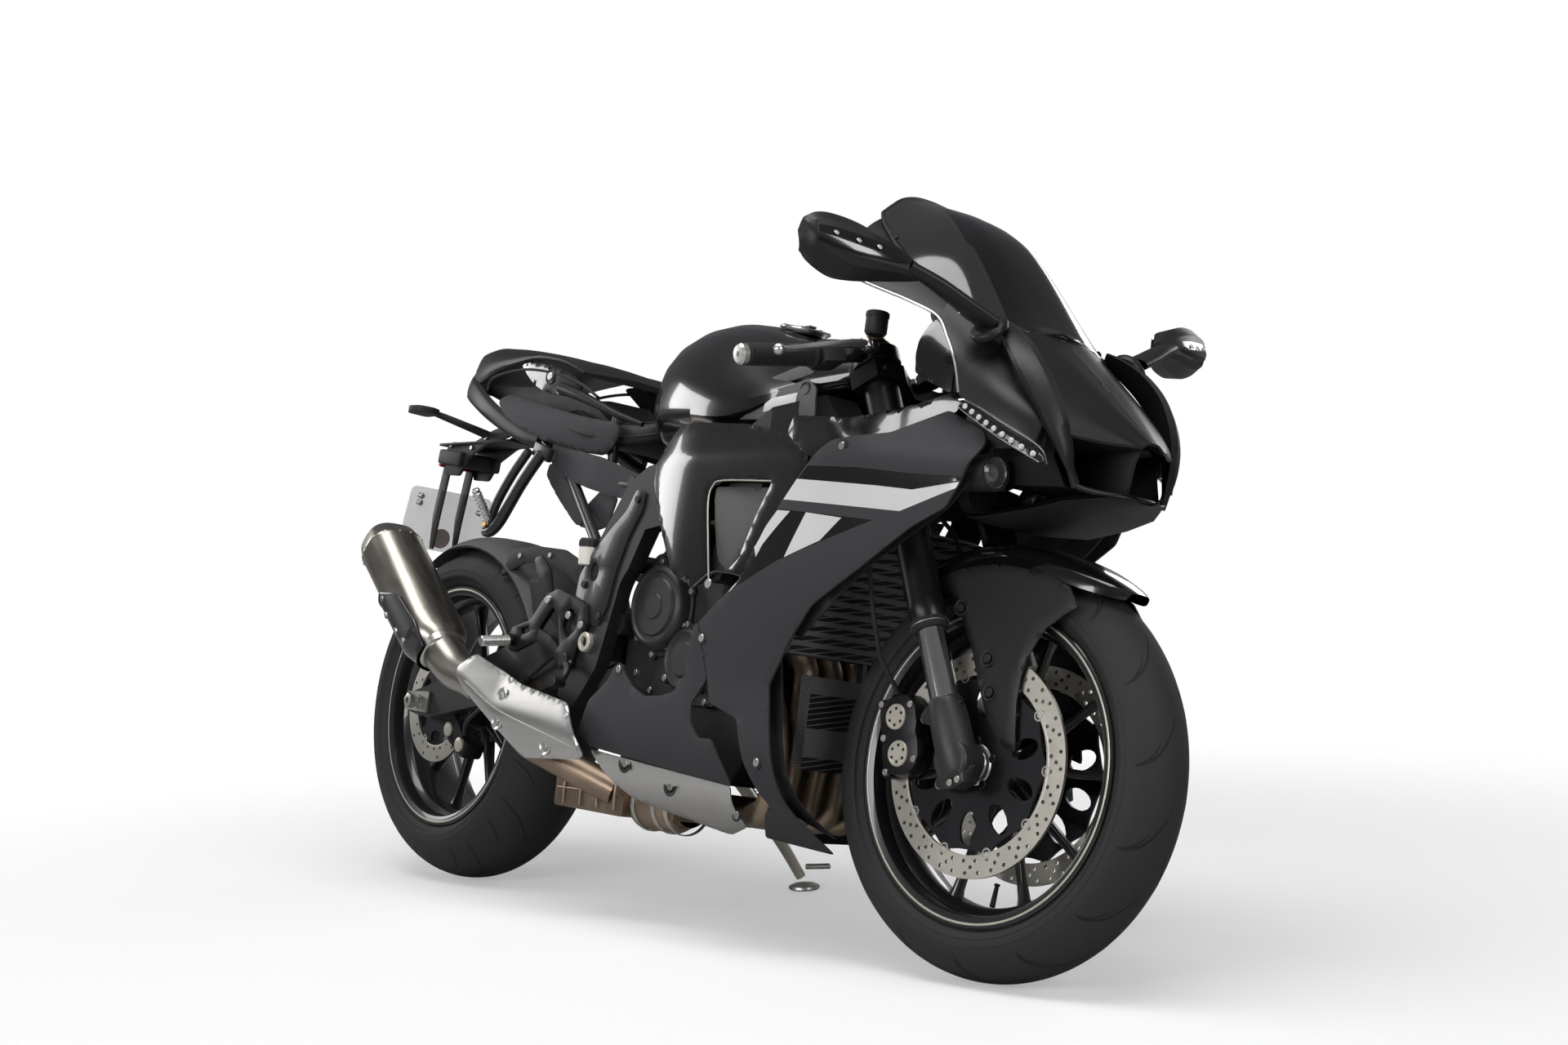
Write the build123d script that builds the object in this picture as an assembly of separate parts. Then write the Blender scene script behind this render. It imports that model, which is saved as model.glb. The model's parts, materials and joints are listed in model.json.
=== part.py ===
"""Sport motorcycle, parked on its side stand with the bars turned a little to the left.

Everything is drawn upright first: X forward, Y left, Z up, millimetres, x = 0 at the rear
axle and z = 0 on the ground. HEAD is the frame of the steering axis. STEERED turns the front
end, and PARKED leans the whole machine onto its stand and settles both tyres on the ground.
"""
import os
from math import atan2, cos, degrees, hypot, pi, radians, sin, sqrt

from build123d import *

# --- driving dimensions -------------------------------------------------------------------
WHEELBASE = 1405.0
RAKE = 24.0
TRAIL = 102.0
LEAN = 10.87            # parked lean to the left
STEER = 5.0             # bars turned left at rest
STEER_RANGE = 24.0      # stop to stop, each way from straight ahead

FRONT_TYRE_R = 300.0
FRONT_TYRE_W = 120.0
FRONT_CROWN_R = 62.0    # cross-section radius of the tread
REAR_TYRE_R = 320.0
REAR_TYRE_W = 190.0
REAR_CROWN_R = 105.0
BEAD_R = 216.0          # 17 inch bead seat
FLANGE_R = 228.0
BEAD_GAP = 0.2
FRONT_RIM_W = 106.0
REAR_RIM_W = 168.0
RIM_WALL = 6.0
SPOKE_PAIRS = 5

FRONT_DISC_R = 160.0
FRONT_DISC_IN_R = 127.0
FRONT_DISC_Y = 65.0
DISC_T = 5.0
REAR_DISC_R = 110.0
REAR_DISC_IN_R = 78.0
REAR_DISC_Y = 100.0

FORK_SPACING = 210.0
INNER_TUBE_R = 21.5
OUTER_TUBE_R = 27.0
SEAL_S = 209.0          # seal, measured up the leg from the axle
FORK_TOP_S = 668.0
LOWER_CLAMP_S = 432.0
UPPER_CLAMP_S = 598.0
CLAMP_T = 28.0
BAR_CLAMP_S = 632.0
BAR_CLAMP_T = 26.0
STEM_R = 15.0
STEM_BORE_R = 9.0
STEM_BORE_DEPTH = 60.0   # lift-stand socket, open below
HEAD_TUBE_R = 30.0
RUN_GAP = 0.1           # running gap at pins and bores

SPROCKET_TEETH = 42
CHAIN_PITCH = 15.875
CHAIN_Y = 109.0
SPROCKET_T = 6.0
FRONT_SPROCKET_TEETH = 16
FRONT_SPROCKET_X = 648.0
FRONT_SPROCKET_Z = 452.0

PIVOT_X = 572.0         # swingarm pivot
PIVOT_Z = 442.0
STAND_PIVOT = (550.0, 124.0, 300.0)
STAND_FOOT = (625.0, 317.0)     # upright x, y of the foot
STAND_STOWED = (-0.97, 0.24, 0.05)      # where the folded leg points
STAND_LEG_R = 9.0
STAND_PIN_R = 6.0
STAND_EYE_R = 15.0
STAND_EYE_T = 10.0
COWL_T = 4.0
ENGINE_HALF_W = 118.0
SPROCKET_POCKET_Y = 96.0
ARM_IN_Y = 121.0          # swingarm beam, inner face
ARM_W = 22.0
CLUTCH_X = 716.0
CLUTCH_Z = 508.0
CLUTCH_R = 74.0

os.makedirs("parts", exist_ok=True)

# --- frames -------------------------------------------------------------------------------
fork_offset = FRONT_TYRE_R * sin(radians(RAKE)) - TRAIL * cos(radians(RAKE))
HEAD = Plane(
    origin=(WHEELBASE + TRAIL, 0, 0),
    x_dir=(cos(radians(RAKE)), 0, sin(radians(RAKE))),
    z_dir=(-sin(radians(RAKE)), 0, cos(radians(RAKE))),
)
front_axle = Vector(WHEELBASE, 0, FRONT_TYRE_R)
rear_axle = Vector(0, 0, REAR_TYRE_R)
axle_s = HEAD.to_local_coords(front_axle).Z
STEERED = HEAD.location * Rot(Z=STEER) * HEAD.location.inverse()


def moved_point(where, point):
    """Where a point lands after a Location is applied."""
    return (where * Pos(*tuple(point))).position


def moved_direction(where, direction):
    """Where a direction points after a Location is applied."""
    return moved_point(where, direction) - moved_point(where, (0, 0, 0))


def lowest_of_tyre(where, axle, radius, crown_r):
    """Height of the lowest point of a round-crowned tyre."""
    centre = moved_point(where, axle)
    spin = moved_direction(where, (0, 1, 0))
    return centre.Z - (radius - crown_r) * sqrt(1 - spin.Z ** 2) - crown_r


def settled(lean):
    """Lean, then pitch and lift until both tyres stand on z = 0."""
    place = Rot(X=-lean)
    for _ in range(3):
        front = lowest_of_tyre(place * STEERED, front_axle, FRONT_TYRE_R, FRONT_CROWN_R)
        rear = lowest_of_tyre(place, rear_axle, REAR_TYRE_R, REAR_CROWN_R)
        place = Rot(Y=degrees(atan2(front - rear, WHEELBASE))) * place
    rear = lowest_of_tyre(place, rear_axle, REAR_TYRE_R, REAR_CROWN_R)
    return Pos(0, 0, -rear) * place


PARKED = settled(LEAN)


# --- shape helpers ------------------------------------------------------------------------
def side_face(points, y=0.0, corner=0.0):
    """Face in side view from (x, z) points."""
    if corner:
        line = FilletPolyline(*points, radius=corner, close=True)
    else:
        line = Polyline(*points, close=True)
    return Plane((0, y, 0), x_dir=(1, 0, 0), z_dir=(0, -1, 0)) * make_face(line)


def plate(points, y_low, y_high, corner=0.0):
    """Side-view outline (x, z) given thickness from y_low to y_high."""
    return extrude(side_face(points, y_high, corner), amount=y_high - y_low)


def plan_prism(points, z_low, z_high):
    """Plan outline (x, y) extruded upward."""
    return extrude(Pos(0, 0, z_low) * make_face(Polyline(*points, close=True)), amount=z_high - z_low)


def rod(start, end, radius, end_radius=None):
    start, end = Vector(*start), Vector(*end)
    run = end - start
    low = (Align.CENTER, Align.CENTER, Align.MIN)
    if end_radius is None:
        body = Cylinder(radius, run.length, align=low)
    else:
        body = Cone(radius, end_radius, run.length, align=low)
    return Plane(origin=start, z_dir=run) * body


def pipe(points, bends, radius, bore=0.0):
    """Round tube along straight runs joined by tangent arcs."""
    path = FilletPolyline(*points, radius=bends)
    section = Circle(radius)
    if bore:
        section = section - Circle(bore)
    return sweep(Plane(origin=path @ 0, z_dir=path % 0) * section, path=path)


def turned(points, centre=(0, 0, 0)):
    """Revolve a closed (y, r) outline about the Y axis."""
    face = Plane(centre, x_dir=(0, 1, 0), z_dir=(1, 0, 0)) * make_face(Polyline(*points, close=True))
    return revolve(face, Axis(centre, (0, 1, 0)))


def cross_section(x, points):
    """Face across the machine at x, from (y, z) points of its left half, mirrored."""
    right = [(-y, z) for y, z in reversed(points) if y > 0]
    line = Polyline(*(list(points) + right), close=True)
    return Plane((x, 0, 0), x_dir=(0, 1, 0), z_dir=(1, 0, 0)) * make_face(line)


def both_sides(shape):
    return shape + mirror(shape, Plane.XZ)


def joined(*shapes):
    """Several solids of one node."""
    solids = []
    for shape in shapes:
        solids.extend(shape.solids())
    return Compound(children=solids)


def seated(shape, *carriers):
    """A bracket, boss or cushion cut to the faces of what carries it, so that they touch."""
    for carrier in carriers:
        shape = shape - carrier
    return shape


nodes = {}
upright = {}            # the same pieces before the machine leans
front_nodes = []


def chassis(name, shape):
    upright[name] = shape
    nodes[name] = PARKED * shape


def front_end(name, shape):
    upright[name] = shape
    nodes[name] = PARKED * STEERED * shape
    front_nodes.append(name)


# --- wheels -------------------------------------------------------------------------------
def tyre_outline(radius, width, crown_r, rim_w):
    """Closed (y, r) outline of a tyre's carcass, hollow inside, open to the rim."""
    half = width / 2 - 1
    centre_r = radius - crown_r
    edge = degrees(atan2(half, sqrt(crown_r ** 2 - half ** 2)))
    steps = 4
    crown = []
    for i in range(-steps, steps + 1):
        angle = radians(edge * i / steps)
        crown.append((crown_r * sin(angle), centre_r + crown_r * cos(angle)))
    bead_y = rim_w / 2 - 7
    outside = [(-bead_y, BEAD_R + BEAD_GAP), (-bead_y - 1, BEAD_R + 16)] + crown
    outside += [(bead_y + 1, BEAD_R + 16), (bead_y, BEAD_R + BEAD_GAP)]
    inside_w = half - 9
    inside = [
        (bead_y - 10, BEAD_R + BEAD_GAP),
        (inside_w, centre_r + crown_r * 0.45),
        (inside_w * 0.55, radius - 16 - (crown_r - sqrt(crown_r ** 2 - (inside_w * 0.55) ** 2))),
        (0, radius - 11),
        (-inside_w * 0.55, radius - 16 - (crown_r - sqrt(crown_r ** 2 - (inside_w * 0.55) ** 2))),
        (-inside_w, centre_r + crown_r * 0.45),
        (-bead_y + 10, BEAD_R + BEAD_GAP),
    ]
    return outside + inside


def rim_barrel(rim_w, seat_r=BEAD_R, well_r=196.0):
    """Closed (y, r) outline of the rim's barrel."""
    half = rim_w / 2
    wall = RIM_WALL
    outside = [
        (-half, FLANGE_R), (-half + 5, FLANGE_R), (-half + 7, seat_r), (-half + 24, seat_r - 1),
        (-half + 34, well_r + wall), (half - 34, well_r + wall),
        (half - 24, seat_r - 1), (half - 7, seat_r), (half - 5, FLANGE_R), (half, FLANGE_R),
    ]
    inside = [
        (half, seat_r - wall), (half - 26, seat_r - wall - 2), (half - 36, well_r),
        (-half + 36, well_r), (-half + 26, seat_r - wall - 2), (-half, seat_r - wall),
    ]
    return outside + inside


def spokes(hub_r, reach_r, thick, spread):
    """Pairs of straight spokes that leave the hub together and part towards the rim."""
    bars = []
    for pair in range(SPOKE_PAIRS):
        for side in (-1, 1):
            root = radians(360 / SPOKE_PAIRS * pair + side * 9)
            tip = radians(360 / SPOKE_PAIRS * pair + side * spread)
            start = (hub_r * sin(root), hub_r * cos(root))
            end = (reach_r * sin(tip), reach_r * cos(tip))
            run = hypot(end[0] - start[0], end[1] - start[1])
            across = ((end[1] - start[1]) / run, -(end[0] - start[0]) / run)
            wide, slim = 10.0, 6.5
            outline = [
                (start[0] + across[0] * wide, start[1] + across[1] * wide),
                (end[0] + across[0] * slim, end[1] + across[1] * slim),
                (end[0] - across[0] * slim, end[1] - across[1] * slim),
                (start[0] - across[0] * wide, start[1] - across[1] * wide),
            ]
            bars.append(plate(outline, -thick, thick))
    return bars


def rim(rim_w, hub_right, hub_left, hub_r, bore_r, thick, well_r=196.0):
    """Barrel, spokes and a hub that reaches from y = -hub_right to y = hub_left."""
    body = turned(rim_barrel(rim_w, well_r=well_r))
    hub = rod((0, -hub_right, 0), (0, hub_left, 0), hub_r)
    body = body + [hub] + spokes(hub_r - 8, well_r + RIM_WALL / 2, thick, 17)
    return body - rod((0, -hub_right - 10, 0), (0, hub_left + 10, 0), bore_r)


def disc_ring(outer, inner, y):
    ring = Cylinder(outer, DISC_T) - Cylinder(inner, DISC_T)
    return Pos(0, y, 0) * Rot(X=90) * ring


def disc_carrier(outer, hub_r, bore_r, y, arms, arm_w):
    """Spider that carries a disc ring: a hub flange with straight arms out to the ring."""
    flange = Cylinder(hub_r, DISC_T) - Cylinder(bore_r, DISC_T)
    for arm in range(arms):
        reach = outer - hub_r + 6
        bar = Pos(hub_r - 6 + reach / 2, 0, 0) * Box(reach, arm_w, DISC_T)
        flange = flange + Rot(Z=360 / arms * arm) * bar
    flange = flange & Cylinder(outer, DISC_T)
    return Pos(0, y, 0) * Rot(X=90) * flange


FRONT_AXLE_R = 12.5
REAR_AXLE_BORE_R = 8.0
REAR_AXLE_HALF = 153.0
FRONT_HUB_HALF = FRONT_DISC_Y - DISC_T / 2
REAR_AXLE_R = 14.0


def front_wheel():
    axle = Pos(*tuple(front_axle))
    front_end("front_tyre", axle * turned(tyre_outline(FRONT_TYRE_R, FRONT_TYRE_W, FRONT_CROWN_R, FRONT_RIM_W)))
    front_end("front_rim", axle * rim(FRONT_RIM_W, FRONT_HUB_HALF, FRONT_HUB_HALF, 34, FRONT_AXLE_R + RUN_GAP, 12))
    discs = []
    for side in (-1, 1):
        y = side * FRONT_DISC_Y
        carrier = disc_carrier(FRONT_DISC_IN_R, 46, 26, y, 10, 14)
        discs.append(disc_ring(FRONT_DISC_R, FRONT_DISC_IN_R, y) + carrier)
    front_end("front_discs", axle * joined(*discs))


def sprocket_face(teeth, pitch):
    """Toothed outline of a chain wheel from its pitch radius."""
    pitch_r = pitch / (2 * sin(pi / teeth))
    points = []
    for tooth in range(teeth):
        for step, reach in ((-0.34, -4.0), (-0.12, 4.6), (0.12, 4.6), (0.34, -4.0)):
            angle = 2 * pi * (tooth + step) / teeth
            points.append(((pitch_r + reach) * cos(angle), (pitch_r + reach) * sin(angle)))
    return make_face(Polyline(*points, close=True))


def rear_wheel():
    axle = Pos(*tuple(rear_axle))
    chassis("rear_tyre", axle * turned(tyre_outline(REAR_TYRE_R, REAR_TYRE_W, REAR_CROWN_R, REAR_RIM_W)))
    hub_right = REAR_DISC_Y - DISC_T / 2
    hub_left = CHAIN_Y - SPROCKET_T / 2
    chassis("rear_rim", axle * rim(REAR_RIM_W, hub_right, hub_left, 42, REAR_AXLE_R + RUN_GAP, 14))
    ring = disc_ring(REAR_DISC_R, REAR_DISC_IN_R, -REAR_DISC_Y)
    chassis("rear_disc", axle * (ring + disc_carrier(REAR_DISC_IN_R, 40, 26, -REAR_DISC_Y, 6, 16)))
    wheel = extrude(sprocket_face(SPROCKET_TEETH, CHAIN_PITCH), amount=SPROCKET_T) - Cylinder(30, 40)
    for hole in range(5):
        wheel = wheel - Rot(Z=72 * hole) * Pos(72, 0, 0) * Cylinder(16, 40)
    chassis("rear_sprocket", axle * Pos(0, CHAIN_Y + SPROCKET_T / 2, 0) * Rot(X=90) * wheel)


# --- front end ----------------------------------------------------------------------------
def in_head(shape):
    return HEAD.location * shape


def leg_rod(y, low, high, radius, ahead=0.0):
    return rod((fork_offset + ahead, y, axle_s + low), (fork_offset + ahead, y, axle_s + high), radius)


def clamp_plate(s, leg_grip, stem_r):
    """Bridge that grips both legs and the stem."""
    half = FORK_SPACING / 2
    outline = [
        (-stem_r - 12, -24), (fork_offset - 26, -half - 38), (fork_offset + 28, -half - 38),
        (fork_offset + 34, -half + 20), (fork_offset + 2, -30), (fork_offset + 2, 30),
        (fork_offset + 34, half - 20), (fork_offset + 28, half + 38), (fork_offset - 26, half + 38),
        (-stem_r - 12, 24),
    ]
    body = Pos(0, 0, axle_s + s) * extrude(make_face(Polyline(*outline, close=True)), amount=CLAMP_T)
    for side in (-1, 1):
        body = body - leg_rod(side * half, s - 1, s + CLAMP_T + 1, leg_grip)
    return body - Pos(0, 0, axle_s + s) * Cylinder(stem_r, 3 * CLAMP_T)


def caliper_block(side):
    """Brake caliper's outer block, from the axle."""
    return Pos(-126, side * FRONT_DISC_Y, 30) * Rot(Y=-14) * Box(74, 62, 122)


CHEEK_OUT_Y = 77.5      # outer face of the fender's cheeks


def fork():
    half = FORK_SPACING / 2
    lower = clamp_plate(LOWER_CLAMP_S, OUTER_TUBE_R, STEM_R)
    upper = clamp_plate(UPPER_CLAMP_S, OUTER_TUBE_R, STEM_R)
    stem = rod((0, 0, axle_s + LOWER_CLAMP_S), (0, 0, axle_s + UPPER_CLAMP_S + CLAMP_T + 10), STEM_R)
    socket = Pos(0, 0, axle_s + LOWER_CLAMP_S) * Cylinder(STEM_BORE_R, 2 * STEM_BORE_DEPTH)
    front_end("triple_clamps", in_head(joined(lower + stem - socket, upper)))
    outer = [leg_rod(side * half, SEAL_S, FORK_TOP_S, OUTER_TUBE_R) for side in (-1, 1)]
    inner = [leg_rod(side * half, 92, SEAL_S, INNER_TUBE_R) for side in (-1, 1)]
    front_end("fork_outer_tubes", in_head(joined(*outer)))
    front_end("fork_inner_tubes", in_head(joined(*inner)))
    bottoms = []
    ax = WHEELBASE
    for side in (-1, 1):
        y = side * half
        foot = leg_rod(y, -26, 92, 29)
        boss = rod((fork_offset, y - side * 24, axle_s), (fork_offset, y + side * 14, axle_s), 30)
        lug_high = Pos(fork_offset - 44, y - side * 16, axle_s + 84) * Box(46, 14, 24)
        lug_low = Pos(fork_offset - 44, y - side * 16, axle_s - 14) * Box(46, 14, 24)
        body = foot + boss + lug_high + lug_low
        body = body - rod((fork_offset, -200, axle_s), (fork_offset, 200, axle_s), FRONT_AXLE_R)
        inboard = Pos(fork_offset, side * (CHEEK_OUT_Y - 30), axle_s + 80) * Box(200, 60, 60)
        bracket = plate([(ax - 50, 345), (ax - 5, 345), (ax + 30, 425), (ax + 30, 480), (ax + 8, 480), (ax - 8, 425), (ax - 50, 390)],
                        *sorted((side * CHEEK_OUT_Y, side * (CHEEK_OUT_Y + 5))))
        bottoms.append((in_head(body - inboard) + bracket) - Pos(*tuple(front_axle)) * caliper_block(side))
    front_end("fork_bottoms", joined(*bottoms))
    axle = rod((fork_offset, -half - 14, axle_s), (fork_offset, half + 14, axle_s), FRONT_AXLE_R)
    axle = axle - rod((fork_offset, -half - 20, axle_s), (fork_offset, half + 20, axle_s), 7)
    front_end("front_axle", in_head(axle))


def controls():
    half = FORK_SPACING / 2
    bars, grips, levers = [], [], []
    mid_s = axle_s + BAR_CLAMP_S + BAR_CLAMP_T / 2
    for side in (-1, 1):
        low = axle_s + BAR_CLAMP_S
        ring = Pos(fork_offset, side * half, low + BAR_CLAMP_T / 2) * Cylinder(OUTER_TUBE_R + 9, BAR_CLAMP_T)
        start = Vector(fork_offset + 4, side * (half + OUTER_TUBE_R + 4), mid_s)
        end = Vector(-23, side * 336, axle_s + 620)
        bar = rod(tuple(start), tuple(end), 11)
        ring = (ring + bar) - leg_rod(side * half, BAR_CLAMP_S - 1, BAR_CLAMP_S + BAR_CLAMP_T + 1, OUTER_TUBE_R)
        run = (end - start).normalized()
        grip_in = end - run * 118
        sleeve = rod(tuple(grip_in), tuple(end), 17) - rod(tuple(grip_in), tuple(end), 11)
        bars.append(ring)
        grips.append(sleeve)
        grips.append(rod(tuple(end + run * 0.2), tuple(end + run * 14), 16))
        ball = Vector(40, side * 334, axle_s + 596)
        pivot = Vector(74, side * 176, axle_s + 632)
        perch = Pos(*tuple(start + run * 46 + Vector(30, 0, 0))) * Box(34, 46, 26)
        perch = perch - rod(tuple(start), tuple(end), 11)
        blade = rod(tuple(pivot), tuple(ball), 7, 5) + Pos(*tuple(ball)) * Sphere(9)
        levers.append(perch + blade)
    front_end("handlebars", in_head(joined(*bars)))
    front_end("grips", in_head(joined(*grips)))
    front_end("levers", in_head(joined(*levers)))


def fender_and_brakes():
    ax, az = WHEELBASE, FRONT_TYRE_R
    r = FRONT_TYRE_R
    profile = [(-76, r - 8), (-68, r + 14), (-32, r + 21), (32, r + 21), (68, r + 14), (76, r - 8),
               (73, r - 8), (65, r + 11), (31, r + 18), (-31, r + 18), (-65, r + 11), (-73, r - 8)]
    ring = turned(profile)
    window = plate([(0, 0), (0.87 * r, 1.1 * r), (0.5 * r, 1.4 * r), (-0.87 * r, 1.4 * r), (-0.5 * r, 0.7 * r)], -90, 90)
    crown = Pos(ax, 0, az) * (ring & window)
    cheek = [(ax - 66, 560), (ax - 66, 524), (ax + 16, 401), (ax + 70, 322), (ax + 88, 380), (ax + 112, 470),
             (ax + 90, 560), (ax + 20, 602)]
    cheeks = both_sides(plate(cheek, CHEEK_OUT_Y - 4, CHEEK_OUT_Y, 8))
    front_end("front_fender", crown + cheeks)
    calipers = []
    for side in (-1, 1):
        slot = Rot(X=90) * Cylinder(FRONT_DISC_R + 8, 15)
        block = caliper_block(side) - Pos(0, side * FRONT_DISC_Y, 0) * slot
        for reach in CALIPER_CAPS:
            cap = Pos(-126, side * FRONT_DISC_Y, 30) * Rot(Y=-14) * Pos(-6, side * 31, reach)
            block = block + cap * Rot(X=-side * 90) * Cylinder(17, 5, align=(Align.CENTER, Align.CENTER, Align.MIN))
        calipers.append(block)
    front_end("front_calipers", Pos(ax, 0, az) * joined(*calipers))


CALIPER_CAPS = (-26, 26)
HOSE_R = 3.5


def brake_hoses():
    """Both front brake hoses, from the union under the lower clamp to the calipers."""
    union = in_head(Pos(-6, 0, axle_s + LOWER_CLAMP_S - 9) * Box(26, 30, 18))
    top = in_head(Pos(0, 0, axle_s + LOWER_CLAMP_S - 9)).position
    hoses = [union]
    for side in (-1, 1):
        ax = WHEELBASE
        route = [(top.X - 6, side * 13, top.Z), (top.X - 12, side * 60, top.Z - 20), (top.X - 22, side * 112, top.Z - 70),
                 (ax - 190, side * 122, 520), (ax - 172, side * 108, 440), (ax - 150, side * 84, 392)]
        run = pipe(route, 24, HOSE_R)
        union_end = rod((ax - 150, side * 84, 392), (ax - 150, side * 84, 380), 7)
        hoses.append(seated(run + union_end, union))
    calipers = Pos(ax, 0, FRONT_TYRE_R) * (caliper_block(-1) + caliper_block(1))
    front_end("brake_hoses", joined(*[seated(hose, calipers) for hose in hoses]))


# --- chassis ------------------------------------------------------------------------------
SHOCK_TOP = (540.0, 0.0, 590.0)
SHOCK_FOOT = (440.0, 0.0, 400.0)
ENGINE_MOUNTS = [
    # x, z, frame side, radius
    (909.0, 556.0, 160.0, 13.0),
    (622.0, 478.0, 150.0, 20.0),
]


def frame():
    head = in_head(rod((0, 0, axle_s + LOWER_CLAMP_S + CLAMP_T + 4),
                       (0, 0, axle_s + UPPER_CLAMP_S - 4), HEAD_TUBE_R))
    bore = in_head(rod((0, 0, axle_s), (0, 0, axle_s + 900), STEM_R + RUN_GAP))
    spar = [(1160, 735), (1120, 850), (1060, 850), (900, 765), (690, 738), (640, 712), (560, 600),
            (512, 500), (500, 350), (548, 330), (604, 400), (640, 520), (700, 632), (900, 660), (1080, 700)]
    plan = [(1180, 0), (1180, 30), (1110, 48), (1000, 172), (490, 172), (490, 146), (620, 146), (985, 126), (1080, 20), (1100, 0)]
    side = plate(spar, 0, 180) & plan_prism(plan, 300, 900)
    body = head + both_sides(side) - bore
    high_s = axle_s + UPPER_CLAMP_S - 4
    low_s = axle_s + LOWER_CLAMP_S + CLAMP_T + 4
    body = body - in_head(Pos(70, 0, high_s + 60) * Box(280, 400, 120))
    body = body - in_head(Pos(70, 0, low_s - 60) * Box(280, 400, 120))
    body = body - Pos(CLUTCH_X, -150, CLUTCH_Z) * Rot(X=90) * Cylinder(CLUTCH_R + 3, 120)
    pivot_bore = rod((PIVOT_X, -200, PIVOT_Z), (PIVOT_X, 200, PIVOT_Z), 15)
    body = body - pivot_bore
    hanger = plate([(1010, 700), (925, 700), (893, 560), (905, 542), (925, 548)], 155, 180, 6)
    cross = rod((SHOCK_TOP[0], -150, SHOCK_TOP[2]), (SHOCK_TOP[0], 150, SHOCK_TOP[2]), 16)
    for side in (-1, 1):
        for x, z, inner_y, radius in ENGINE_MOUNTS:
            body = body + rod((x, side * ENGINE_HALF_W, z), (x, side * inner_y, z), radius)
    body = body + cross + both_sides(hanger) + stand_lug()
    chassis("main_frame", seated(body, engine_solid()))


def subframe():
    rails = []
    for side in (-1, 1):
        rail = pipe([(640, side * 108, 712), (480, side * 104, 728), (330, side * 98, 768), (150, side * 70, 862)], 60, 13)
        brace = rod((545, side * 150, 600), (330, side * 98, 768), 10)
        foot = rod((612, side * 100, 716), (612, side * 150, 716), 12)
        posts = rod((575, side * 20, 718), (575, side * 20, 800), 8) + rod((180, side * 76, 850), (180, side * 76, 905), 9)
        for x, z in SEAT_POSTS:
            posts = posts + rod((x, side * 96, z), (x, side * 96, 850), 9)
        rails.append(rail + brace + foot + posts)
    cross = rod((160, -72, 857), (160, 72, 857), 10) + rod((575, -104, 718), (575, 104, 718), 10)
    carried = upright["fuel_tank"] + upright["rider_seat"] + upright["tail_cowl"]
    body = rails[0] + rails[1] + cross
    return seated(body, carried, upright["main_frame"])


def engine_solid():
    outline = [(618, 300), (650, 232), (925, 232), (980, 300), (985, 425), (1046, 575), (965, 645),
               (885, 560), (815, 560), (800, 650), (700, 650), (672, 540), (610, 480)]
    block = plate(outline, -ENGINE_HALF_W, ENGINE_HALF_W, 10)
    pocket = Pos(FRONT_SPROCKET_X - 30, 0, FRONT_SPROCKET_Z) * Box(190, 60, 140)
    return block - Pos(0, SPROCKET_POCKET_Y + 30, 0) * pocket


def engine():
    chassis("engine_block", engine_solid())
    low = (Align.CENTER, Align.CENTER, Align.MIN)
    covers = Pos(CLUTCH_X, 0, CLUTCH_Z) * Rot(X=90) * Pos(0, 0, ENGINE_HALF_W)
    clutch = covers * (Cylinder(CLUTCH_R, 40, align=low) + Pos(0, 0, 40) * Cylinder(54, 26, align=low))
    crank = Pos(798, -ENGINE_HALF_W, 424) * Rot(X=90) * Cylinder(56, 56, align=low)
    crank = crank - Pos(CLUTCH_X, -150, CLUTCH_Z) * Rot(X=90) * Cylinder(CLUTCH_R + 0.4, 200)
    generator = Pos(806, ENGINE_HALF_W, 430) * Rot(X=-90) * Cylinder(68, 52, align=low)
    cover = Pos(FRONT_SPROCKET_X, ENGINE_HALF_W + 4, FRONT_SPROCKET_Z) * Rot(X=-90) * Cylinder(58, 14, align=low)
    cover = cover + plate([(690, 420), (726, 420), (726, 484), (690, 484)], ENGINE_HALF_W, ENGINE_HALF_W + 12)
    cover = cover - plate([(580, 380), (PIVOT_X + 36, 380), (PIVOT_X + 36, 520), (580, 520)], 100, 160)
    chassis("engine_covers", joined(clutch, crank, generator, seated(cover, upright["main_frame"])))


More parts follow.
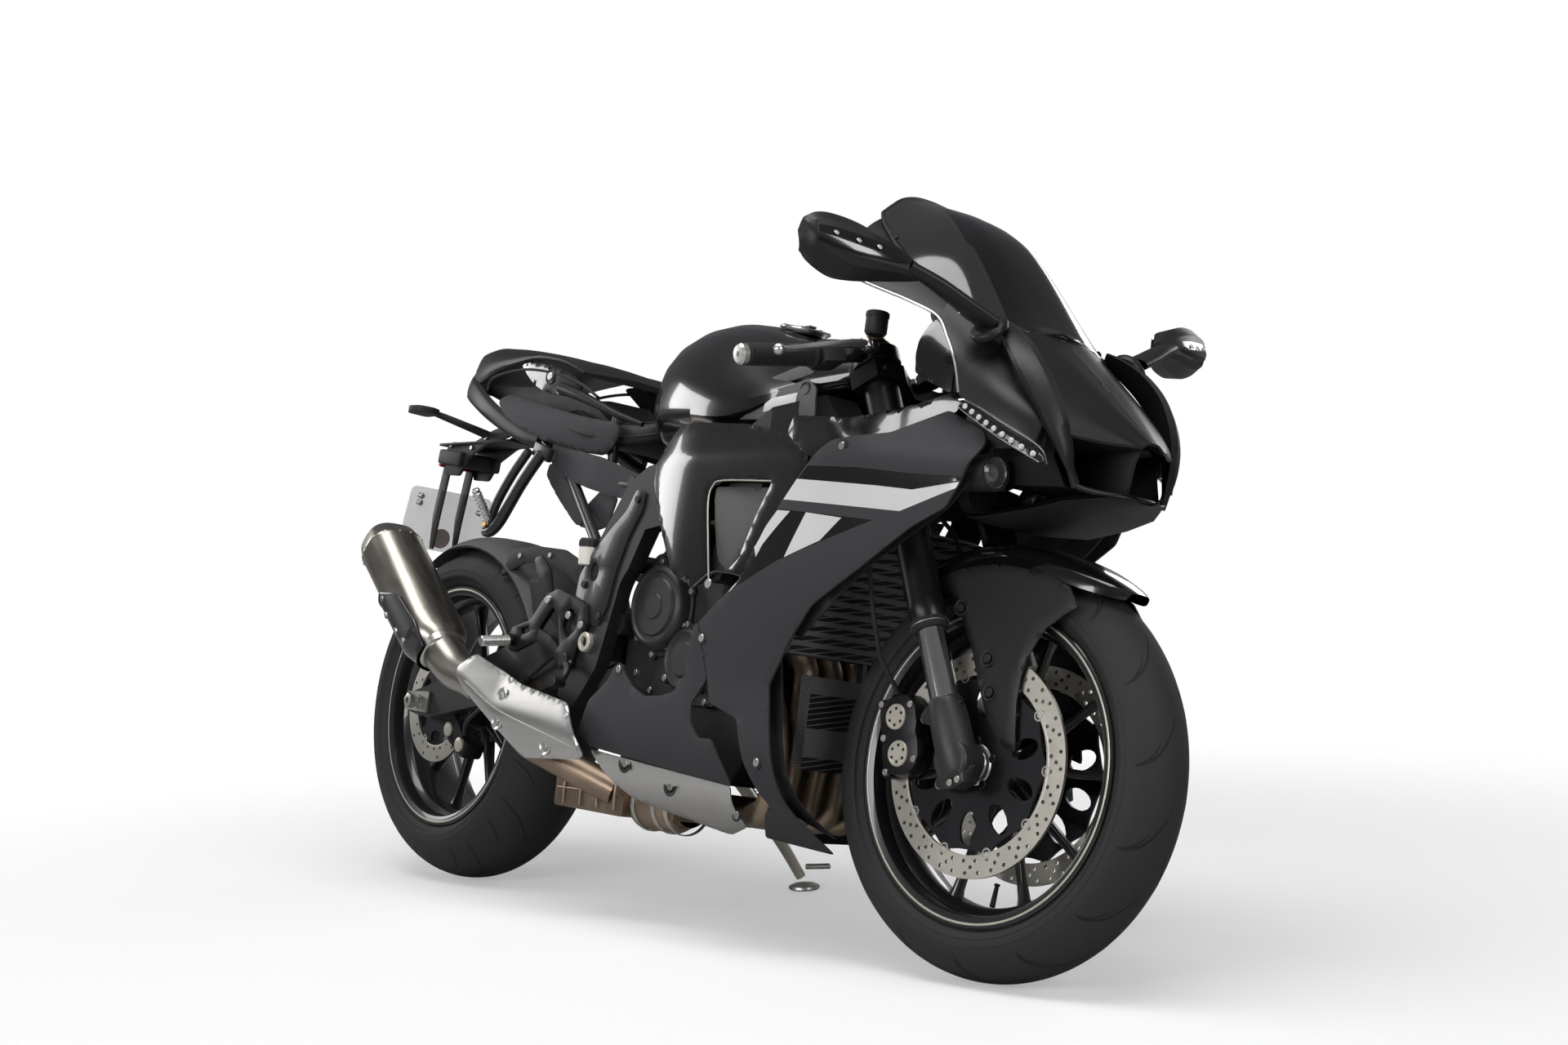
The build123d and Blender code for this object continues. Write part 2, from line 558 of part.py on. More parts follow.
def swing_arm():
    outline = [(PIVOT_X + 34, PIVOT_Z + 26), (PIVOT_X + 34, PIVOT_Z - 26), (400, 356), (30, 292), (-38, 300),
               (-44, 336), (20, 352), (340, 452), (480, 470)]
    arms = plate(outline, ARM_IN_Y, ARM_IN_Y + ARM_W, 8)
    bridge_y = SPROCKET_POCKET_Y
    bridge = plate([(PIVOT_X + 30, 412), (PIVOT_X + 30, 474), (470, 480), (372, 452), (372, 368), (480, 376)],
                   -ARM_IN_Y, bridge_y)
    web = plate([(PIVOT_X + 30, 414), (PIVOT_X + 30, 466), (372, 446), (372, 350), (480, 378)],
                bridge_y, ARM_IN_Y)
    body = both_sides(arms) + bridge + web
    body = body - rod((0, -200, REAR_TYRE_R), (0, 200, REAR_TYRE_R), REAR_AXLE_R)
    body = body - rod((PIVOT_X, -200, PIVOT_Z), (PIVOT_X, 200, PIVOT_Z), 15)
    body = body - Pos(SHOCK_FOOT[0], 0, 440) * Box(84, 84, 300)
    body = body + rod((SHOCK_FOOT[0], -46, SHOCK_FOOT[2]), (SHOCK_FOOT[0], 46, SHOCK_FOOT[2]), 9)
    chassis("swingarm", body)
    chassis("swingarm_pivot", rod((PIVOT_X, -172, PIVOT_Z), (PIVOT_X, 172, PIVOT_Z), 15))
    axle = rod((0, -REAR_AXLE_HALF, REAR_TYRE_R), (0, REAR_AXLE_HALF, REAR_TYRE_R), REAR_AXLE_R)
    chassis("rear_axle", axle - rod((0, -200, REAR_TYRE_R), (0, 200, REAR_TYRE_R), REAR_AXLE_BORE_R))
    low, high = Vector(*SHOCK_FOOT), Vector(*SHOCK_TOP)
    run = (high - low).normalized()
    spring = rod(tuple(low + run * 34), tuple(high - run * 60), 27)
    shaft = rod(tuple(low), tuple(high), 13)
    eyes = rod((low.X, -16, low.Z), (low.X, 16, low.Z), 20) + rod((high.X, -16, high.Z), (high.X, 16, high.Z), 26)
    chassis("rear_shock", seated(spring + shaft + eyes, upright["swingarm"], upright["main_frame"]))


COWL_LEVELS = (140, 230, 400, 560, 700, 830)
COWL_SECTIONS = [
    # x ahead of the front axle, then the half-width at each height of COWL_LEVELS
    (-865, (62, 178, 200, 214, 210, 190)),
    (-555, (62, 186, 212, 224, 218, 200)),
    (-285, (62, 180, 206, 226, 220, 205)),
    (95, (40, 110, 146, 162, 164, 152)),
]


def cowl_volume(inset):
    sections = []
    for ahead, widths in COWL_SECTIONS:
        left = [(w - inset, z) for w, z in zip(widths, COWL_LEVELS)]
        sections.append(cross_section(WHEELBASE + ahead, left))
    return loft(sections)


SPLIT_HIGH = (937, 476)         # where upper, lower and knee panels meet


def side_cowls():
    """Outer fairing skin, cut into upper cowls, lower cowls and the right belly guard."""
    inner = cowl_volume(COWL_T)
    skin = cowl_volume(0) - inner
    ax = WHEELBASE
    rear_edge = [(ax - 40, 794), (ax - 214, 754), (ax - 293, 662), (ax - 372, 539), SPLIT_HIGH]
    front_edge = [(ax - 267, 148), (ax - 301, 387), (ax - 128, 555), (ax + 10, 640), (ax + 46, 712)]
    slot = [(973, 354), (1041, 334), (1058, 272), (1092, 206), (1068, 200), (1022, 250)]
    upper = rear_edge + [(973, 354), (1022, 250), (1068, 200), (1000, 160)] + front_edge
    sides = [skin & plate(upper, 10, 300), skin & plate(upper, -300, -10) - plate(slot, -300, -10)]
    lower_right = [SPLIT_HIGH, (749, 404), (601, 292), (649, 266), (1020, 232), (1022, 250), (973, 354)]
    lower_left = [SPLIT_HIGH, (760, 420), (690, 292), (700, 250), (860, 150), (1000, 160), (1068, 200), (1022, 250), (973, 354)]
    lowers = [skin & plate(lower_left, 10, 300), skin & plate(lower_right, -300, -10)]
    guard = [(649, 266), (1020, 232), (985, 170), (905, 150), (720, 190)]
    shield = skin & plate(guard, -300, -10)
    for side, shell in ((1, 0), (-1, 1)):
        for x, z, reach in COWL_BOLTS:
            stay = rod((x, side * ENGINE_HALF_W, z), (x, side * reach, z), 8)
            lowers[shell] = lowers[shell] + (stay & inner)
        x, z = RADIATOR_BOLT
        sides[shell] = sides[shell] + (rod((x, side * 165, z), (x, side * 300, z), 8) & inner)
    stay = rod((740, -96, 200), (740, -300, 200), 7) & inner
    chassis("side_cowls", joined(*sides))
    chassis("lower_cowls", joined(*lowers))
    chassis("belly_guard", shield + stay)


COWL_BOLTS = [(930, 440, 300), (690, 300, 300)]
RADIATOR_BOLT = (1118, 610)

NOSE_SECTIONS = [
    # x ahead of the front axle, crown height, crown half-width, shoulder height, side half-width,
    # side height, low half-width, low height
    (-280, 1172, 96, 1128, 196, 1024, 200, 700),
    (-115, 1084, 102, 1044, 188, 930, 196, 690),
    (12, 944, 104, 920, 174, 850, 182, 680),
    (125, 848, 84, 828, 146, 780, 150, 672),
    (223, 762, 22, 754, 34, 738, 44, 690),
]


def nose_volume(inset):
    sections = []
    for ahead, top, w1, z1, w2, z2, w3, z3 in NOSE_SECTIONS:
        x = WHEELBASE + ahead - (inset if ahead == NOSE_SECTIONS[-1][0] else 0)
        half = [(0, top - inset), (w1 - inset, z1 - inset), (w2 - inset, z2), (w3 - inset, z3), (0, z3)]
        mirrored = [(-y, z) for y, z in reversed(half) if y > 0]
        plane = Plane((x, 0, 0), x_dir=(0, 1, 0), z_dir=(1, 0, 0))
        sections.append(plane * make_face(Polyline(*(half + mirrored), close=True)))
    return loft(sections)


LAMP_Y = 128.0
LAMP_Z = 706.0


def nose():
    """Front cowl with its fins and intake, screen, duct with the fairing stay, lamps and mirrors."""
    ax = WHEELBASE
    outer, inner = nose_volume(0), nose_volume(COWL_T)
    skin = outer - inner
    screen = [(ax - 285, 1200), (ax - 215, 1180), (ax + 31, 935), (ax + 19, 909), (ax - 255, 1096)]
    cowl = [(ax - 277, 1018), (ax - 255, 1096), (ax + 19, 909), (ax + 31, 935), (ax + 255, 790), (ax + 235, 680),
            (ax + 160, 680), (ax + 138, 732), (ax + 13, 811), (ax - 71, 842), (ax - 73, 932)]
    strip = [(ax + 138, 732), (ax + 13, 811), (ax + 4, 799), (ax + 130, 720)]
    mouth = Plane((ax + 90, 0, 0), x_dir=(0, 1, 0), z_dir=(1, 0, 0))
    outline = Polyline((-96, 692), (-104, 768), (-40, 752), (40, 752), (104, 768), (96, 692), close=True)
    intake = extrude(mouth * make_face(outline), amount=200)
    fin = [(ax + 20, 921), (ax + 45, 910), (ax + 106, 850), (ax + 148, 781), (ax + 166, 723), (ax + 169, 686),
           (ax + 152, 700), (ax + 136, 735), (ax + 118, 786), (ax + 78, 842)]
    fins = (nose_volume(-12) - outer) & both_sides(plate(fin, 60, 240))
    chassis("windscreen", skin & plate(screen, -300, 300))
    shell = (skin & plate(cowl, -300, 300)) - intake
    chassis("front_cowl", shell + fins)
    neck = in_head(Pos(74, 0, axle_s + 530) * Box(112, 60, 96))
    neck = neck + plate([(ax - 100, 790), (ax - 142, 872), (ax - 65, 850), (ax - 5, 780), (ax - 25, 700), (ax - 89, 745)], -30, 30)
    post = rod((ax - 152, 0, 800), (ax - 152, 0, 905), 13)
    duct = plate([(ax + 230, 676), (ax + 230, 746), (ax - 5, 780), (ax - 89, 780), (ax - 89, 745), (ax + 15, 650),
                  (ax + 135, 645)], -90, 90)
    mouth_box = plate([(ax + 150, 694), (ax + 150, 742), (ax + 300, 742), (ax + 300, 694)], -76, 76)
    duct = (duct & inner) - mouth_box
    head_tube = in_head(rod((0, 0, axle_s), (0, 0, axle_s + 900), HEAD_TUBE_R))
    ears = both_sides(Pos(ax + 8, LAMP_Y - 30, LAMP_Z) * Box(30, 20, 30))
    stay = seated(duct + neck + post + ears, head_tube)
    dash = Pos(ax - 150, 0, 930) * Rot(Y=-35) * Box(22, 190, 110)
    horn = rod((ax - 60, -60, 690), (ax - 37, -60, 690), 30)
    chassis("dash", dash)
    lamps = []
    for side in (-1, 1):
        lamps.append(rod((ax - 12, side * LAMP_Y, LAMP_Z), (ax + 52, side * LAMP_Y, LAMP_Z), 25))
    strips = skin & plate(strip, -300, 300)
    chassis("front_lamps", joined(*lamps, strips))
    chassis("nose_duct", seated(stay, dash, *lamps))
    chassis("horn", seated(horn, upright["nose_duct"]))
    mirrors = []
    for side in (-1, 1):
        faces = []
        for y, front_x, rear_x, low_z, high_z in MIRROR_SECTIONS:
            mid_x, mid_z = (front_x + rear_x) / 2, (low_z + high_z) / 2
            ring = [(ax + front_x, mid_z), (ax + mid_x + 8, high_z), (ax + rear_x, high_z - 6),
                    (ax + rear_x, low_z + 8), (ax + mid_x, low_z)]
            faces.append(side_face(ring, side * y))
        head = loft(faces)
        base = (ax + 30, side * 150, 912)
        stalk = rod(base, (ax - 13, side * 268, 966), 13, 9)
        foot = rod((ax + 16, side * 96, 862), base, 18)
        mirrors.append(seated(head + stalk + foot, outer, upright["front_cowl"]))
    chassis("mirrors", joined(*mirrors))


MIRROR_SECTIONS = [
    # y out from the middle, front x and rear x from the front axle, low z, high z
    (258, 4, -30, 952, 980),
    (300, 0, -66, 948, 1010),
    (352, -18, -84, 942, 1028),
    (402, -40, -88, 962, 1028),
    (420, -62, -80, 992, 1012),
]

TANK_SECTIONS = [
    # x, bottom z, knee z, shoulder z, top z, bottom, knee, shoulder and top half-width
    (545, 806, 830, 858, 878, 40, 66, 58, 26),
    (592, 786, 850, 930, 968, 70, 112, 98, 50),
    (650, 780, 862, 960, 1004, 84, 138, 104, 54),
    (745, 776, 850, 950, 1010, 96, 160, 118, 62),
    (866, 780, 830, 915, 984, 110, 170, 124, 72),
    (985, 822, 850, 890, 926, 104, 150, 108, 66),
    (1066, 868, 880, 900, 912, 44, 62, 50, 34),
]
SEAT_POSTS = [(470, 735), (360, 765)]
SEAT_SECTIONS = [
    # x, bottom z, edge z, top z, half-width at the edge, half-width at the top
    (322, 826, 838, 872, 118, 84),
    (360, 808, 822, 848, 124, 92),
    (440, 794, 806, 834, 124, 92),
    (512, 796, 808, 838, 96, 66),
    (548, 808, 818, 850, 62, 40),
]
TAIL_SECTIONS = [
    # x, bottom z, edge z, top z, half-width at the edge, half-width at the top
    (-122, 946, 962, 1012, 44, 30),
    (0, 918, 942, 1022, 96, 56),
    (150, 890, 916, 1000, 122, 76),
    (262, 868, 890, 948, 132, 92),
    (322, 856, 866, 884, 128, 100),
]


def pad_loft(table):
    """Loft of sections with a flat bottom, an edge and a narrower top."""
    sections = []
    for x, z0, z1, z2, edge, top in table:
        sections.append(cross_section(x, [(edge * 0.8, z0), (edge, z1), (top, z2)]))
    return loft(sections)


def tank_and_tail():
    sections = []
    for x, z0, z1, z2, z3, w0, w1, w2, w3 in TANK_SECTIONS:
        sections.append(cross_section(x, [(w0, z0), (w1, z1), (w2, z2), (w3, z3)]))
    tank = loft(sections)
    lugs = both_sides(rod((1020, 92, 800), (1020, 92, 870), 12))
    chassis("fuel_tank", seated(tank + lugs, upright["main_frame"]))
    cover = [(1125, 729), (1060, 772), (949, 792), (821, 800), (740, 800), (700, 724), (806, 559), (865, 533), (925, 560),
             (1033, 545), (1112, 662)]
    scoop = [(887, 690), (1051, 697), (983, 572), (920, 556)]
    covers = []
    for side in (-1, 1):
        low, high = sorted((side * 182, side * 188))
        shell = plate(cover, low, high, 6) - plate(scoop, low, high, 6)
        shell = shell + plate([(860, 720), (1075, 720), (990, 560), (905, 545)], *sorted((side * 174, side * 182)), 4)
        for x, z in ((780, 700), (985, 735)):
            shell = shell + rod((x, side * 120, z), (x, side * 182, z), 9)
        shell = shell + rod((820, side * 100, 790), (820, side * 184, 786), 10)
        covers.append(seated(shell, upright["main_frame"], upright["fuel_tank"]))
    chassis("tank_covers", joined(*[cover - cowl_skins() for cover in covers]))
    panels = []
    for side in (-1, 1):
        face = [(836, 838), (1001, 890), (1062, 880), (1066, 806), (883, 812)]
        panel = plate(face, *sorted((side * 142, side * 148)), 5)
        panel = panel + rod((900, side * 100, 850), (900, side * 146, 850), 8)
        panel = panel + rod((1000, side * 80, 872), (1000, side * 146, 872), 8)
        panels.append(seated(panel, upright["fuel_tank"], upright["main_frame"]))
    chassis("side_panels", joined(*panels))
    chassis("rider_seat", seated(pad_loft(SEAT_SECTIONS), upright["fuel_tank"]))
    chassis("tail_cowl", seated(pad_loft(TAIL_SECTIONS), upright["rider_seat"]))
    side = [(520, 740), (250, 806), (105, 890), (110, 905), (300, 850), (420, 785), (530, 790)]
    sides = []
    for direction in (-1, 1):
        panel = plate(side, *sorted((direction * 122, direction * 128)), 4)
        panel = panel + rod((345, direction * 98, 764), (345, direction * 125, 790), 9)
        panel = seated(panel, upright["tail_cowl"], upright["rider_seat"])
        sides.append(panel)
    chassis("subframe", subframe())
    chassis("tail_sides", joined(*[seated(panel, upright["subframe"]) for panel in sides]))
    tail = upright["tail_cowl"]
    flange = plate([(120, 930), (120, 830), (-60, 850), (-60, 960)], -24, 24)
    arm = plate([(140, 845), (60, 845), (-205, 826), (-240, 690), (-225, 690), (-190, 780), (60, 825), (140, 832)], -20, 20)
    box = plate([(-120, 850), (-120, 790), (-215, 770), (-215, 836)], -52, 52)
    board = Pos(-240, 0, 690) * Rot(Y=14) * Box(3, 190, 125)
    arms = both_sides(rod((-60, 10, 852), (-95, 165, 880), 8))
    blades = both_sides(Pos(-95, 165, 880) * Box(60, 56, 10))
    holder = seated(flange + arm + box + arms + blades, tail)
    chassis("plate_holder", joined(seated(holder, board), board))


def cowl_skins():
    return upright["side_cowls"] + upright["lower_cowls"]


MUFFLER_FRONT = (176, -203, 396)
MUFFLER_REAR = (-98, -206, 622)
MUFFLER_R = 50.0
LINK_R = 26.0


def exhaust():
    """Collector, box, link pipe, muffler and its shields."""
    front, rear = Vector(*MUFFLER_FRONT), Vector(*MUFFLER_REAR)
    run = (rear - front).normalized()
    length = (rear - front).length
    axes = Plane(origin=front, x_dir=(0, 1, 0), z_dir=run)
    steps = [
        # distance along, half-width in y, half-height
        (0.0, 30.0, 30.0), (52.0, 57.0, 47.0), (length - 26.0, 57.0, 50.0), (length, 44.0, 38.0),
    ]
    sections = []
    for along, wide, high in steps:
        corner = 0.42
        ring = [(wide, high * corner), (wide * corner, high), (-wide * corner, high), (-wide, high * corner),
                (-wide, -high * corner), (-wide * corner, -high), (wide * corner, -high), (wide, -high * corner)]
        sections.append(axes * Pos(0, 0, along) * make_face(Polyline(*ring, close=True)))
    can = loft(sections, ruled=True)
    outlet = axes * Pos(0, 0, length) * Cylinder(27, 80)
    muffler = can - outlet
    bracket = axes * Pos(40, -52, 100) * Box(18, 22, 40)
    chassis("muffler", muffler)
    link = pipe([(600, -96, 200), (460, -186, 262), (300, -198, 350), tuple(front + run * 10)], (60, 60), LINK_R)
    box = plate([(440, 165), (645, 160), (645, 226), (440, 226)], -112, 95, 8)
    collector = plate([(640, 165), (765, 165), (765, 215), (640, 215)], -96, 96)
    chassis("exhaust_box", seated(box + collector + link, muffler))
    face = plate([(291, 401), (608, 337), (670, 262), (484, 239), (259, 361)], -226, -222)
    for x, z in ((340, 345), (490, 262)):
        face = face + rod((x, -150, z), (x, -222, z), 8)
    chassis("pipe_shield", seated(face, upright["exhaust_box"], upright["lower_cowls"], upright["belly_guard"]))
    rings = []
    for along in (20.0, 0.6 * length):
        for grow in (6.0, 0.2):
            scale = min(1.0, 0.55 + along / 115)
            wide, high = 57.0 * scale + grow, 48.5 * scale + grow
            ring = [(wide, high * 0.42), (wide * 0.42, high), (-wide * 0.42, high), (-wide, high * 0.42),
                    (-wide, -high * 0.42), (-wide * 0.42, -high), (wide * 0.42, -high), (wide, -high * 0.42)]
            rings.append(axes * Pos(0, 0, along) * make_face(Polyline(*ring, close=True)))
    shell = loft([rings[0], rings[2]], ruled=True) & plate([(0, 480), (0, 700), (400, 700), (400, 430), (260, 330)], -300, -190)
    chassis("heat_shield", seated(shell, can))
    headers = []
    for y in (-75, -25, 25, 75):
        tube = pipe([(985, y, 456), (1036, y, 430), (1034, y, 340), (1006, y, 190), (765, y, 190)], 38, 19)
        headers.append(seated(tube, upright["engine_block"]))
    chassis("header_pipes", joined(*headers))


def fittings():
    water = plate([(1062, 440), (1096, 440), (1148, 648), (1112, 658)], -165, 165)
    oil = plate([(1062, 272), (1086, 268), (1092, 410), (1066, 412)], -110, 110)
    link = plate([(1070, 400), (1084, 400), (1084, 450), (1070, 450)], -4, 4)
    foot = plate([(970, 322), (1070, 322), (1070, 306), (970, 306)], -4, 4)
    lugs = both_sides(rod((1114, 100, 640), (1060, 100, 725), 8))
    radiators = water + oil + link + foot + lugs
    chassis("radiators", seated(radiators, upright["engine_block"], upright["main_frame"], upright["side_cowls"]))
    rearsets = []
    for side in (-1, 1):
        outline = [(560, 500), (540, 400), (340, 425), (340, 455), (440, 520), (510, 520)]
        bracket = plate(outline, *sorted((side * 172, side * 180)), 6)
        window = plate([(500, 480), (492, 430), (400, 436), (440, 486)], *sorted((side * 160, side * 190)), 5)
        peg = rod((352, side * 176, 440), (352, side * 240, 431), 11)
        guard = plate([(450, 515), (515, 515), (500, 580), (440, 570)], *sorted((side * 172, side * 176)), 6)
        rearsets.append(bracket - window + peg + guard)
    pedal = rod((530, -176, 410), (560, -222, 370), 7) + rod((560, -205, 370), (560, -240, 370), 6)
    cup = rod((549, -170, 575), (549, -170, 612), 17) + rod((530, -170, 515), (549, -170, 578), 6)
    carriers = (upright["main_frame"], upright["subframe"])
    right = seated(rearsets[0] + pedal + cup, *carriers)
    chassis("rearsets", joined(right, seated(rearsets[1], *carriers)))
    hangers = []
    for side in (-1, 1):
        top, bend, end = (300, side * 140, 770), (215, side * 150, 640), (172, side * 150, 640)
        tube = rod((320, side * 98, 772), top, 9) + rod(top, bend, 9) + rod(bend, end, 9)
        tube = tube + Pos(*top) * Sphere(9) + Pos(*bend) * Sphere(9)
        peg = rod((180, side * 146, 640), (180, side * 225, 690), 10)
        hangers.append(seated(tube + peg, upright["subframe"], upright["tail_sides"]))
    chassis("passenger_pegs", joined(*hangers))
    r = REAR_TYRE_R
    hugger = turned([(-94, r - 24), (-88, r + 10), (88, r + 10), (94, r - 24), (91, r - 24), (86, r + 7), (-86, r + 7),
                     (-91, r - 24)])
    window = plate([(0, 0), (500, 60), (500, 500), (-60, 500)], -200, 200)
    legs = both_sides(plate([(300, 352 - REAR_TYRE_R), (372, 358 - REAR_TYRE_R), (372, 440 - REAR_TYRE_R),
                             (300, 400 - REAR_TYRE_R)], 80, ARM_IN_Y))
    tyre_gap = rod((0, -200, 0), (0, 200, 0), r + 7)
    hugger = Pos(*tuple(rear_axle)) * ((hugger & window) + (legs - tyre_gap))
    chassis("rear_hugger", seated(hugger, upright["swingarm"], upright["rear_shock"]))
    caliper = Pos(0, -REAR_DISC_Y, 0) * (Pos(100, 0, -60) * Box(60, 40, 60))
    caliper = caliper - Rot(X=90) * Cylinder(REAR_DISC_R + 6, 400)
    hanger = plate([(-24, -24), (120, -84), (120, -44), (0, 30), (-24, 20)], -ARM_IN_Y, -ARM_IN_Y + 8)
    hanger = hanger - rod((0, -200, 0), (0, 200, 0), REAR_AXLE_R)
    caliper = Pos(*tuple(rear_axle)) * (caliper + hanger)
    chassis("rear_caliper", seated(caliper, upright["swingarm"]))


CHAIN_PINS = 9


def chain():
    rear_r = CHAIN_PITCH / (2 * sin(pi / SPROCKET_TEETH))
    front_r = CHAIN_PITCH / (2 * sin(pi / FRONT_SPROCKET_TEETH))
    gap = hypot(FRONT_SPROCKET_X, FRONT_SPROCKET_Z - REAR_TYRE_R)
    tilt = degrees(atan2(FRONT_SPROCKET_Z - REAR_TYRE_R, FRONT_SPROCKET_X))
    half_h = 8.0

    def loop(grow):
        big, small = rear_r + grow, front_r + grow
        lead = degrees(atan2(big - small, sqrt(gap ** 2 - (big - small) ** 2)))
        a = radians(90 - lead)
        top_rear = (big * cos(a), big * sin(a))
        top_front = (gap + small * cos(a), small * sin(a))
        low_rear = (top_rear[0], -top_rear[1])
        low_front = (top_front[0], -top_front[1])
        edges = [
            Line(top_rear, top_front),
            ThreePointArc(top_front, (gap + small, 0), low_front),
            Line(low_front, low_rear),
            ThreePointArc(low_rear, (-big, 0), top_rear),
        ]
        return make_face(edges)

    band = loop(half_h) - loop(-half_h)
    bands = []
    for y in (CHAIN_Y - 6.0, CHAIN_Y + 8.5):
        bands.append(Pos(0, y, REAR_TYRE_R) * Rot(Y=-tilt) * Rot(X=90) * extrude(band, amount=2.5))
    lead = degrees(atan2(rear_r - front_r, gap))
    rollers = []
    for side in (-1, 1):
        for k in range(CHAIN_PINS):
            along = rear_r * 1.4 + (gap - rear_r * 1.4) * k / (CHAIN_PINS - 1)
            across = rear_r + (front_r - rear_r) * along / gap
            slope = radians(90 - lead)
            x, z = along + across * cos(slope), side * across * sin(slope)
            rollers.append(rod((x, CHAIN_Y - 6, z), (x, CHAIN_Y + 6, z), 4))
    place = Pos(0, 0, REAR_TYRE_R) * Rot(Y=-tilt)
    loop_all = bands[0] + bands[1] + [place * roller for roller in rollers]
    small = extrude(sprocket_face(FRONT_SPROCKET_TEETH, CHAIN_PITCH), amount=SPROCKET_T)
    small = Pos(0, CHAIN_Y + SPROCKET_T / 2, 0) * Rot(X=90) * small
    shaft = rod((0, SPROCKET_POCKET_Y, 0), (0, CHAIN_Y + 8, 0), 14)
    chassis("front_sprocket", Pos(FRONT_SPROCKET_X, 0, FRONT_SPROCKET_Z) * (small + shaft))
    chassis("drive_chain", seated(loop_all, upright["front_sprocket"]))


def stand_frame():
    """Pin frame of the side stand: z along the pin, x along the leg when it is down."""
    pivot = Vector(*STAND_PIVOT)
    foot = moved_point(PARKED, (STAND_FOOT[0], STAND_FOOT[1], 60))
    ankle = moved_point(PARKED.inverse(), (foot.X, foot.Y, 10))
    down = (ankle - pivot).normalized()
    return Plane(origin=pivot, x_dir=down, z_dir=down.cross(Vector(*STAND_STOWED)))


STAND = stand_frame()
STAND_SWING = STAND.x_dir.get_angle(Vector(*STAND_STOWED))


def stand_lug():
    """Ear and pin on the chassis that carry the side stand."""
    low = (Align.CENTER, Align.CENTER, Align.MIN)
    face = STAND_EYE_T / 2 + RUN_GAP
    ear = Pos(0, 0, face) * Cylinder(STAND_EYE_R, 10, align=low)
    pin = Pos(0, 0, -face - 5) * Cylinder(STAND_PIN_R, 2 * face + 6, align=low)
    head = Pos(0, 0, -face - 5) * Cylinder(STAND_PIN_R + 4, 5, align=low)
    body = STAND.location * (ear + pin + head)
    top = STAND.from_local_coords(Vector(0, 0, face + 10))
    return body + rod(tuple(top), (532, 142, 352), 9) + plate([(505, 345), (556, 340), (560, 362), (505, 362)], 126, 160)


def side_stand():
    eye = Cylinder(STAND_EYE_R, STAND_EYE_T) - Cylinder(STAND_PIN_R + RUN_GAP, 3 * STAND_EYE_T)
    pivot = Vector(*STAND_PIVOT)
    foot = moved_point(PARKED, (STAND_FOOT[0], STAND_FOOT[1], 60))
    ankle = moved_point(PARKED.inverse(), (foot.X, foot.Y, 10))
    neck = pivot + (ankle - pivot).normalized() * (STAND_EYE_R - 3)
    shoulder = pivot + (ankle - pivot).normalized() * (STAND_EYE_R + 12)
    leg = rod(tuple(neck), tuple(shoulder), STAND_EYE_T / 2) + rod(tuple(shoulder), tuple(ankle), STAND_LEG_R)
    pad = Pos(foot.X, foot.Y, 4) * Box(62, 40, 8)
    nodes["stand_leg"] = PARKED * (STAND.location * eye + leg) + pad


front_wheel()
rear_wheel()
fork()
controls()
fender_and_brakes()
brake_hoses()
frame()
engine()
swing_arm()
side_cowls()
nose()
tank_and_tail()
exhaust()
fittings()
chain()
side_stand()

box = Compound(children=[s for shape in nodes.values() for s in shape.solids()]).bounding_box()
ORIGIN = Pos(-(box.min.X + box.max.X) / 2, -(box.min.Y + box.max.Y) / 2, 0)
for name, shape in nodes.items():
    export_step(ORIGIN * shape, f"parts/{name}.step")
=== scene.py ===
"""Looks of a sport motorcycle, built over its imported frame.

Shapes are written in millimetres in the upright frame: X forward from the rear axle, Y left,
Z up from the ground. LEANED puts them on the leaning machine and TURNED on the turned front
end, both read from the joints of the frame.
"""
import json
import math

import bmesh
import bpy
from mathutils import Matrix, Vector, geometry


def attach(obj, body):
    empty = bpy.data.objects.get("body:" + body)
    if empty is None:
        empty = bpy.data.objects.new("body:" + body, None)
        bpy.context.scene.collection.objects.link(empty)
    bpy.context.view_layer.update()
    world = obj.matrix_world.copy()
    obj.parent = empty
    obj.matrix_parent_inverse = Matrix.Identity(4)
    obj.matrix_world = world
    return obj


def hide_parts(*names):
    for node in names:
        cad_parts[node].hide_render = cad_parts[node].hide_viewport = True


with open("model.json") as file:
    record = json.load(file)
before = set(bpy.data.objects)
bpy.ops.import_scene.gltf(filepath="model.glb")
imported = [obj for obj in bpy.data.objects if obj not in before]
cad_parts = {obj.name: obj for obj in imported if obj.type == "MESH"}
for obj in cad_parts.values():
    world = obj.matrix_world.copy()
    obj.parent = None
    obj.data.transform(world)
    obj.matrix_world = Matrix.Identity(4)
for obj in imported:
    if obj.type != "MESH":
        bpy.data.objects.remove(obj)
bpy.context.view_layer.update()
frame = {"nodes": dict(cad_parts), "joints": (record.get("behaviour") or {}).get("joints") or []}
NODES = frame["nodes"]
JOINTS = {joint["name"]: joint for joint in frame["joints"]}

MM = 0.001
RAKE = math.radians(24)
WHEELBASE = 1405.0
TRAIL = 102.0
FRONT_R = 300.0
REAR_R = 320.0
CHAIN_PITCH = 15.875
CHAIN_Y = 109.0
REAR_TEETH = 42
FRONT_TEETH = 16
FORK_OFFSET = FRONT_R * math.sin(RAKE) - TRAIL * math.cos(RAKE)
AXLE_S = TRAIL * math.sin(RAKE) + FRONT_R * math.cos(RAKE)
AHEAD, ACROSS, UP = (1, 0, 0), (0, 1, 0), (0, 0, 1)
SIDES = ((-1, "right"), (1, "left"))


# --- frames ---------------------------------------------------------------------------------
def axes_matrix(origin, x_dir, y_dir, z_dir):
    """Takes millimetres along three directions to metres in the world."""
    turn = Matrix((x_dir, y_dir, z_dir)).transposed().to_4x4()
    return Matrix.Translation(origin) @ turn @ Matrix.Scale(MM, 4)


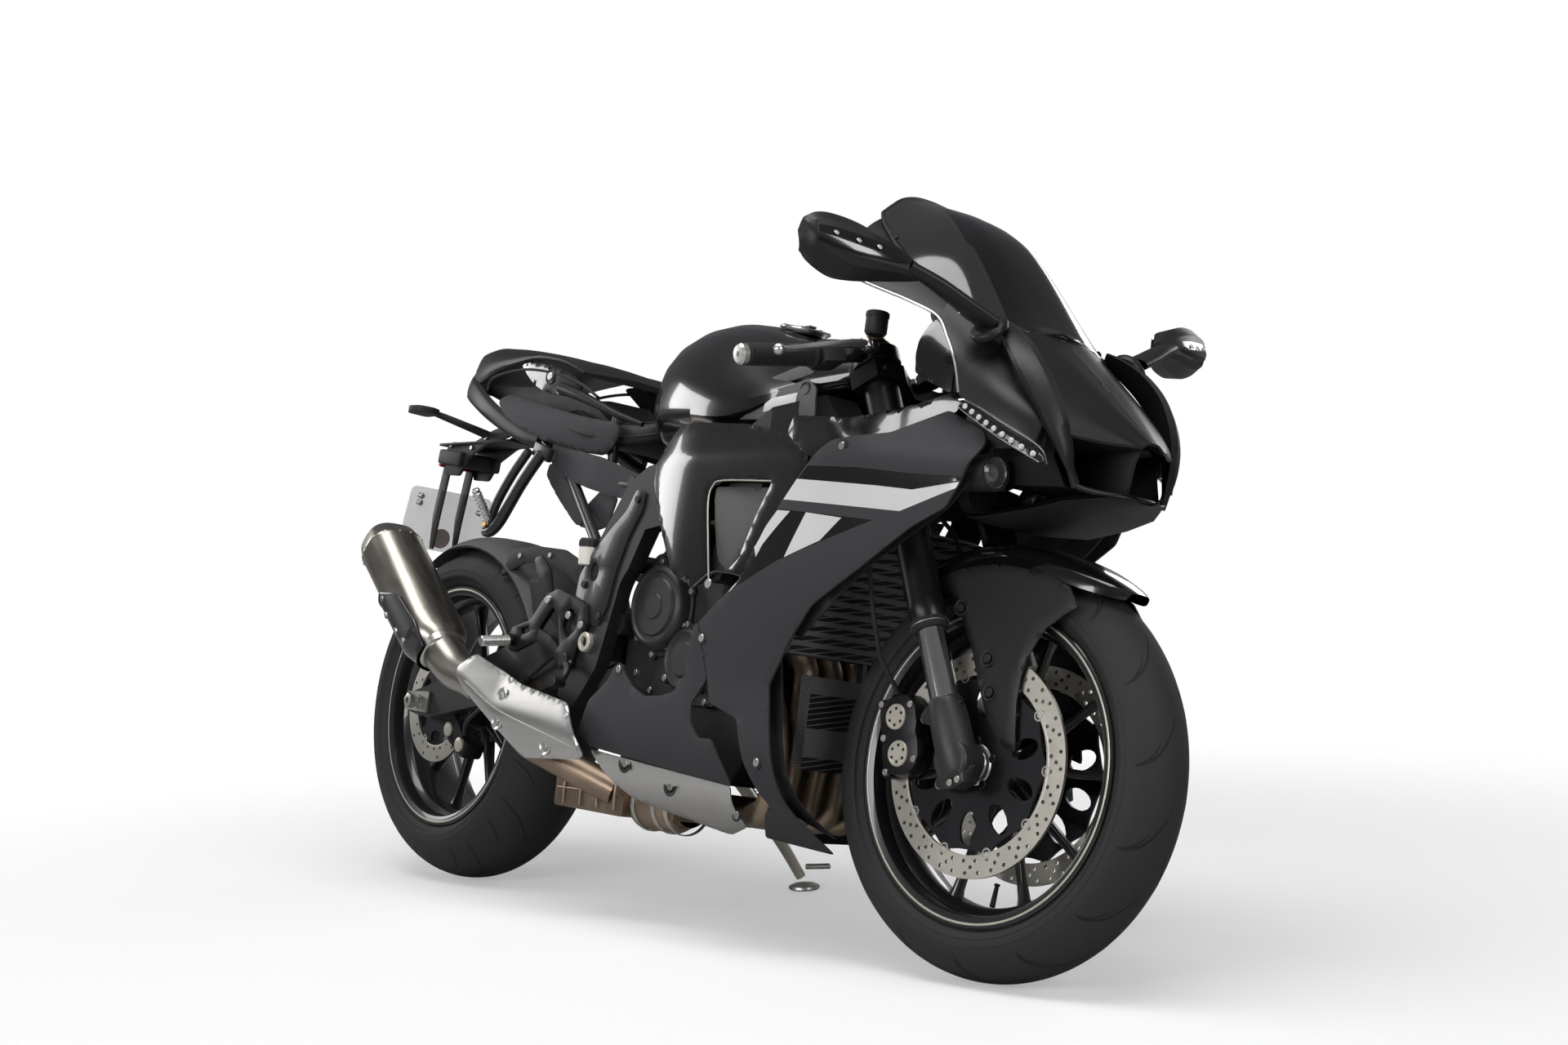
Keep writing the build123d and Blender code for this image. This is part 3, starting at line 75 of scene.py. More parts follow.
def read_frames():
    """Upright-to-leaned and upright-to-turned matrices, from the wheel and steering joints."""
    across = Vector(JOINTS["rear_wheel_spin"]["axis"]).normalized()
    head = Vector(JOINTS["steering"]["axis"]).normalized()
    up = Matrix.Rotation(RAKE, 3, across) @ head
    ahead = across.cross(up).normalized()
    rear_axle = Vector(JOINTS["rear_wheel_spin"]["pos_m"])
    origin = rear_axle - up * REAR_R * MM
    leaned = axes_matrix(origin, ahead, across, up)
    front_across = Vector(JOINTS["front_wheel_spin"]["axis"]).normalized()
    turn = head.dot(across.cross(front_across))
    pivot = Vector(JOINTS["steering"]["pos_m"])
    spin = Matrix.Rotation(math.asin(turn), 4, head)
    turned_left = Matrix.Translation(pivot) @ spin @ Matrix.Translation(-pivot) @ leaned
    return leaned, turned_left


LEANED, TURNED = read_frames()
PLACES = {"chassis": LEANED, "rear_wheel": LEANED, "side_stand": LEANED, "steering": TURNED,
          "front_wheel": TURNED}
FRONT_AXLE = Vector((WHEELBASE, 0, FRONT_R))
REAR_AXLE = Vector((0, 0, REAR_R))


def head_point(x, y, s):
    """Upright point from the steering frame: x ahead of the axis, y left, s up from the axle's level."""
    along = AXLE_S + s
    return Vector((
        WHEELBASE + TRAIL + x * math.cos(RAKE) - along * math.sin(RAKE),
        y,
        x * math.sin(RAKE) + along * math.cos(RAKE),
    ))


# --- meshes ---------------------------------------------------------------------------------
WELD_GAP = 0.00004


class Shape:
    """Vertices and faces in upright millimetres; each face has a material number."""

    def __init__(self):
        self.points = []
        self.faces = []
        self.mats = []

    def add(self, points, faces, mat=0):
        """Adds points and their faces."""
        base = len(self.points)
        self.points.extend(Vector(point) for point in points)
        for face in faces:
            self.faces.append([base + index for index in face])
            self.mats.append(mat)
        return self

    def join(self, other, mat=None):
        """Adds another shape, with its own material numbers or one for all."""
        base = len(self.points)
        self.points.extend(other.points)
        for face, number in zip(other.faces, other.mats):
            self.faces.append([base + index for index in face])
            self.mats.append(number if mat is None else mat)
        return self

    def mapped(self, change):
        """Moves every point by a function."""
        self.points = [change(point) for point in self.points]
        return self

    def flipped(self):
        """Turns every face round."""
        self.faces = [face[::-1] for face in self.faces]
        return self

    def copy(self):
        """A twin that shares nothing with this shape."""
        twin = Shape()
        twin.points = [point.copy() for point in self.points]
        twin.faces = [list(face) for face in self.faces]
        twin.mats = list(self.mats)
        return twin

    def lined(self, change):
        """Adds an inner face: a reversed copy whose points are moved by a function."""
        return self.join(self.copy().mapped(change).flipped())

    def with_mirror(self):
        """Adds the same on the other side of the machine."""
        mirror = Matrix.Scale(-1, 4, ACROSS)
        return self.lined(lambda point: mirror @ point)

    def capped(self, wide):
        """Adds an end face over the first and the last of its closed rows, wide points round."""
        last = len(self.points)
        self.faces += [list(range(wide)), list(range(last - wide, last))[::-1]]
        self.mats += [0, 0]
        return self


def piece(name, shape, finishes, body="chassis", replaces=None, smooth=38, bevel=0.0, level=0):
    """One Blender object from a Shape, riding on a body and standing for a CAD node.
    """
    finishes = finishes if isinstance(finishes, list) else [finishes]
    mesh = bpy.data.meshes.new(name)
    place = PLACES[body]
    mesh.from_pydata([place @ point for point in shape.points], [], shape.faces)
    for finish in finishes:
        mesh.materials.append(finish)
    for polygon, number in zip(mesh.polygons, shape.mats):
        polygon.material_index = number
    build = bmesh.new()
    build.from_mesh(mesh)
    bmesh.ops.remove_doubles(build, verts=build.verts, dist=WELD_GAP)
    bmesh.ops.recalc_face_normals(build, faces=build.faces)
    build.to_mesh(mesh)
    build.free()
    thing = bpy.data.objects.new(name, mesh)
    bpy.context.scene.collection.objects.link(thing)
    if bevel:
        rounding = thing.modifiers.new("edge", "BEVEL")
        rounding.width = bevel * MM
        rounding.segments = 2
        rounding.limit_method = "ANGLE"
        rounding.angle_limit = math.radians(34)
        rounding.harden_normals = False
        apply_modifiers(thing)
    if level:
        division = thing.modifiers.new("round", "SUBSURF")
        division.levels = division.render_levels = level
        apply_modifiers(thing)
    for polygon in thing.data.polygons:
        polygon.use_smooth = True
    thing.data.set_sharp_from_angle(angle=math.radians(smooth))
    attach(thing, body)
    if replaces:
        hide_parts(replaces)
    return thing


def apply_modifiers(thing):
    """Writes the modifiers of an object into its mesh."""
    graph = bpy.context.evaluated_depsgraph_get()
    done = bpy.data.meshes.new_from_object(thing.evaluated_get(graph))
    thing.modifiers.clear()
    thing.data = done


def angles(count, start=0.0):
    """Angles spread evenly round a full turn."""
    return [start + 2 * math.pi * k / count for k in range(count)]


def heading(path, i):
    """Direction of a path at its point i."""
    return (path[min(i + 1, len(path) - 1)] - path[max(i - 1, 0)]).normalized()


def straight(points):
    """Height of a polyline at x."""
    def height(x):
        if x <= points[0][0]:
            return points[0][1]
        for a, b in zip(points, points[1:]):
            if x <= b[0]:
                return a[1] + (b[1] - a[1]) * (x - a[0]) / (b[0] - a[0])
        return points[-1][1]
    return height


def span(a, b, count):
    """Evenly spread values from a to b, both included."""
    return [a + (b - a) * k / count for k in range(count + 1)]


def spline(points, count, closed=False):
    """Catmull-Rom curve through the points, evenly counted per run."""
    pts = [Vector(point) for point in points]
    n = len(pts)
    runs = n if closed else n - 1
    out = []
    for i in range(runs):
        p1, p2 = pts[i], pts[(i + 1) % n]
        p0 = pts[(i - 1) % n] if closed or i > 0 else p1 * 2 - p2
        p3 = pts[(i + 2) % n] if closed or i + 2 < n else p2 * 2 - p1
        for k in range(count):
            t = k / count
            out.append(0.5 * ((p1 * 2) + (p2 - p0) * t + (p0 * 2 - p1 * 5 + p2 * 4 - p3) * t * t
                              + (p1 * 3 - p0 - p2 * 3 + p3) * t * t * t))
    if not closed:
        out.append(pts[-1].copy())
    return out


def sheet_grid(rows, close_rows=False, close_row=False):
    """Quads over rows of points."""
    shape = Shape()
    wide = len(rows[0])
    points = [point for row in rows for point in row]
    faces = []
    for i in range(len(rows) if close_rows else len(rows) - 1):
        for j in range(wide if close_row else wide - 1):
            a, b = i * wide + j, i * wide + (j + 1) % wide
            below = ((i + 1) % len(rows)) * wide
            faces.append([a, b, below + (j + 1) % wide, below + j])
    return shape.add(points, faces)


def lofted(sections, around=3, along=4):
    """Smooth closed body through rings of points that match one another."""
    rings = [spline(ring, around, closed=True) for ring in sections]
    columns = [spline(column, along) for column in zip(*rings)]
    rows = [list(row) for row in zip(*columns)]
    return sheet_grid(rows, close_row=True).capped(len(rows[0]))


def lathe(outline, centre=(0, 0, 0), axis=ACROSS, count=64, closed=True):
    """Turn (along, radius) points about an axis."""
    centre, axis = Vector(centre), Vector(axis).normalized()
    side = axis.orthogonal().normalized()
    other = axis.cross(side)
    rows = []
    for angle in angles(count):
        out = side * math.cos(angle) + other * math.sin(angle)
        rows.append([centre + axis * along + out * radius for along, radius in outline])
    return sheet_grid(rows, close_rows=True, close_row=closed)


def rod(start, end, radius, end_radius=None, count=20, edge=0.0):
    """Round bar between two points with eased ends."""
    start, end = Vector(start), Vector(end)
    run = (end - start).length
    last = radius if end_radius is None else end_radius
    outline = [(0, 0.01), (0, radius - edge), (edge, radius), (run - edge, last), (run, last - edge),
               (run, 0.01)]
    return lathe(outline, start, end - start, count, closed=False)


def tube(points, radius, count=12, per_run=6, smooth=True, scale=None):
    """Round tube along a smooth path; scale gives a factor for the radius at each place."""
    path = spline(points, per_run) if smooth else [Vector(point) for point in points]
    rows = []
    side = None
    for i, here in enumerate(path):
        ahead = heading(path, i)
        if side is None:
            side = ahead.orthogonal().normalized()
        side = (side - ahead * side.dot(ahead)).normalized()
        other = ahead.cross(side)
        size = radius * (scale(i / (len(path) - 1)) if scale else 1.0)
        rows.append([here + (side * math.cos(a) + other * math.sin(a)) * size for a in angles(count)])
    return sheet_grid(rows, close_row=True).capped(count)


def block(centre, size, turn=None, edge=2.0):
    """Box with chamfered edges and corners."""
    x, y, z = (value / 2 for value in size)
    e = min(edge, x * 0.9, y * 0.9, z * 0.9)
    build = bmesh.new()
    bmesh.ops.create_cube(build, size=2)
    for vert in build.verts:
        vert.co = Vector((vert.co.x * x, vert.co.y * y, vert.co.z * z))
    bmesh.ops.bevel(build, geom=list(build.edges), offset=e, segments=2, affect="EDGES", profile=0.6)
    where = Matrix.Translation(centre) @ (turn.to_4x4() if turn else Matrix.Identity(4))
    shape = Shape()
    build.verts.ensure_lookup_table()
    shape.add([where @ vert.co for vert in build.verts],
              [[v.index for v in face.verts] for face in build.faces])
    build.free()
    return shape


def slab(outline, low, high, plane="xz", holes=()):
    """Flat outline with its holes, given thickness along the third axis."""
    def lift(point, depth):
        a, b = point
        return {"xz": (a, depth, b), "xy": (a, b, depth), "yz": (depth, a, b)}[plane]

    loops = [list(outline)] + [list(hole) for hole in holes]
    flat = [Vector(point) for loop in loops for point in loop]
    edges, start = [], 0
    for loop in loops:
        count = len(loop)
        edges += [(start + i, start + (i + 1) % count) for i in range(count)]
        start += count
    verts, _, tris, _, _, _ = geometry.delaunay_2d_cdt(flat, edges, [], 0, 1e-6)
    keep = []
    for tri in tris:
        mid = sum((verts[i] for i in tri), Vector((0, 0))) / len(tri)
        if inside(mid, loops[0]) and not any(inside(mid, loop) for loop in loops[1:]):
            keep.append(list(tri))
    count = len(verts)
    points = [lift(v, high) for v in verts] + [lift(v, low) for v in verts]
    faces = keep + [[i + count for i in tri[::-1]] for tri in keep]
    rim = {}
    for tri in keep:
        for a, b in zip(tri, tri[1:] + tri[:1]):
            key = (min(a, b), max(a, b))
            rim[key] = rim.get(key, 0) + 1
    for (a, b), used in rim.items():
        if used == 1:
            faces.append([a, b, b + count, a + count])
    return Shape().add(points, faces)


def inside(point, loop):
    """Even-odd test of a flat point in a loop."""
    x, y = point[0], point[1]
    hit = False
    for (x1, y1), (x2, y2) in zip(loop, loop[1:] + loop[:1]):
        if (y1 > y) != (y2 > y) and x < (x2 - x1) * (y - y1) / (y2 - y1) + x1:
            hit = not hit
    return hit


def rounded(outline, radius, steps=4):
    """Outline with its corners rounded."""
    pts = [Vector(point) for point in outline]
    out = []
    for i, here in enumerate(pts):
        before, after = pts[i - 1] - here, pts[(i + 1) % len(pts)] - here
        reach = min(radius, before.length * 0.45, after.length * 0.45)
        a, b = here + before.normalized() * reach, here + after.normalized() * reach
        for k in range(steps + 1):
            t = k / steps
            out.append(tuple(a * (1 - t) ** 2 + here * 2 * t * (1 - t) + b * t * t))
    return out


def dense(outline, step):
    """Outline with points no further apart than step."""
    out = []
    for a, b in zip(outline, list(outline[1:]) + [outline[0]]):
        a, b = Vector(a), Vector(b)
        count = max(1, int((b - a).length / step))
        out += [tuple(a.lerp(b, k / count)) for k in range(count)]
    return out


ROLLED_RIM = 1.2
SKIN = 3.4


def panel(outline, depth, thick, step=14.0, marks=(), corner=6.0, hole=None):
    """Curved fairing panel: side-view outline (x, z), with y = depth(x, z), and a rolled rim.

    marks are closed (x, z) loops; the faces inside the last one that holds them get its number.
    """
    border = dense(rounded(outline, corner), step * 0.6)
    loops = [border] + [dense(rounded(loop, corner), step * 0.6) for loop in (hole or [])]
    spots = [Vector(point) for loop in loops for point in loop]
    edges, start = [], 0
    for loop in loops:
        edges += [(start + i, start + (i + 1) % len(loop)) for i in range(len(loop))]
        start += len(loop)
    for number, loop in marks:
        path = dense(loop, step * 0.8)
        base = len(spots)
        spots += [Vector(point) for point in path]
        edges += [(base + i, base + (i + 1) % len(path)) for i in range(len(path))]
    xs, zs = [p[0] for p in border], [p[1] for p in border]
    x = min(xs)
    row = 0
    while x < max(xs):
        z = min(zs) + (step / 2 if row % 2 else 0)
        while z < max(zs):
            if inside((x, z), border) and not any(inside((x, z), loop) for loop in loops[1:]):
                spots.append(Vector((x, z)))
            z += step
        x += step * 0.87
        row += 1
    verts, _, tris, _, _, _ = geometry.delaunay_2d_cdt(spots, edges, [], 0, 1e-4)
    keep, numbers = [], []
    for tri in tris:
        mid = sum((verts[i] for i in tri), Vector((0, 0))) / 3
        if not inside(mid, border) or any(inside(mid, loop) for loop in loops[1:]):
            continue
        number = 0
        for mark, loop in marks:
            if inside(mid, loop):
                number = mark
        keep.append(list(tri))
        numbers.append(number)
    outer = [Vector((v[0], depth(v[0], v[1]), v[1])) for v in verts]
    side = 1 if outer[keep[0][0]].y > 0 else -1
    rimmed = {}
    for tri in keep:
        for a, b in zip(tri, tri[1:] + tri[:1]):
            key = (min(a, b), max(a, b))
            rimmed[key] = rimmed.get(key, 0) + 1
    border_verts = {i for key, used in rimmed.items() if used == 1 for i in key}
    for i in border_verts:
        outer[i].y -= side * ROLLED_RIM
    shape = Shape().add(outer, keep)
    shape.mats = numbers
    back = [point - Vector((0, side * thick, 0)) for point in outer]
    count = len(outer)
    shape.points.extend(back)
    for tri in keep:
        shape.faces.append([i + count for i in tri[::-1]])
        shape.mats.append(0)
    for (a, b), used in rimmed.items():
        if used == 1:
            shape.faces.append([a, b, b + count, a + count])
            shape.mats.append(0)
    return shape


def bolt(where, out, radius=5.0, height=4.0):
    """Socket-head bolt: a chamfered head with a hexagonal recess, whose faces take the second finish, where the
    callers put painted shade.
    """
    where, out = Vector(where), Vector(out).normalized()
    shape = rod(where - out, where + out * height, radius, count=18, edge=radius * 0.16)
    side = out.orthogonal().normalized()
    other = out.cross(side)
    rows = []
    for depth, reach in ((height + 0.05, radius * 0.56), (height * 0.35, radius * 0.5), (height * 0.35, 0.01)):
        rows.append([where + out * depth + (side * math.cos(a) + other * math.sin(a)) * reach
                     for a in angles(6)])
    return shape.join(sheet_grid(rows, close_row=True), 1)


def add_node(nodes, kind, **values):
    """Shader node with inputs set by name; an underscore stands for a space."""
    made = nodes.new("ShaderNode" + kind)
    for name, value in values.items():
        made.inputs[name.replace("_", " ")].default_value = value
    return made


def material(name, color, rough, grain, grain_size, relief, wear, metal=0.0, coat=0.0, stretch=(1, 1, 1),
             specular=0.5):
    """Procedural finish: noise varies colour and roughness, and grain gives the bump."""
    finish = bpy.data.materials.new(name)
    finish.use_nodes = True
    nodes, links = finish.node_tree.nodes, finish.node_tree.links
    shader = nodes["Principled BSDF"]
    for key, value in (("Metallic", metal), ("Coat Weight", coat), ("Coat Roughness", 0.06),
                       ("Specular IOR Level", specular)):
        shader.inputs[key].default_value = value
    place, scaled = add_node(nodes, "TexCoord"), add_node(nodes, "Mapping", Scale=stretch)
    links.new(place.outputs["Object"], scaled.inputs["Vector"])
    broad = add_node(nodes, "TexNoise", Scale=9.0, Detail=8.0, Roughness=0.62)
    fine = add_node(nodes, "TexNoise", Scale=grain_size, Detail=3.0)
    for noise in (broad, fine):
        links.new(scaled.outputs["Vector"], noise.inputs["Vector"])
    tint = add_node(nodes, "MapRange", From_Min=0.3, From_Max=0.7, To_Min=1.0 - wear, To_Max=1.0 + wear)
    links.new(broad.outputs["Fac"], tint.inputs["Value"])
    paint = add_node(nodes, "VectorMath")
    paint.operation = "SCALE"
    paint.inputs[0].default_value = color
    links.new(tint.outputs["Result"], paint.inputs["Scale"])
    links.new(paint.outputs["Vector"], shader.inputs["Base Color"])
    rub = add_node(nodes, "MapRange", From_Min=0.25, From_Max=0.75,
                   To_Min=max(0.02, rough - 0.35 * wear), To_Max=min(1.0, rough + 0.6 * wear))
    links.new(broad.outputs["Fac"], rub.inputs["Value"])
    links.new(rub.outputs["Result"], shader.inputs["Roughness"])
    bumps = add_node(nodes, "Bump", Strength=min(1.0, grain), Distance=relief * MM)
    links.new(fine.outputs["Fac"], bumps.inputs["Height"])
    links.new(bumps.outputs["Normal"], shader.inputs["Normal"])
    return finish


def parts_of(finish):
    """A finish's nodes and links, its shader and the mapping that all its textures share."""
    nodes = finish.node_tree.nodes
    scaled = next(node for node in nodes if node.type == "MAPPING")
    return nodes, finish.node_tree.links, nodes["Principled BSDF"], scaled


def clear_plastic(name, color, rough, alpha):
    """Smoked or clear sheet: coloured see-through plastic with fine scuffs."""
    finish = material(name, color, rough, 0.1, 300, 0.01, 0.1, coat=0.7)
    finish.node_tree.nodes["Principled BSDF"].inputs["Alpha"].default_value = alpha
    finish.use_screen_refraction = False
    return finish


# name, colour, roughness, grain's strength, scale and depth in mm, wear
SATIN = material("satin_black_paint", (0.0075, 0.0075, 0.008), 0.42, 0.12, 1400, 0.02, 0.1,
                 specular=0.4)
GLOSS = material("gloss_black_paint", (0.004, 0.004, 0.0045), 0.2, 0.05, 700, 0.01,
                 0.05, coat=1.0)
MATT = material("dark_grey_matt", (0.030, 0.031, 0.034), 0.62, 0.3, 1800, 0.03, 0.08,
                specular=0.35)
GREY = material("warm_grey_plastic", (0.085, 0.084, 0.082), 0.6, 0.35, 1500, 0.04, 0.08)
BLACK = material("black_plastic", (0.011, 0.011, 0.011), 0.55, 0.5, 1200, 0.06, 0.12)
# painted shade: this near-black stands in for the shade inside recesses, holes and openings; it is not the
# colour of a part
SHADE_BLACK = material("shadow_black", (0.004, 0.004, 0.004), 0.8, 0.4, 900, 0.08, 0.1)
TYRE = material("tyre_rubber", (0.017, 0.017, 0.0175), 0.72, 0.6, 700, 0.12, 0.2)
RUBBER = material("soft_rubber", (0.012, 0.012, 0.012), 0.75, 0.7, 600, 0.15, 0.15)
WHEEL = material("wheel_black", (0.012, 0.012, 0.013), 0.3, 0.15, 1000, 0.02, 0.08, coat=0.6)
ALLOY = material("bare_aluminium", (0.62, 0.61, 0.59), 0.3, 0.25, 900, 0.03, 0.1, metal=1.0)
DARK_CAST = material("dark_cast", (0.045, 0.045, 0.047), 0.42, 0.6, 600, 0.1, 0.14, metal=0.6)
DISC = material("disc_steel", (0.66, 0.63, 0.56), 0.34, 0.3, 1600, 0.02, 0.1, metal=1.0)
CREAM = material("cream_anodised", (0.56, 0.53, 0.45), 0.42, 0.25, 1200, 0.03,
                 0.08, metal=0.7)
CHROME = material("hard_chrome", (0.8, 0.79, 0.77), 0.1, 0.05, 1400, 0.01, 0.06, metal=1.0)
STEEL = material("zinc_steel", (0.5, 0.49, 0.46), 0.36, 0.3, 900, 0.03, 0.14, metal=1.0)
GOLD = material("gold_anodised", (0.62, 0.40, 0.13), 0.32, 0.2, 1000, 0.02, 0.1, metal=1.0)
DARK_STEEL = material("black_oxide", (0.04, 0.04, 0.042), 0.38, 0.4, 800, 0.05,
                      0.18, metal=0.9)
ANODISED = material("dark_anodised", (0.030, 0.030, 0.033), 0.34, 0.25, 1200, 0.03,
                    0.1, metal=0.8)
FRAME_BLACK = material("frame_black", (0.013, 0.013, 0.014), 0.34, 0.3, 700, 0.05, 0.1, coat=0.3)
TITANIUM = material("titanium", (0.40, 0.37, 0.33), 0.3, 0.35, 260, 0.03, 0.12, metal=1.0,
                    stretch=(1, 6, 1))
BRUSHED = material("brushed_silver", (0.60, 0.59, 0.57), 0.34, 0.5, 240, 0.03, 0.08,
                   metal=1.0, stretch=(0.15, 1, 6))
BRONZE = material("hot_steel", (0.30, 0.23, 0.17), 0.4, 0.5, 500, 0.06, 0.3, metal=1.0)
CHAIN = material("chain_steel", (0.34, 0.32, 0.28), 0.34, 0.4, 700, 0.04, 0.22, metal=1.0)
GLASS = clear_plastic("lamp_glass", (0.03, 0.03, 0.034), 0.05, 0.42)
SMOKE = clear_plastic("smoked_screen", (0.006, 0.006, 0.007), 0.06, 0.86)
PLATE = clear_plastic("clear_acrylic", (0.66, 0.67, 0.66), 0.12, 0.4)
WHITE = material("white_film", (0.62, 0.62, 0.61), 0.42, 0.15, 900, 0.01, 0.04, coat=0.4)
FIELD = material("gloss_black_film", (0.005, 0.005, 0.0055), 0.16, 0.06, 900, 0.01,
                 0.05, coat=0.9)
AMBER = material("amber_lens", (0.65, 0.16, 0.02), 0.22, 0.3, 300, 0.08, 0.1, coat=0.6)
RED = material("red_lens", (0.25, 0.012, 0.01), 0.2, 0.3, 300, 0.08, 0.1, coat=0.6)
MIRROR = material("mirror_glass", (0.75, 0.76, 0.78), 0.03, 0.02, 300, 0.004, 0.02, metal=1.0)
RESERVOIR = material("milky_plastic", (0.66, 0.64, 0.58), 0.45, 0.2, 500, 0.03, 0.06)
LIGHT = material("lamp_lens", (0.5, 0.52, 0.54), 0.08, 0.15, 220, 0.06, 0.05, coat=1.0)
# the second finish of each bolt list paints the socket recess with painted shade
BOLTS = [STEEL, SHADE_BLACK]
DARK_BOLTS = [DARK_STEEL, SHADE_BLACK]


def seat_cover():
    """Grained cover with a fine diamond tooth."""
    finish = material("seat_cover", (0.014, 0.014, 0.0145), 0.62, 0.5, 1500, 0.05, 0.12)
    nodes, links, shader, scaled = parts_of(finish)
    first = next(node for node in nodes if node.type == "BUMP")
    cells = add_node(nodes, "TexVoronoi", Scale=620.0)
    links.new(scaled.outputs["Vector"], cells.inputs["Vector"])
    second = add_node(nodes, "Bump", Strength=0.5, Distance=0.12 * MM)
    links.new(cells.outputs["Distance"], second.inputs["Height"])
    links.new(first.outputs["Normal"], second.inputs["Normal"])
    links.new(second.outputs["Normal"], shader.inputs["Normal"])
    return finish


def carbon_weave():
    """Twill weave under clear lacquer."""
    finish = material("carbon", (0.016, 0.016, 0.017), 0.3, 0.1, 600, 0.01, 0.06, coat=1.0)
    nodes, links, shader, scaled = parts_of(finish)
    low, high = 0.006, 0.034
    turned = add_node(nodes, "Mapping", Rotation=(0, 0.785, 0))
    links.new(scaled.outputs["Vector"], turned.inputs["Vector"])
    check = add_node(nodes, "TexChecker", Scale=330.0, Color1=(low, low, low, 1),
                     Color2=(high, high, high * 1.04, 1))
    links.new(turned.outputs["Vector"], check.inputs["Vector"])
    links.new(check.outputs["Color"], shader.inputs["Base Color"])
    return finish


def radiator_mesh():
    """Fine fins with darker rows of tubes."""
    finish = material("radiator_core", (0.05, 0.05, 0.05), 0.5, 0.3, 700, 0.05, 0.2, metal=0.6)
    nodes, links, shader, scaled = parts_of(finish)
    brick = add_node(nodes, "TexBrick", Scale=60.0, Mortar_Size=0.06, Color1=(0.012, 0.012, 0.012, 1),
                     Color2=(0.02, 0.02, 0.02, 1), Mortar=(0.16, 0.16, 0.16, 1))
    turned = add_node(nodes, "Mapping", Rotation=(math.radians(90), 0, math.radians(90)))
    links.new(scaled.outputs["Vector"], turned.inputs["Vector"])
    links.new(turned.outputs["Vector"], brick.inputs["Vector"])
    links.new(brick.outputs["Color"], shader.inputs["Base Color"])
    return finish


SEAT = seat_cover()
CARBON = carbon_weave()
CORE = radiator_mesh()


# --- wheels ---------------------------------------------------------------------------------
BEAD_R = 217.0
SPOKE_PAIRS = 5


def crown(radius, crown_r, y):
    """Height of the tread surface at a place across the tyre."""
    return radius - crown_r + math.sqrt(max(crown_r ** 2 - y * y, 1.0))


def tyre(name, centre, radius, width, crown_r, rim_w, body, flip):
    """Carcass with rounded shoulders, moulded side rings and curved tread groove marks drawn as flat strips of
    painted shade.
    """
    half = width / 2 - 1.4
    edge = radius - crown_r + math.sqrt(crown_r ** 2 - half ** 2)
    bead_y, bead_r = rim_w / 2 - 7, BEAD_R
    outline = [(-bead_y + 9, bead_r), (-bead_y, bead_r), (-bead_y - 1.5, bead_r + 9)]
    side = [(-bead_y - 1.5, bead_r + 9), (-half * 0.93, bead_r + 22), (-half - 0.5, (bead_r + edge) / 2 + 6),
            (-half, edge - 3)]
    for point in spline([(a, b, 0) for a, b in side], 5)[1:]:
        outline.append((point.x, point.y))
    for k in range(1, 24):
        y = -half + 2 * half * k / 24
        outline.append((y, crown(radius, crown_r, y)))
    outline += [(-a, b) for a, b in reversed(outline[:-23])]
    outline += [(half - 12, bead_r + 30), (0, radius - 14), (-half + 12, bead_r + 30)]
    shape = lathe(outline, centre, ACROSS, 240)
    # painted shade: each groove is a flat shadow-black strip on the tread, not a cut into it
    groove_shades = Shape()
    lengths = 15 if radius < 310 else 13
    for k in range(lengths):
        for side, lag in ((-1, 0.0), (1, 0.5)):
            start = 2 * math.pi * (k + lag) / lengths
            rows = [(0.10, 0.00), (0.22, 0.055), (0.40, 0.125), (0.60, 0.185), (0.80, 0.225), (0.93, 0.24)]
            groove_shades.join(groove(centre, radius, crown_r, half, start, side, rows, 2.6, flip))
            second = [(0.52, 0.02), (0.66, 0.075), (0.82, 0.12), (0.95, 0.14)]
            groove_shades.join(groove(centre, radius, crown_r, half, start + 0.10, side, second, 2.2, flip))
    piece(name, shape, TYRE, body, replaces=name, smooth=50)
    piece(name + "_grooves", groove_shades, SHADE_BLACK, body, smooth=60)
    rings = Shape()
    for side in (-1, 1):
        for ring_r, reach in ((bead_r + 14, 0.9), (edge - 16, 0.9), (edge - 5, 0.7)):
            y = side * ring_side(outline, ring_r)
            rings.join(lathe([(y - side * 0.6, ring_r - 1.1), (y + side * reach, ring_r),
                              (y - side * 0.6, ring_r + 1.1)], centre, ACROSS, 160))
    piece(name + "_side_rings", rings, TYRE, body)


def ring_side(outline, radius):
    """Half-width of the carcass at a radius on the side wall."""
    for (y1, r1), (y2, r2) in zip(outline, outline[1:]):
        if y1 < 0 and (r1 - radius) * (r2 - radius) <= 0 and r1 != r2:
            return -(y1 + (y2 - y1) * (radius - r1) / (r2 - r1))
    return 40.0


def groove(centre, radius, crown_r, half, start, side, rows, wide, flip):
    """Dark strip of painted shade laid just over the tread, curving from the tread's middle to its shoulder
    where a groove's shade falls.
    """
    centre = Vector(centre)
    path = spline([(across * half, angle, 0) for across, angle in rows], 6)
    strip = []
    for i, here in enumerate(path):
        fade = min(1.0, 0.25 + 1.6 * min(i, len(path) - 1 - i) / len(path) * 2)
        y = side * here.x
        r = crown(radius, crown_r, abs(here.x)) + 0.25
        angle = start + flip * here.y
        pair = []
        for shift in (-wide * fade / radius, wide * fade / radius):
            a = angle + shift
            pair.append(centre + Vector((r * math.sin(a), y, r * math.cos(a))))
        strip.append(pair)
    return sheet_grid(strip)


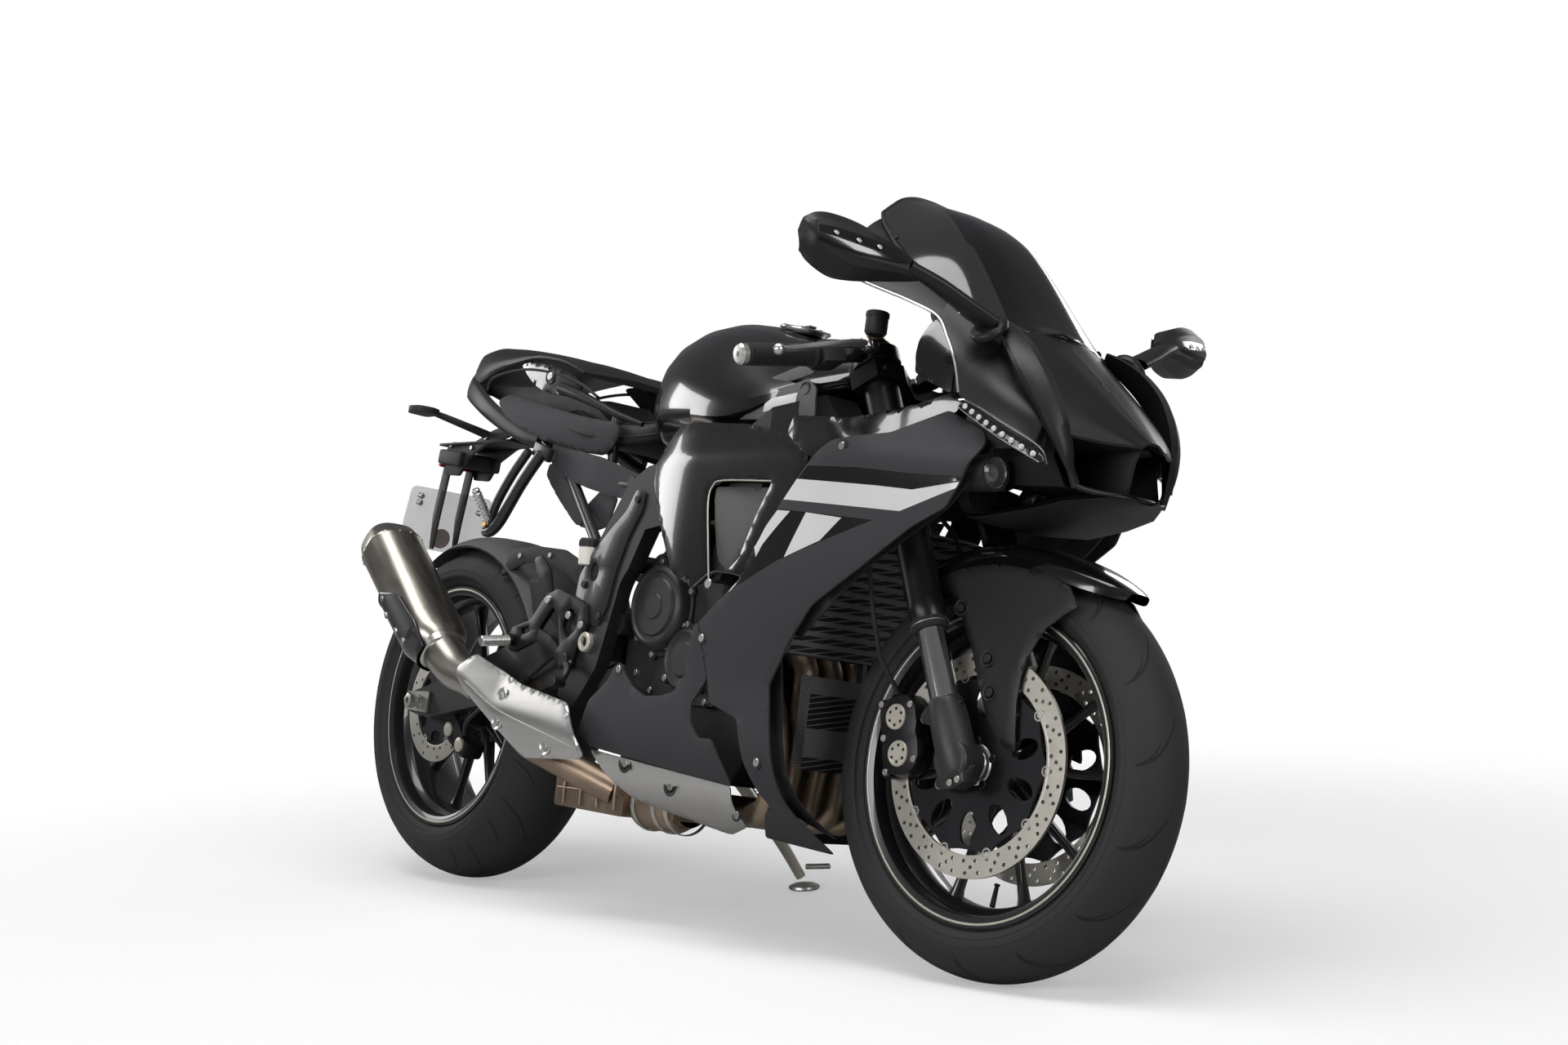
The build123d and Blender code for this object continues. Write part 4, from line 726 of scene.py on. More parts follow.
def rim(name, centre, rim_w, hub_r, hub_left, hub_right, well_r, body, thick):
    """Cast wheel: rounded barrel, five pairs of tapering spokes with scooped roots, and a hub."""
    half = rim_w / 2
    outline = [(-half, 226.4), (-half + 1.2, 228), (-half + 4.0, 228), (-half + 5.4, 226.5), (-half + 7, 216.6),
               (-half + 24, 215.2), (-half + 34, well_r + 6), (half - 34, well_r + 6), (half - 24, 215.2),
               (half - 7, 216.6), (half - 5.4, 226.5), (half - 4.0, 228), (half - 1.2, 228), (half, 226.4),
               (half - 0.4, 218), (half - 3.0, 211), (half - 9, 208.5), (half - 26, 207),
               (half - 33, well_r + 3), (half - 40, well_r), (-half + 40, well_r), (-half + 33, well_r + 3),
               (-half + 26, 207), (-half + 9, 208.5), (-half + 3.0, 211), (-half + 0.4, 218),]
    shape = lathe(outline, centre, ACROSS, 144)
    spokes = Shape()
    centre = Vector(centre)
    for pair in range(SPOKE_PAIRS):
        turn = 360 // SPOKE_PAIRS * pair
        for side in (-1, 1):
            spokes.join(spoke(centre, math.radians(turn + side * 9), math.radians(turn + side * 17),
                              hub_r - 6, well_r + 2, thick))
        web = [(-0.19, hub_r - 4), (-0.12, hub_r + 26), (0, hub_r + 33), (0.12, hub_r + 26), (0.19, hub_r - 4)]
        ring = [(r * math.sin(math.radians(turn) + a), r * math.cos(math.radians(turn) + a)) for a, r in web]
        spokes.join(slab(ring, -thick * 0.45, thick * 0.45).mapped(lambda point: point + centre))
    core = [(-hub_right, 0.1), (-hub_right, hub_r - 6), (-hub_right + 3, hub_r - 3),
            (-hub_right * 0.45, hub_r - 3), (-hub_right * 0.3, hub_r + 1), (hub_left * 0.3, hub_r + 1),
            (hub_left * 0.45, hub_r - 3), (hub_left - 3, hub_r - 3), (hub_left, hub_r - 6), (hub_left, 0.1)]
    hub = lathe(core, centre, ACROSS, 72, closed=False)
    piece(name, shape, WHEEL, body, replaces=name)
    piece(name + "_spokes", spokes, WHEEL, body, smooth=70)
    piece(name + "_hub", hub, WHEEL, body)
    # painted highlight: a cream ring on each flange's outer face stands in for the light along the flange's
    # edge
    lines = Shape()
    for side in (-1, 1):
        y = side * (half + 0.15)
        lines.join(lathe([(y - side * 0.3, 219.5), (y, 220), (y, 222.2), (y - side * 0.3, 222.8)], centre,
                         ACROSS, 144))
    piece(name + "_flange_highlight", lines, CREAM, body)
    weights = Shape()
    for side in (-1, 1):
        for angle in (0.5, 0.62, 3.9):
            where = centre + Vector((210.5 * math.sin(angle), side * (half - 12), 210.5 * math.cos(angle)))
            weights.join(block(where, (15, 10, 3), Matrix.Rotation(angle, 3, ACROSS), 1))
    piece(name + "_balance_weights", weights, STEEL, body)
    valve = centre + Vector((0, 6, -(well_r - 1)))
    stem = rod(valve, valve + Vector((0, 5, 30)), 4.2, 3.2,
               edge=1).join(rod(valve + Vector((0, 5, 30)), valve + Vector((0, 5.6, 34)), 4.4, edge=1))
    piece(name + "_valve", stem, RUBBER, body)


def spoke(centre, root, tip, low, high, thick):
    """Tapering spoke with a rounded section between a hub angle and a rim angle."""
    start = Vector((low * math.sin(root), 0, low * math.cos(root)))
    end = Vector((high * math.sin(tip), 0, high * math.cos(tip)))
    run = (end - start).normalized()
    across = Vector((run.z, 0, -run.x))
    rows = []
    for t, wide, deep in ((0, 11.5, 1.0), (0.12, 10, 0.95), (0.4, 7.0, 0.72), (0.75, 5.6, 0.66),
                          (0.93, 6.4, 0.85), (1, 9.0, 1.1)):
        here = centre + start.lerp(end, t)
        y = thick * deep
        ring = []
        for a in angles(12):
            cx, cy = math.cos(a), math.sin(a)
            ring.append(here + across * (wide * math.copysign(abs(cx) ** 0.75, cx))
                        + Vector((0, y * math.copysign(abs(cy) ** 0.6, cy), 0)))
        rows.append(ring)
    return sheet_grid(rows, close_row=True).capped(12)


def ring_points(radius, count, x=0.0, z=0.0):
    """Flat ring of points about (x, z)."""
    return [(x + radius * math.cos(a), z + radius * math.sin(a)) for a in angles(count)]


def disc(name, centre, outer, inner, y, thick, body, arms, hub_r, mark, bolt_r, rows=3, out=1):
    """Drilled brake disc on a dark carrier with floating bobbins and hub bolts."""
    centre = Vector(centre)
    holes = []
    per = 20 if outer > 130 else 12
    for k in range(per):
        for row in range(rows):
            r = inner + (outer - inner) * (0.24 + 0.52 * row / max(rows - 1, 1))
            a = 2 * math.pi * (k + 0.30 * row) / per
            holes.append(ring_points(3.0, 8, r * math.cos(a), r * math.sin(a)))
            b = a + math.pi / per
            if row % 2 == 0:
                holes.append(ring_points(3.0, 8, r * math.cos(b), r * math.sin(b)))
    inner_ring = ring_points(inner, 96)
    ring = slab(ring_points(outer, 144), y - thick / 2, y + thick / 2, holes=[inner_ring] + holes)
    ring.mapped(lambda point: point + centre)
    track = lathe([(y + out * (thick / 2 + 0.05), inner + 2), (y + out * (thick / 2 + 0.25), inner + 3),
                   (y + out * (thick / 2 + 0.05), inner + 4)], centre, ACROSS, 120)
    piece(name + "_ring" + mark, ring.join(track), DISC, body, smooth=30)
    windows = []
    for k in range(arms):
        a = 2 * math.pi * (k + 0.5) / arms
        mid = (hub_r + inner) / 2 + 3
        tall, wide = (inner - hub_r) * 0.30, math.pi * mid / arms * 0.52
        cos, sin = math.cos(a), math.sin(a)
        windows.append([((mid + tall * u) * cos - wide * v * sin, (mid + tall * u) * sin + wide * v * cos)
                        for u, v in ring_points(1, 14)])
    bore = ring_points(max(hub_r * 0.48, 16), 40)
    lobes = []
    for a in angles(arms * 12):
        swell = 0.5 + 0.5 * math.cos(a * arms)
        r = inner - 8 + 7.0 * swell ** 2
        lobes.append((r * math.cos(a), r * math.sin(a)))
    plate = slab(lobes, y - 2.2, y + 2.2, holes=[bore] + windows)
    plate.mapped(lambda point: point + centre)
    piece(name + "_carrier" + mark, plate, ANODISED, body, smooth=30)
    buttons, bolts = Shape(), Shape()
    profile = [(-2.4, 8.2), (1.9, 8.2), (2.6, 7.4), (2.6, 5.4), (1.7, 5.0), (1.7, 3.2), (2.3, 2.8), (2.3, 0.1)]
    for a in angles(arms):
        at = centre + Vector((inner * math.cos(a), y, inner * math.sin(a)))
        buttons.join(lathe(profile, at, (0, out, 0), 20, closed=False))
    for a in angles(5, 0.3):
        at = centre + Vector((bolt_r * math.cos(a), y + out * 2.2, bolt_r * math.sin(a)))
        bolts.join(bolt(at, (0, out, 0), 6.2, 3.4))
    piece(name + "_bobbins" + mark, buttons, STEEL, body)
    piece(name + "_bolts" + mark, bolts, DARK_BOLTS, body)


def front_wheel():
    """Front tyre, rim, both discs and the hub's seals."""
    tyre("front_tyre", FRONT_AXLE, FRONT_R, 120, 62, 106, "front_wheel", 1)
    rim("front_rim", FRONT_AXLE, 106, 34, 62, 62, 196, "front_wheel", 12)
    disc("front_disc", FRONT_AXLE, 159.6, 127, -65, 4.8, "front_wheel", 10, 46, "_right", 33, out=-1)
    disc("front_disc", FRONT_AXLE, 159.6, 127, 65, 4.8, "front_wheel", 10, 46, "_left", 33, out=1)
    spindle = Shape()
    for side in (-1, 1):
        spindle.join(lathe([(side * 58, 12.8), (side * 58, 30), (side * 68, 30), (side * 70, 27),
                            (side * 70, 22), (side * 78, 20), (side * 78, 12.8)], FRONT_AXLE, ACROSS, 40))
    piece("front_hub_seals", spindle, ALLOY, "front_wheel")
    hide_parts("front_discs")


def rear_wheel():
    """Rear tyre, rim, disc and sprocket with its nuts."""
    tyre("rear_tyre", REAR_AXLE, REAR_R, 190, 105, 168, "rear_wheel", -1)
    rim("rear_rim", REAR_AXLE, 168, 42, 105, 97, 196, "rear_wheel", 14)
    disc("rear_disc", REAR_AXLE, 109.6, 78, -100, 4.8, "rear_wheel", 6, 40, "_right", 31, rows=2, out=-1)
    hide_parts("rear_disc")
    pitch_r = CHAIN_PITCH / (2 * math.sin(math.pi / REAR_TEETH))
    teeth = []
    for tooth in range(REAR_TEETH):
        for step, reach in ((-0.40, -4.4), (-0.22, -2.0), (-0.10, 3.6), (0.0, 4.4), (0.10, 3.6), (0.22, -2.0)):
            a = 2 * math.pi * (tooth + step) / REAR_TEETH
            teeth.append(((pitch_r + reach) * math.cos(a), (pitch_r + reach) * math.sin(a)))
    holes = [ring_points(16, 24, *spot) for spot in ring_points(72, 5)]
    sprocket = slab(teeth, CHAIN_Y - 3, CHAIN_Y + 3, holes=[ring_points(30, 40)] + holes)
    sprocket.mapped(lambda point: point + REAR_AXLE)
    piece("rear_sprocket", sprocket, DARK_STEEL, "rear_wheel", replaces="rear_sprocket", smooth=30)
    nuts = Shape()
    for k in range(5):
        a = 2 * math.pi * (k + 0.5) / 5
        nuts.join(bolt(REAR_AXLE + Vector((50 * math.cos(a), CHAIN_Y + 3, 50 * math.sin(a))), ACROSS, 7.5, 6))
    piece("sprocket_nuts", nuts, BOLTS, "rear_wheel")


front_wheel()
rear_wheel()


# --- front end ------------------------------------------------------------------------------
UP_FORK = head_point(0, 0, 1) - head_point(0, 0, 0)
AHEAD_FORK = head_point(1, 0, 0) - head_point(0, 0, 0)
HALF_FORK = 105.0
CLAMP_S = 645.0


def fork_lathe(outline, y, count=48):
    """Turned part about a fork leg; its outline runs up from the axle's level."""
    return lathe(outline, head_point(FORK_OFFSET, y, 0), UP_FORK, count, closed=False)


def fork_slab(outline, low, high):
    """Flat part of a fork leg, drawn in the steering frame."""
    return slab(outline, low, high).mapped(lambda point: head_point(*point))


def fork():
    """Fork tubes, seals and feet, and the ends of the front axle with their nuts."""
    tubes, inner, seals, bottoms, caps, clips, bolts, axle, hexes = (Shape() for _ in range(9))
    for side in (-1, 1):
        y = side * HALF_FORK
        tubes.join(fork_lathe([(209, 22), (209, 25.5), (211, 27), (238, 27), (241, 26.4), (430, 26.4),
                               (434, 27), (668, 27), (668, 20)], y))
        caps.join(fork_lathe([(660, 20), (668, 20), (672, 23), (676, 22), (676, 15), (682, 14), (682, 0.1)], y))
        inner.join(fork_lathe([(80, 21.5), (212, 21.5)], y, count=64))
        seals.join(fork_lathe([(199, 21.8), (198, 24), (203, 27.6), (209, 28.2), (213, 27.6), (213, 22)], y))
        clips.join(fork_lathe([(205.0, 27.2), (205.8, 28.8), (206.8, 28.8), (207.6, 27.2)], y))
        bottoms.join(fork_lathe([(-30, 0.1), (-30, 16), (-26, 22), (-16, 26.5), (20, 29), (56, 28.5),
                                 (80, 26.5), (90, 25), (93, 22), (93, 21)], y))
        eye = [(-25, 12.6), (-25, 27), (-22, 30), (16, 30), (20, 27), (20, 12.6)]
        bottoms.join(lathe([(side * a, r) for a, r in eye], head_point(FORK_OFFSET, y, 0), ACROSS, 48))
        for reach, low, high in ((-52, 72, 98), (-50, -26, -2)):
            arm = [(FORK_OFFSET - 10, low - 6), (FORK_OFFSET - 10, high + 8), (FORK_OFFSET + reach + 6, high),
                   (FORK_OFFSET + reach - 4, high - 8), (FORK_OFFSET + reach - 4, low + 8),
                   (FORK_OFFSET + reach + 6, low)]
            bottoms.join(fork_slab(arm, y - side * 24, y - side * 8))
            bolts.join(bolt(head_point(FORK_OFFSET + reach - 2, y - side * 16, (low + high) / 2),
                            -AHEAD_FORK, 6.5, 5))
        pinch = [(FORK_OFFSET - 8, -40), (FORK_OFFSET + 16, -38), (FORK_OFFSET + 20, -18),
                 (FORK_OFFSET - 8, -16)]
        bottoms.join(fork_slab(pinch, y - side * 12, y + side * 18))
        for at in (-6, 8):
            bolts.join(bolt(head_point(FORK_OFFSET + at, y + side * 18, -32), (0, side, 0), 5, 4))
        for s in (-18, 78):
            rib = [(FORK_OFFSET + 18, s - 4), (FORK_OFFSET + 31, s), (FORK_OFFSET + 18, s + 6)]
            bottoms.join(fork_slab(rib, y - 4, y + 4))
    piece("fork_upper_tubes", tubes, ANODISED, "steering", replaces="fork_outer_tubes")
    piece("fork_caps", caps, GOLD, "steering", smooth=20)
    piece("fork_stanchions", inner, CHROME, "steering", replaces="fork_inner_tubes")
    piece("fork_dust_seals", seals, RUBBER, "steering")
    piece("fork_seal_clips", clips, STEEL, "steering")
    piece("fork_feet", bottoms, DARK_CAST, "steering", replaces="fork_bottoms", bevel=1.6)
    piece("fork_bolts", bolts, BOLTS, "steering")
    for side in (-1, 1):
        at = head_point(FORK_OFFSET, side * (HALF_FORK + 12), 0)
        axle.join(lathe([(0, 7.2), (0, 12.4), (side * 8, 12.4), (side * 9, 11.2), (side * 9, 7.2)], at,
                        ACROSS, 40))
        at = head_point(FORK_OFFSET, side * (HALF_FORK + 14), 0)
        hexes.join(lathe([(0, 7.2), (0, 17.5), (side * 2.6, 18.5), (side * 5, 17.5), (side * 5, 7.2)],
                         at, ACROSS, 6))
        hexes.join(lathe([(side * -1, 12), (side * -1, 21), (side * 1.4, 21), (side * 1.4, 12)], at,
                         ACROSS, 40))
    piece("front_axle_ends", axle, STEEL, "steering")
    piece("front_axle_nuts", hexes, GOLD, "steering", smooth=20)


def caliper_point(side, x, y, z):
    """Point in a front caliper's own frame."""
    turn = Matrix.Rotation(math.radians(-14), 3, ACROSS)
    return FRONT_AXLE + Vector((-126, side * 65, 30)) + turn @ Vector((x, side * y, z))


def calipers():
    """Four-piston front calipers in two halves, with their caps and bolts."""
    for side, label in SIDES:
        body, caps, bolts, pads = Shape(), Shape(), Shape(), Shape()
        for low, high in ((6.6, 31), (-31, -6.6)):
            outline = rounded([(-35, -52), (-12, -60), (18, -60), (35, -44), (37, -12), (33, 0), (37, 12),
                               (35, 44), (18, 60), (-12, 60), (-35, 52), (-37, 20), (-33, 0), (-37, -20)], 9)
            half = slab(outline, low, high)
            for i, point in enumerate(half.points):
                if abs(point.y) > 25:
                    half.points[i] = Vector((point.x * 0.93, point.y, point.z * 0.955))
            body.join(half)
        for z in (-50, 0, 50):
            body.join(block((-30, 0, z), (13, 60, 15), edge=3))
        body.mapped(lambda point: caliper_point(side, *point))
        if side < 0:
            body.flipped()
        out = (caliper_point(side, 0, 1, 0) - caliper_point(side, 0, 0, 0)).normalized()
        for z in (-27, 27):
            at = caliper_point(side, -3, 30, z)
            caps.join(lathe([(-2, 19), (2.4, 19), (3.8, 17.8), (3.8, 15), (3.0, 14.2), (3.0, 10), (3.8, 9.4),
                             (3.8, 0.1)], at, out, 40, closed=False))
            # painted shade: six shadow-black discs on each cap stand in for the shade in its holes
            for a in angles(6, 0.3):
                pin = caliper_point(side, -3 + 12 * math.cos(a), 33.0, z + 12 * math.sin(a))
                pads.join(lathe([(-1.6, 2.4), (0.25, 2.4), (0.25, 0.1)], pin, out, 12, closed=False))
        for x, z in ((-29, -50), (-29, 50), (26, -40), (26, 40), (-29, 0)):
            bolts.join(bolt(caliper_point(side, x, 30, z), out, 5, 4))
        piece("front_caliper_" + label, body, ANODISED, "steering", bevel=2.2)
        piece("caliper_caps_" + label, caps, CREAM, "steering")
        piece("caliper_cap_hole_shades_" + label, pads, SHADE_BLACK, "steering")
        piece("caliper_bolts_" + label, bolts, BOLTS, "steering")
    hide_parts("front_calipers")


def fender():
    """Front fender: crown over the tyre, with cheeks that run down the fork legs."""
    r = FRONT_R
    section = [(0, r + 21.5), (20, r + 21), (38, r + 19.5), (54, r + 16), (65, r + 10.5), (71.5, r + 2),
               (75, r - 8), (76.5, r - 16)]
    rows = []
    for t in span(0, 1, 30):
        angle = math.radians(126 - 74.5 * t)
        taper = 1.0 if t < 0.62 else math.sqrt(max(0.0, 1 - ((t - 0.62) / 0.40) ** 2))
        lift = 3.5 * max(0.0, t - 0.7) ** 2 * 20
        row = []
        for y, radius in [(-a, b) for a, b in section[::-1]] + section[1:]:
            out = radius + lift if taper > 0.99 else r + 21.5 + lift - (r + 21.5 - radius) * taper
            row.append(FRONT_AXLE + Vector((out * math.cos(angle), y * taper, out * math.sin(angle))))
        rows.append(row)
    top = sheet_grid(rows)
    top.join(top.copy().mapped(lambda point: FRONT_AXLE + (point - FRONT_AXLE) * 0.991))
    cheek = [(1262, 548), (1300, 550), (1331, 540), (1354, 503), (1381, 457), (1405, 400), (1428, 355),
             (1451, 330), (1480, 322), (1476, 352), (1472, 391), (1474, 425), (1484, 458), (1507, 494),
             (1540, 516), (1561, 527)]
    cheek += [(WHEELBASE + 289 * math.cos(math.radians(a)), 300 + 289 * math.sin(math.radians(a)))
              for a in (62, 72, 82, 92, 102, 112)]
    wings = Shape()
    for side in (-1, 1):
        wings.join(panel(cheek, lambda x, z: side * (76.6 - 0.9 * max(0.0,
            (math.hypot(x - 1405, z - 300) - 282) / 7)), 2.6, step=13, corner=4))
    piece("front_fender_crown", top, GLOSS, "steering", replaces="front_fender", smooth=50)
    piece("front_fender_cheeks", wings, SATIN, "steering", smooth=60)
    bolts, dishes = Shape(), Shape()
    for side in (-1, 1):
        for x, z in ((1413, 449), (1424, 401), (1352, 520)):
            at = Vector((x, side * 77.0, z))
            dishes.join(lathe([(side * -0.5, 13), (side * 2.6, 12), (side * 2.2, 9.5), (side * 0.4, 8)], at,
                              ACROSS, 32))
            bolts.join(bolt(at, (0, side, 0), 7, 4.2))
    piece("fender_washers", dishes, BLACK, "steering")
    piece("fender_bolts", bolts, DARK_BOLTS, "steering")


def controls():
    """Clip-ons, grips, switch boxes, levers, master cylinder with its cup, and bar ends."""
    bars, grips, ends, boxes, levers, metal, cups, bolts = (Shape() for _ in range(8))
    for side in (-1, 1):
        start = head_point(FORK_OFFSET + 4, side * 136, CLAMP_S)
        end = head_point(-23, side * 336, 620)
        run = (end - start).normalized()
        ring = lathe([(632, 27.2), (632, 35), (634, 37), (656, 37), (658, 35), (658, 27.2)],
                     head_point(FORK_OFFSET, side * HALF_FORK, 0), UP_FORK, 48)
        ear = block(head_point(FORK_OFFSET - 38, side * HALF_FORK, CLAMP_S), (20, 20, 22),
                    Matrix.Rotation(-RAKE, 3, ACROSS), 2)
        bars.join(ring).join(ear).join(rod(start - run * 4, end, 11, count=28))
        bolts.join(bolt(head_point(FORK_OFFSET - 38, side * 115, CLAMP_S), (0, side, 0), 4.5, 4))
        grip_in = end - run * 118
        outline = [(0, 11.2), (0, 19.5), (3, 20.5), (6, 19.5), (7, 16.6)]
        for k in range(15):
            base = 8 + k * 6.9
            outline += [(base, 15.8), (base + 0.8, 17.2), (base + 4.6, 17.2), (base + 5.4, 15.8)]
        outline += [(113, 16.8), (116, 17.4), (118, 16.4), (118, 11.2)]
        grips.join(lathe(outline, grip_in, run, 40))
        ends.join(lathe([(0.2, 0.1), (0.2, 14.5), (2, 16), (10, 16), (13.6, 13), (14, 4), (11, 3.5), (11, 0.1)],
                        end, run, 32, closed=False))
        ahead, top = AHEAD_FORK.normalized(), UP_FORK.normalized()
        basis = Matrix((run, ahead, run.cross(ahead))).transposed()
        boxes.join(block(grip_in - run * 22, (40, 38, 40), basis, 7))
        boxes.join(block(grip_in - run * 24 - ahead * 12 + top * 8, (26, 16, 20), basis, 4))
        perch = grip_in - run * 52
        boxes.join(block(perch + ahead * 12, (24, 38, 24), basis, 5))
        ball = head_point(40, side * 334, 596)
        pivot = head_point(74, side * 176, 632)
        mid = pivot.lerp(ball, 0.4) + ahead * 6
        path = [pivot, pivot.lerp(ball, 0.15) + ahead * 4, mid, pivot.lerp(ball, 0.75) + ahead * 1, ball]
        levers.join(tube(path, 6.4, 12, 6, scale=lambda t: 1.2 - 0.5 * t))
        levers.join(lathe([(-9, 0.1), (-7.8, 4.5), (-4.5, 7.8), (0, 9), (4.5, 7.8), (7.8, 4.5), (9, 0.1)], ball,
                          run, 24, closed=False))
        levers.join(rod(pivot - top * 9, pivot + top * 9, 9, edge=1))
        metal.join(rod(pivot - top * 10, pivot + top * 11.5, 4, edge=0.6))
        if side < 0:
            barrel = perch + ahead * 30
            boxes.join(rod(barrel - run * 34, barrel + run * 12, 11, edge=2))
            cup = perch + ahead * 36 + Vector((0, 0, 34)) - run * 26
            cups.join(lathe([(-20, 0.1), (-20, 14), (-16, 17), (8, 17)], cup, UP, 32, closed=False))
            boxes.join(lathe([(8, 18), (14, 18), (16, 16), (16, 0.1)], cup, UP, 32, closed=False))
    piece("clip_on_bars", bars, ANODISED, "steering", replaces="handlebars")
    piece("hand_grips", grips, RUBBER, "steering", replaces="grips", smooth=30)
    piece("bar_ends", ends, ALLOY, "steering")
    piece("switch_boxes", boxes, BLACK, "steering")
    piece("hand_levers", levers, ALLOY, "steering", replaces="levers", smooth=60)
    piece("lever_pivots", metal, STEEL, "steering")
    piece("brake_cup", cups, BLACK, "steering")
    piece("bar_bolts", bolts, DARK_BOLTS, "steering")


def clamp_details():
    """Stem nut, ignition switch and pinch bolts on the fork clamps."""
    nut, bolts = Shape(), Shape()
    at = head_point(0, 0, 0)
    nut.join(lathe([(636, 8), (636, 21), (646, 21), (648, 19), (648, 8)], at, UP_FORK, 6))
    nut.join(lathe([(634, 8), (634, 24), (637, 24), (637, 8)], at, UP_FORK, 40))
    switch = lathe([(626, 0.1), (626, 19), (642, 19), (645, 16), (645, 7), (641, 6), (641, 0.1)],
                   head_point(40, 0, 0), UP_FORK, 40, closed=False)
    for side in (-1, 1):
        for s in (446, 612):
            bolts.join(bolt(head_point(FORK_OFFSET + 30, side * 126, s), AHEAD_FORK, 5, 5))
    piece("stem_nut", nut, STEEL, "steering", smooth=20)
    piece("ignition_switch", switch, BLACK, "steering")
    piece("clamp_bolts", bolts, DARK_BOLTS, "steering")


fork()
calipers()
fender()
controls()
clamp_details()


# --- side fairing ---------------------------------------------------------------------------
COWL_LEVELS = (140, 230, 400, 560, 700, 830)
COWL_WIDTHS = [
    # x, then the half-width at each height of COWL_LEVELS
    (540, (62, 178, 200, 214, 210, 190)),
    (850, (62, 186, 212, 224, 218, 200)),
    (1120, (62, 180, 206, 226, 220, 205)),
    (1500, (40, 110, 146, 162, 164, 152)),
]


def smooth_between(value, stops):
    """Smooth curve through (place, height) pairs."""
    if value <= stops[0][0]:
        return stops[0][1]
    for i in range(len(stops) - 1):
        a, b = stops[i], stops[i + 1]
        if value <= b[0]:
            before = stops[i - 1] if i else (2 * a[0] - b[0], 2 * a[1] - b[1])
            after = stops[i + 2] if i + 2 < len(stops) else (2 * b[0] - a[0], 2 * b[1] - a[1])
            t = (value - a[0]) / (b[0] - a[0])
            m1 = (b[1] - before[1]) / (b[0] - before[0]) * (b[0] - a[0])
            m2 = (after[1] - a[1]) / (after[0] - a[0]) * (b[0] - a[0])
            return (a[1] * (2 * t ** 3 - 3 * t * t + 1) + m1 * (t ** 3 - 2 * t * t + t)
                    + b[1] * (3 * t * t - 2 * t ** 3) + m2 * (t ** 3 - t * t))
    return stops[-1][1]


def cowl_width(x, z):
    """Half-width of the side fairing, with the crease under its upper facet."""
    across = [(at, smooth_between(z, list(zip(COWL_LEVELS, widths)))) for at, widths in COWL_WIDTHS]
    width = smooth_between(x, across)
    crease = 742 - 0.09 * (x - 1190)
    if x > 1150:
        fade = min(1.0, (x - 1150) / 60)
        width += fade * 5.0 * math.exp(-((z - crease + 10) / 14) ** 2)
        if z > crease:
            width -= fade * 0.34 * (z - crease)
    return width


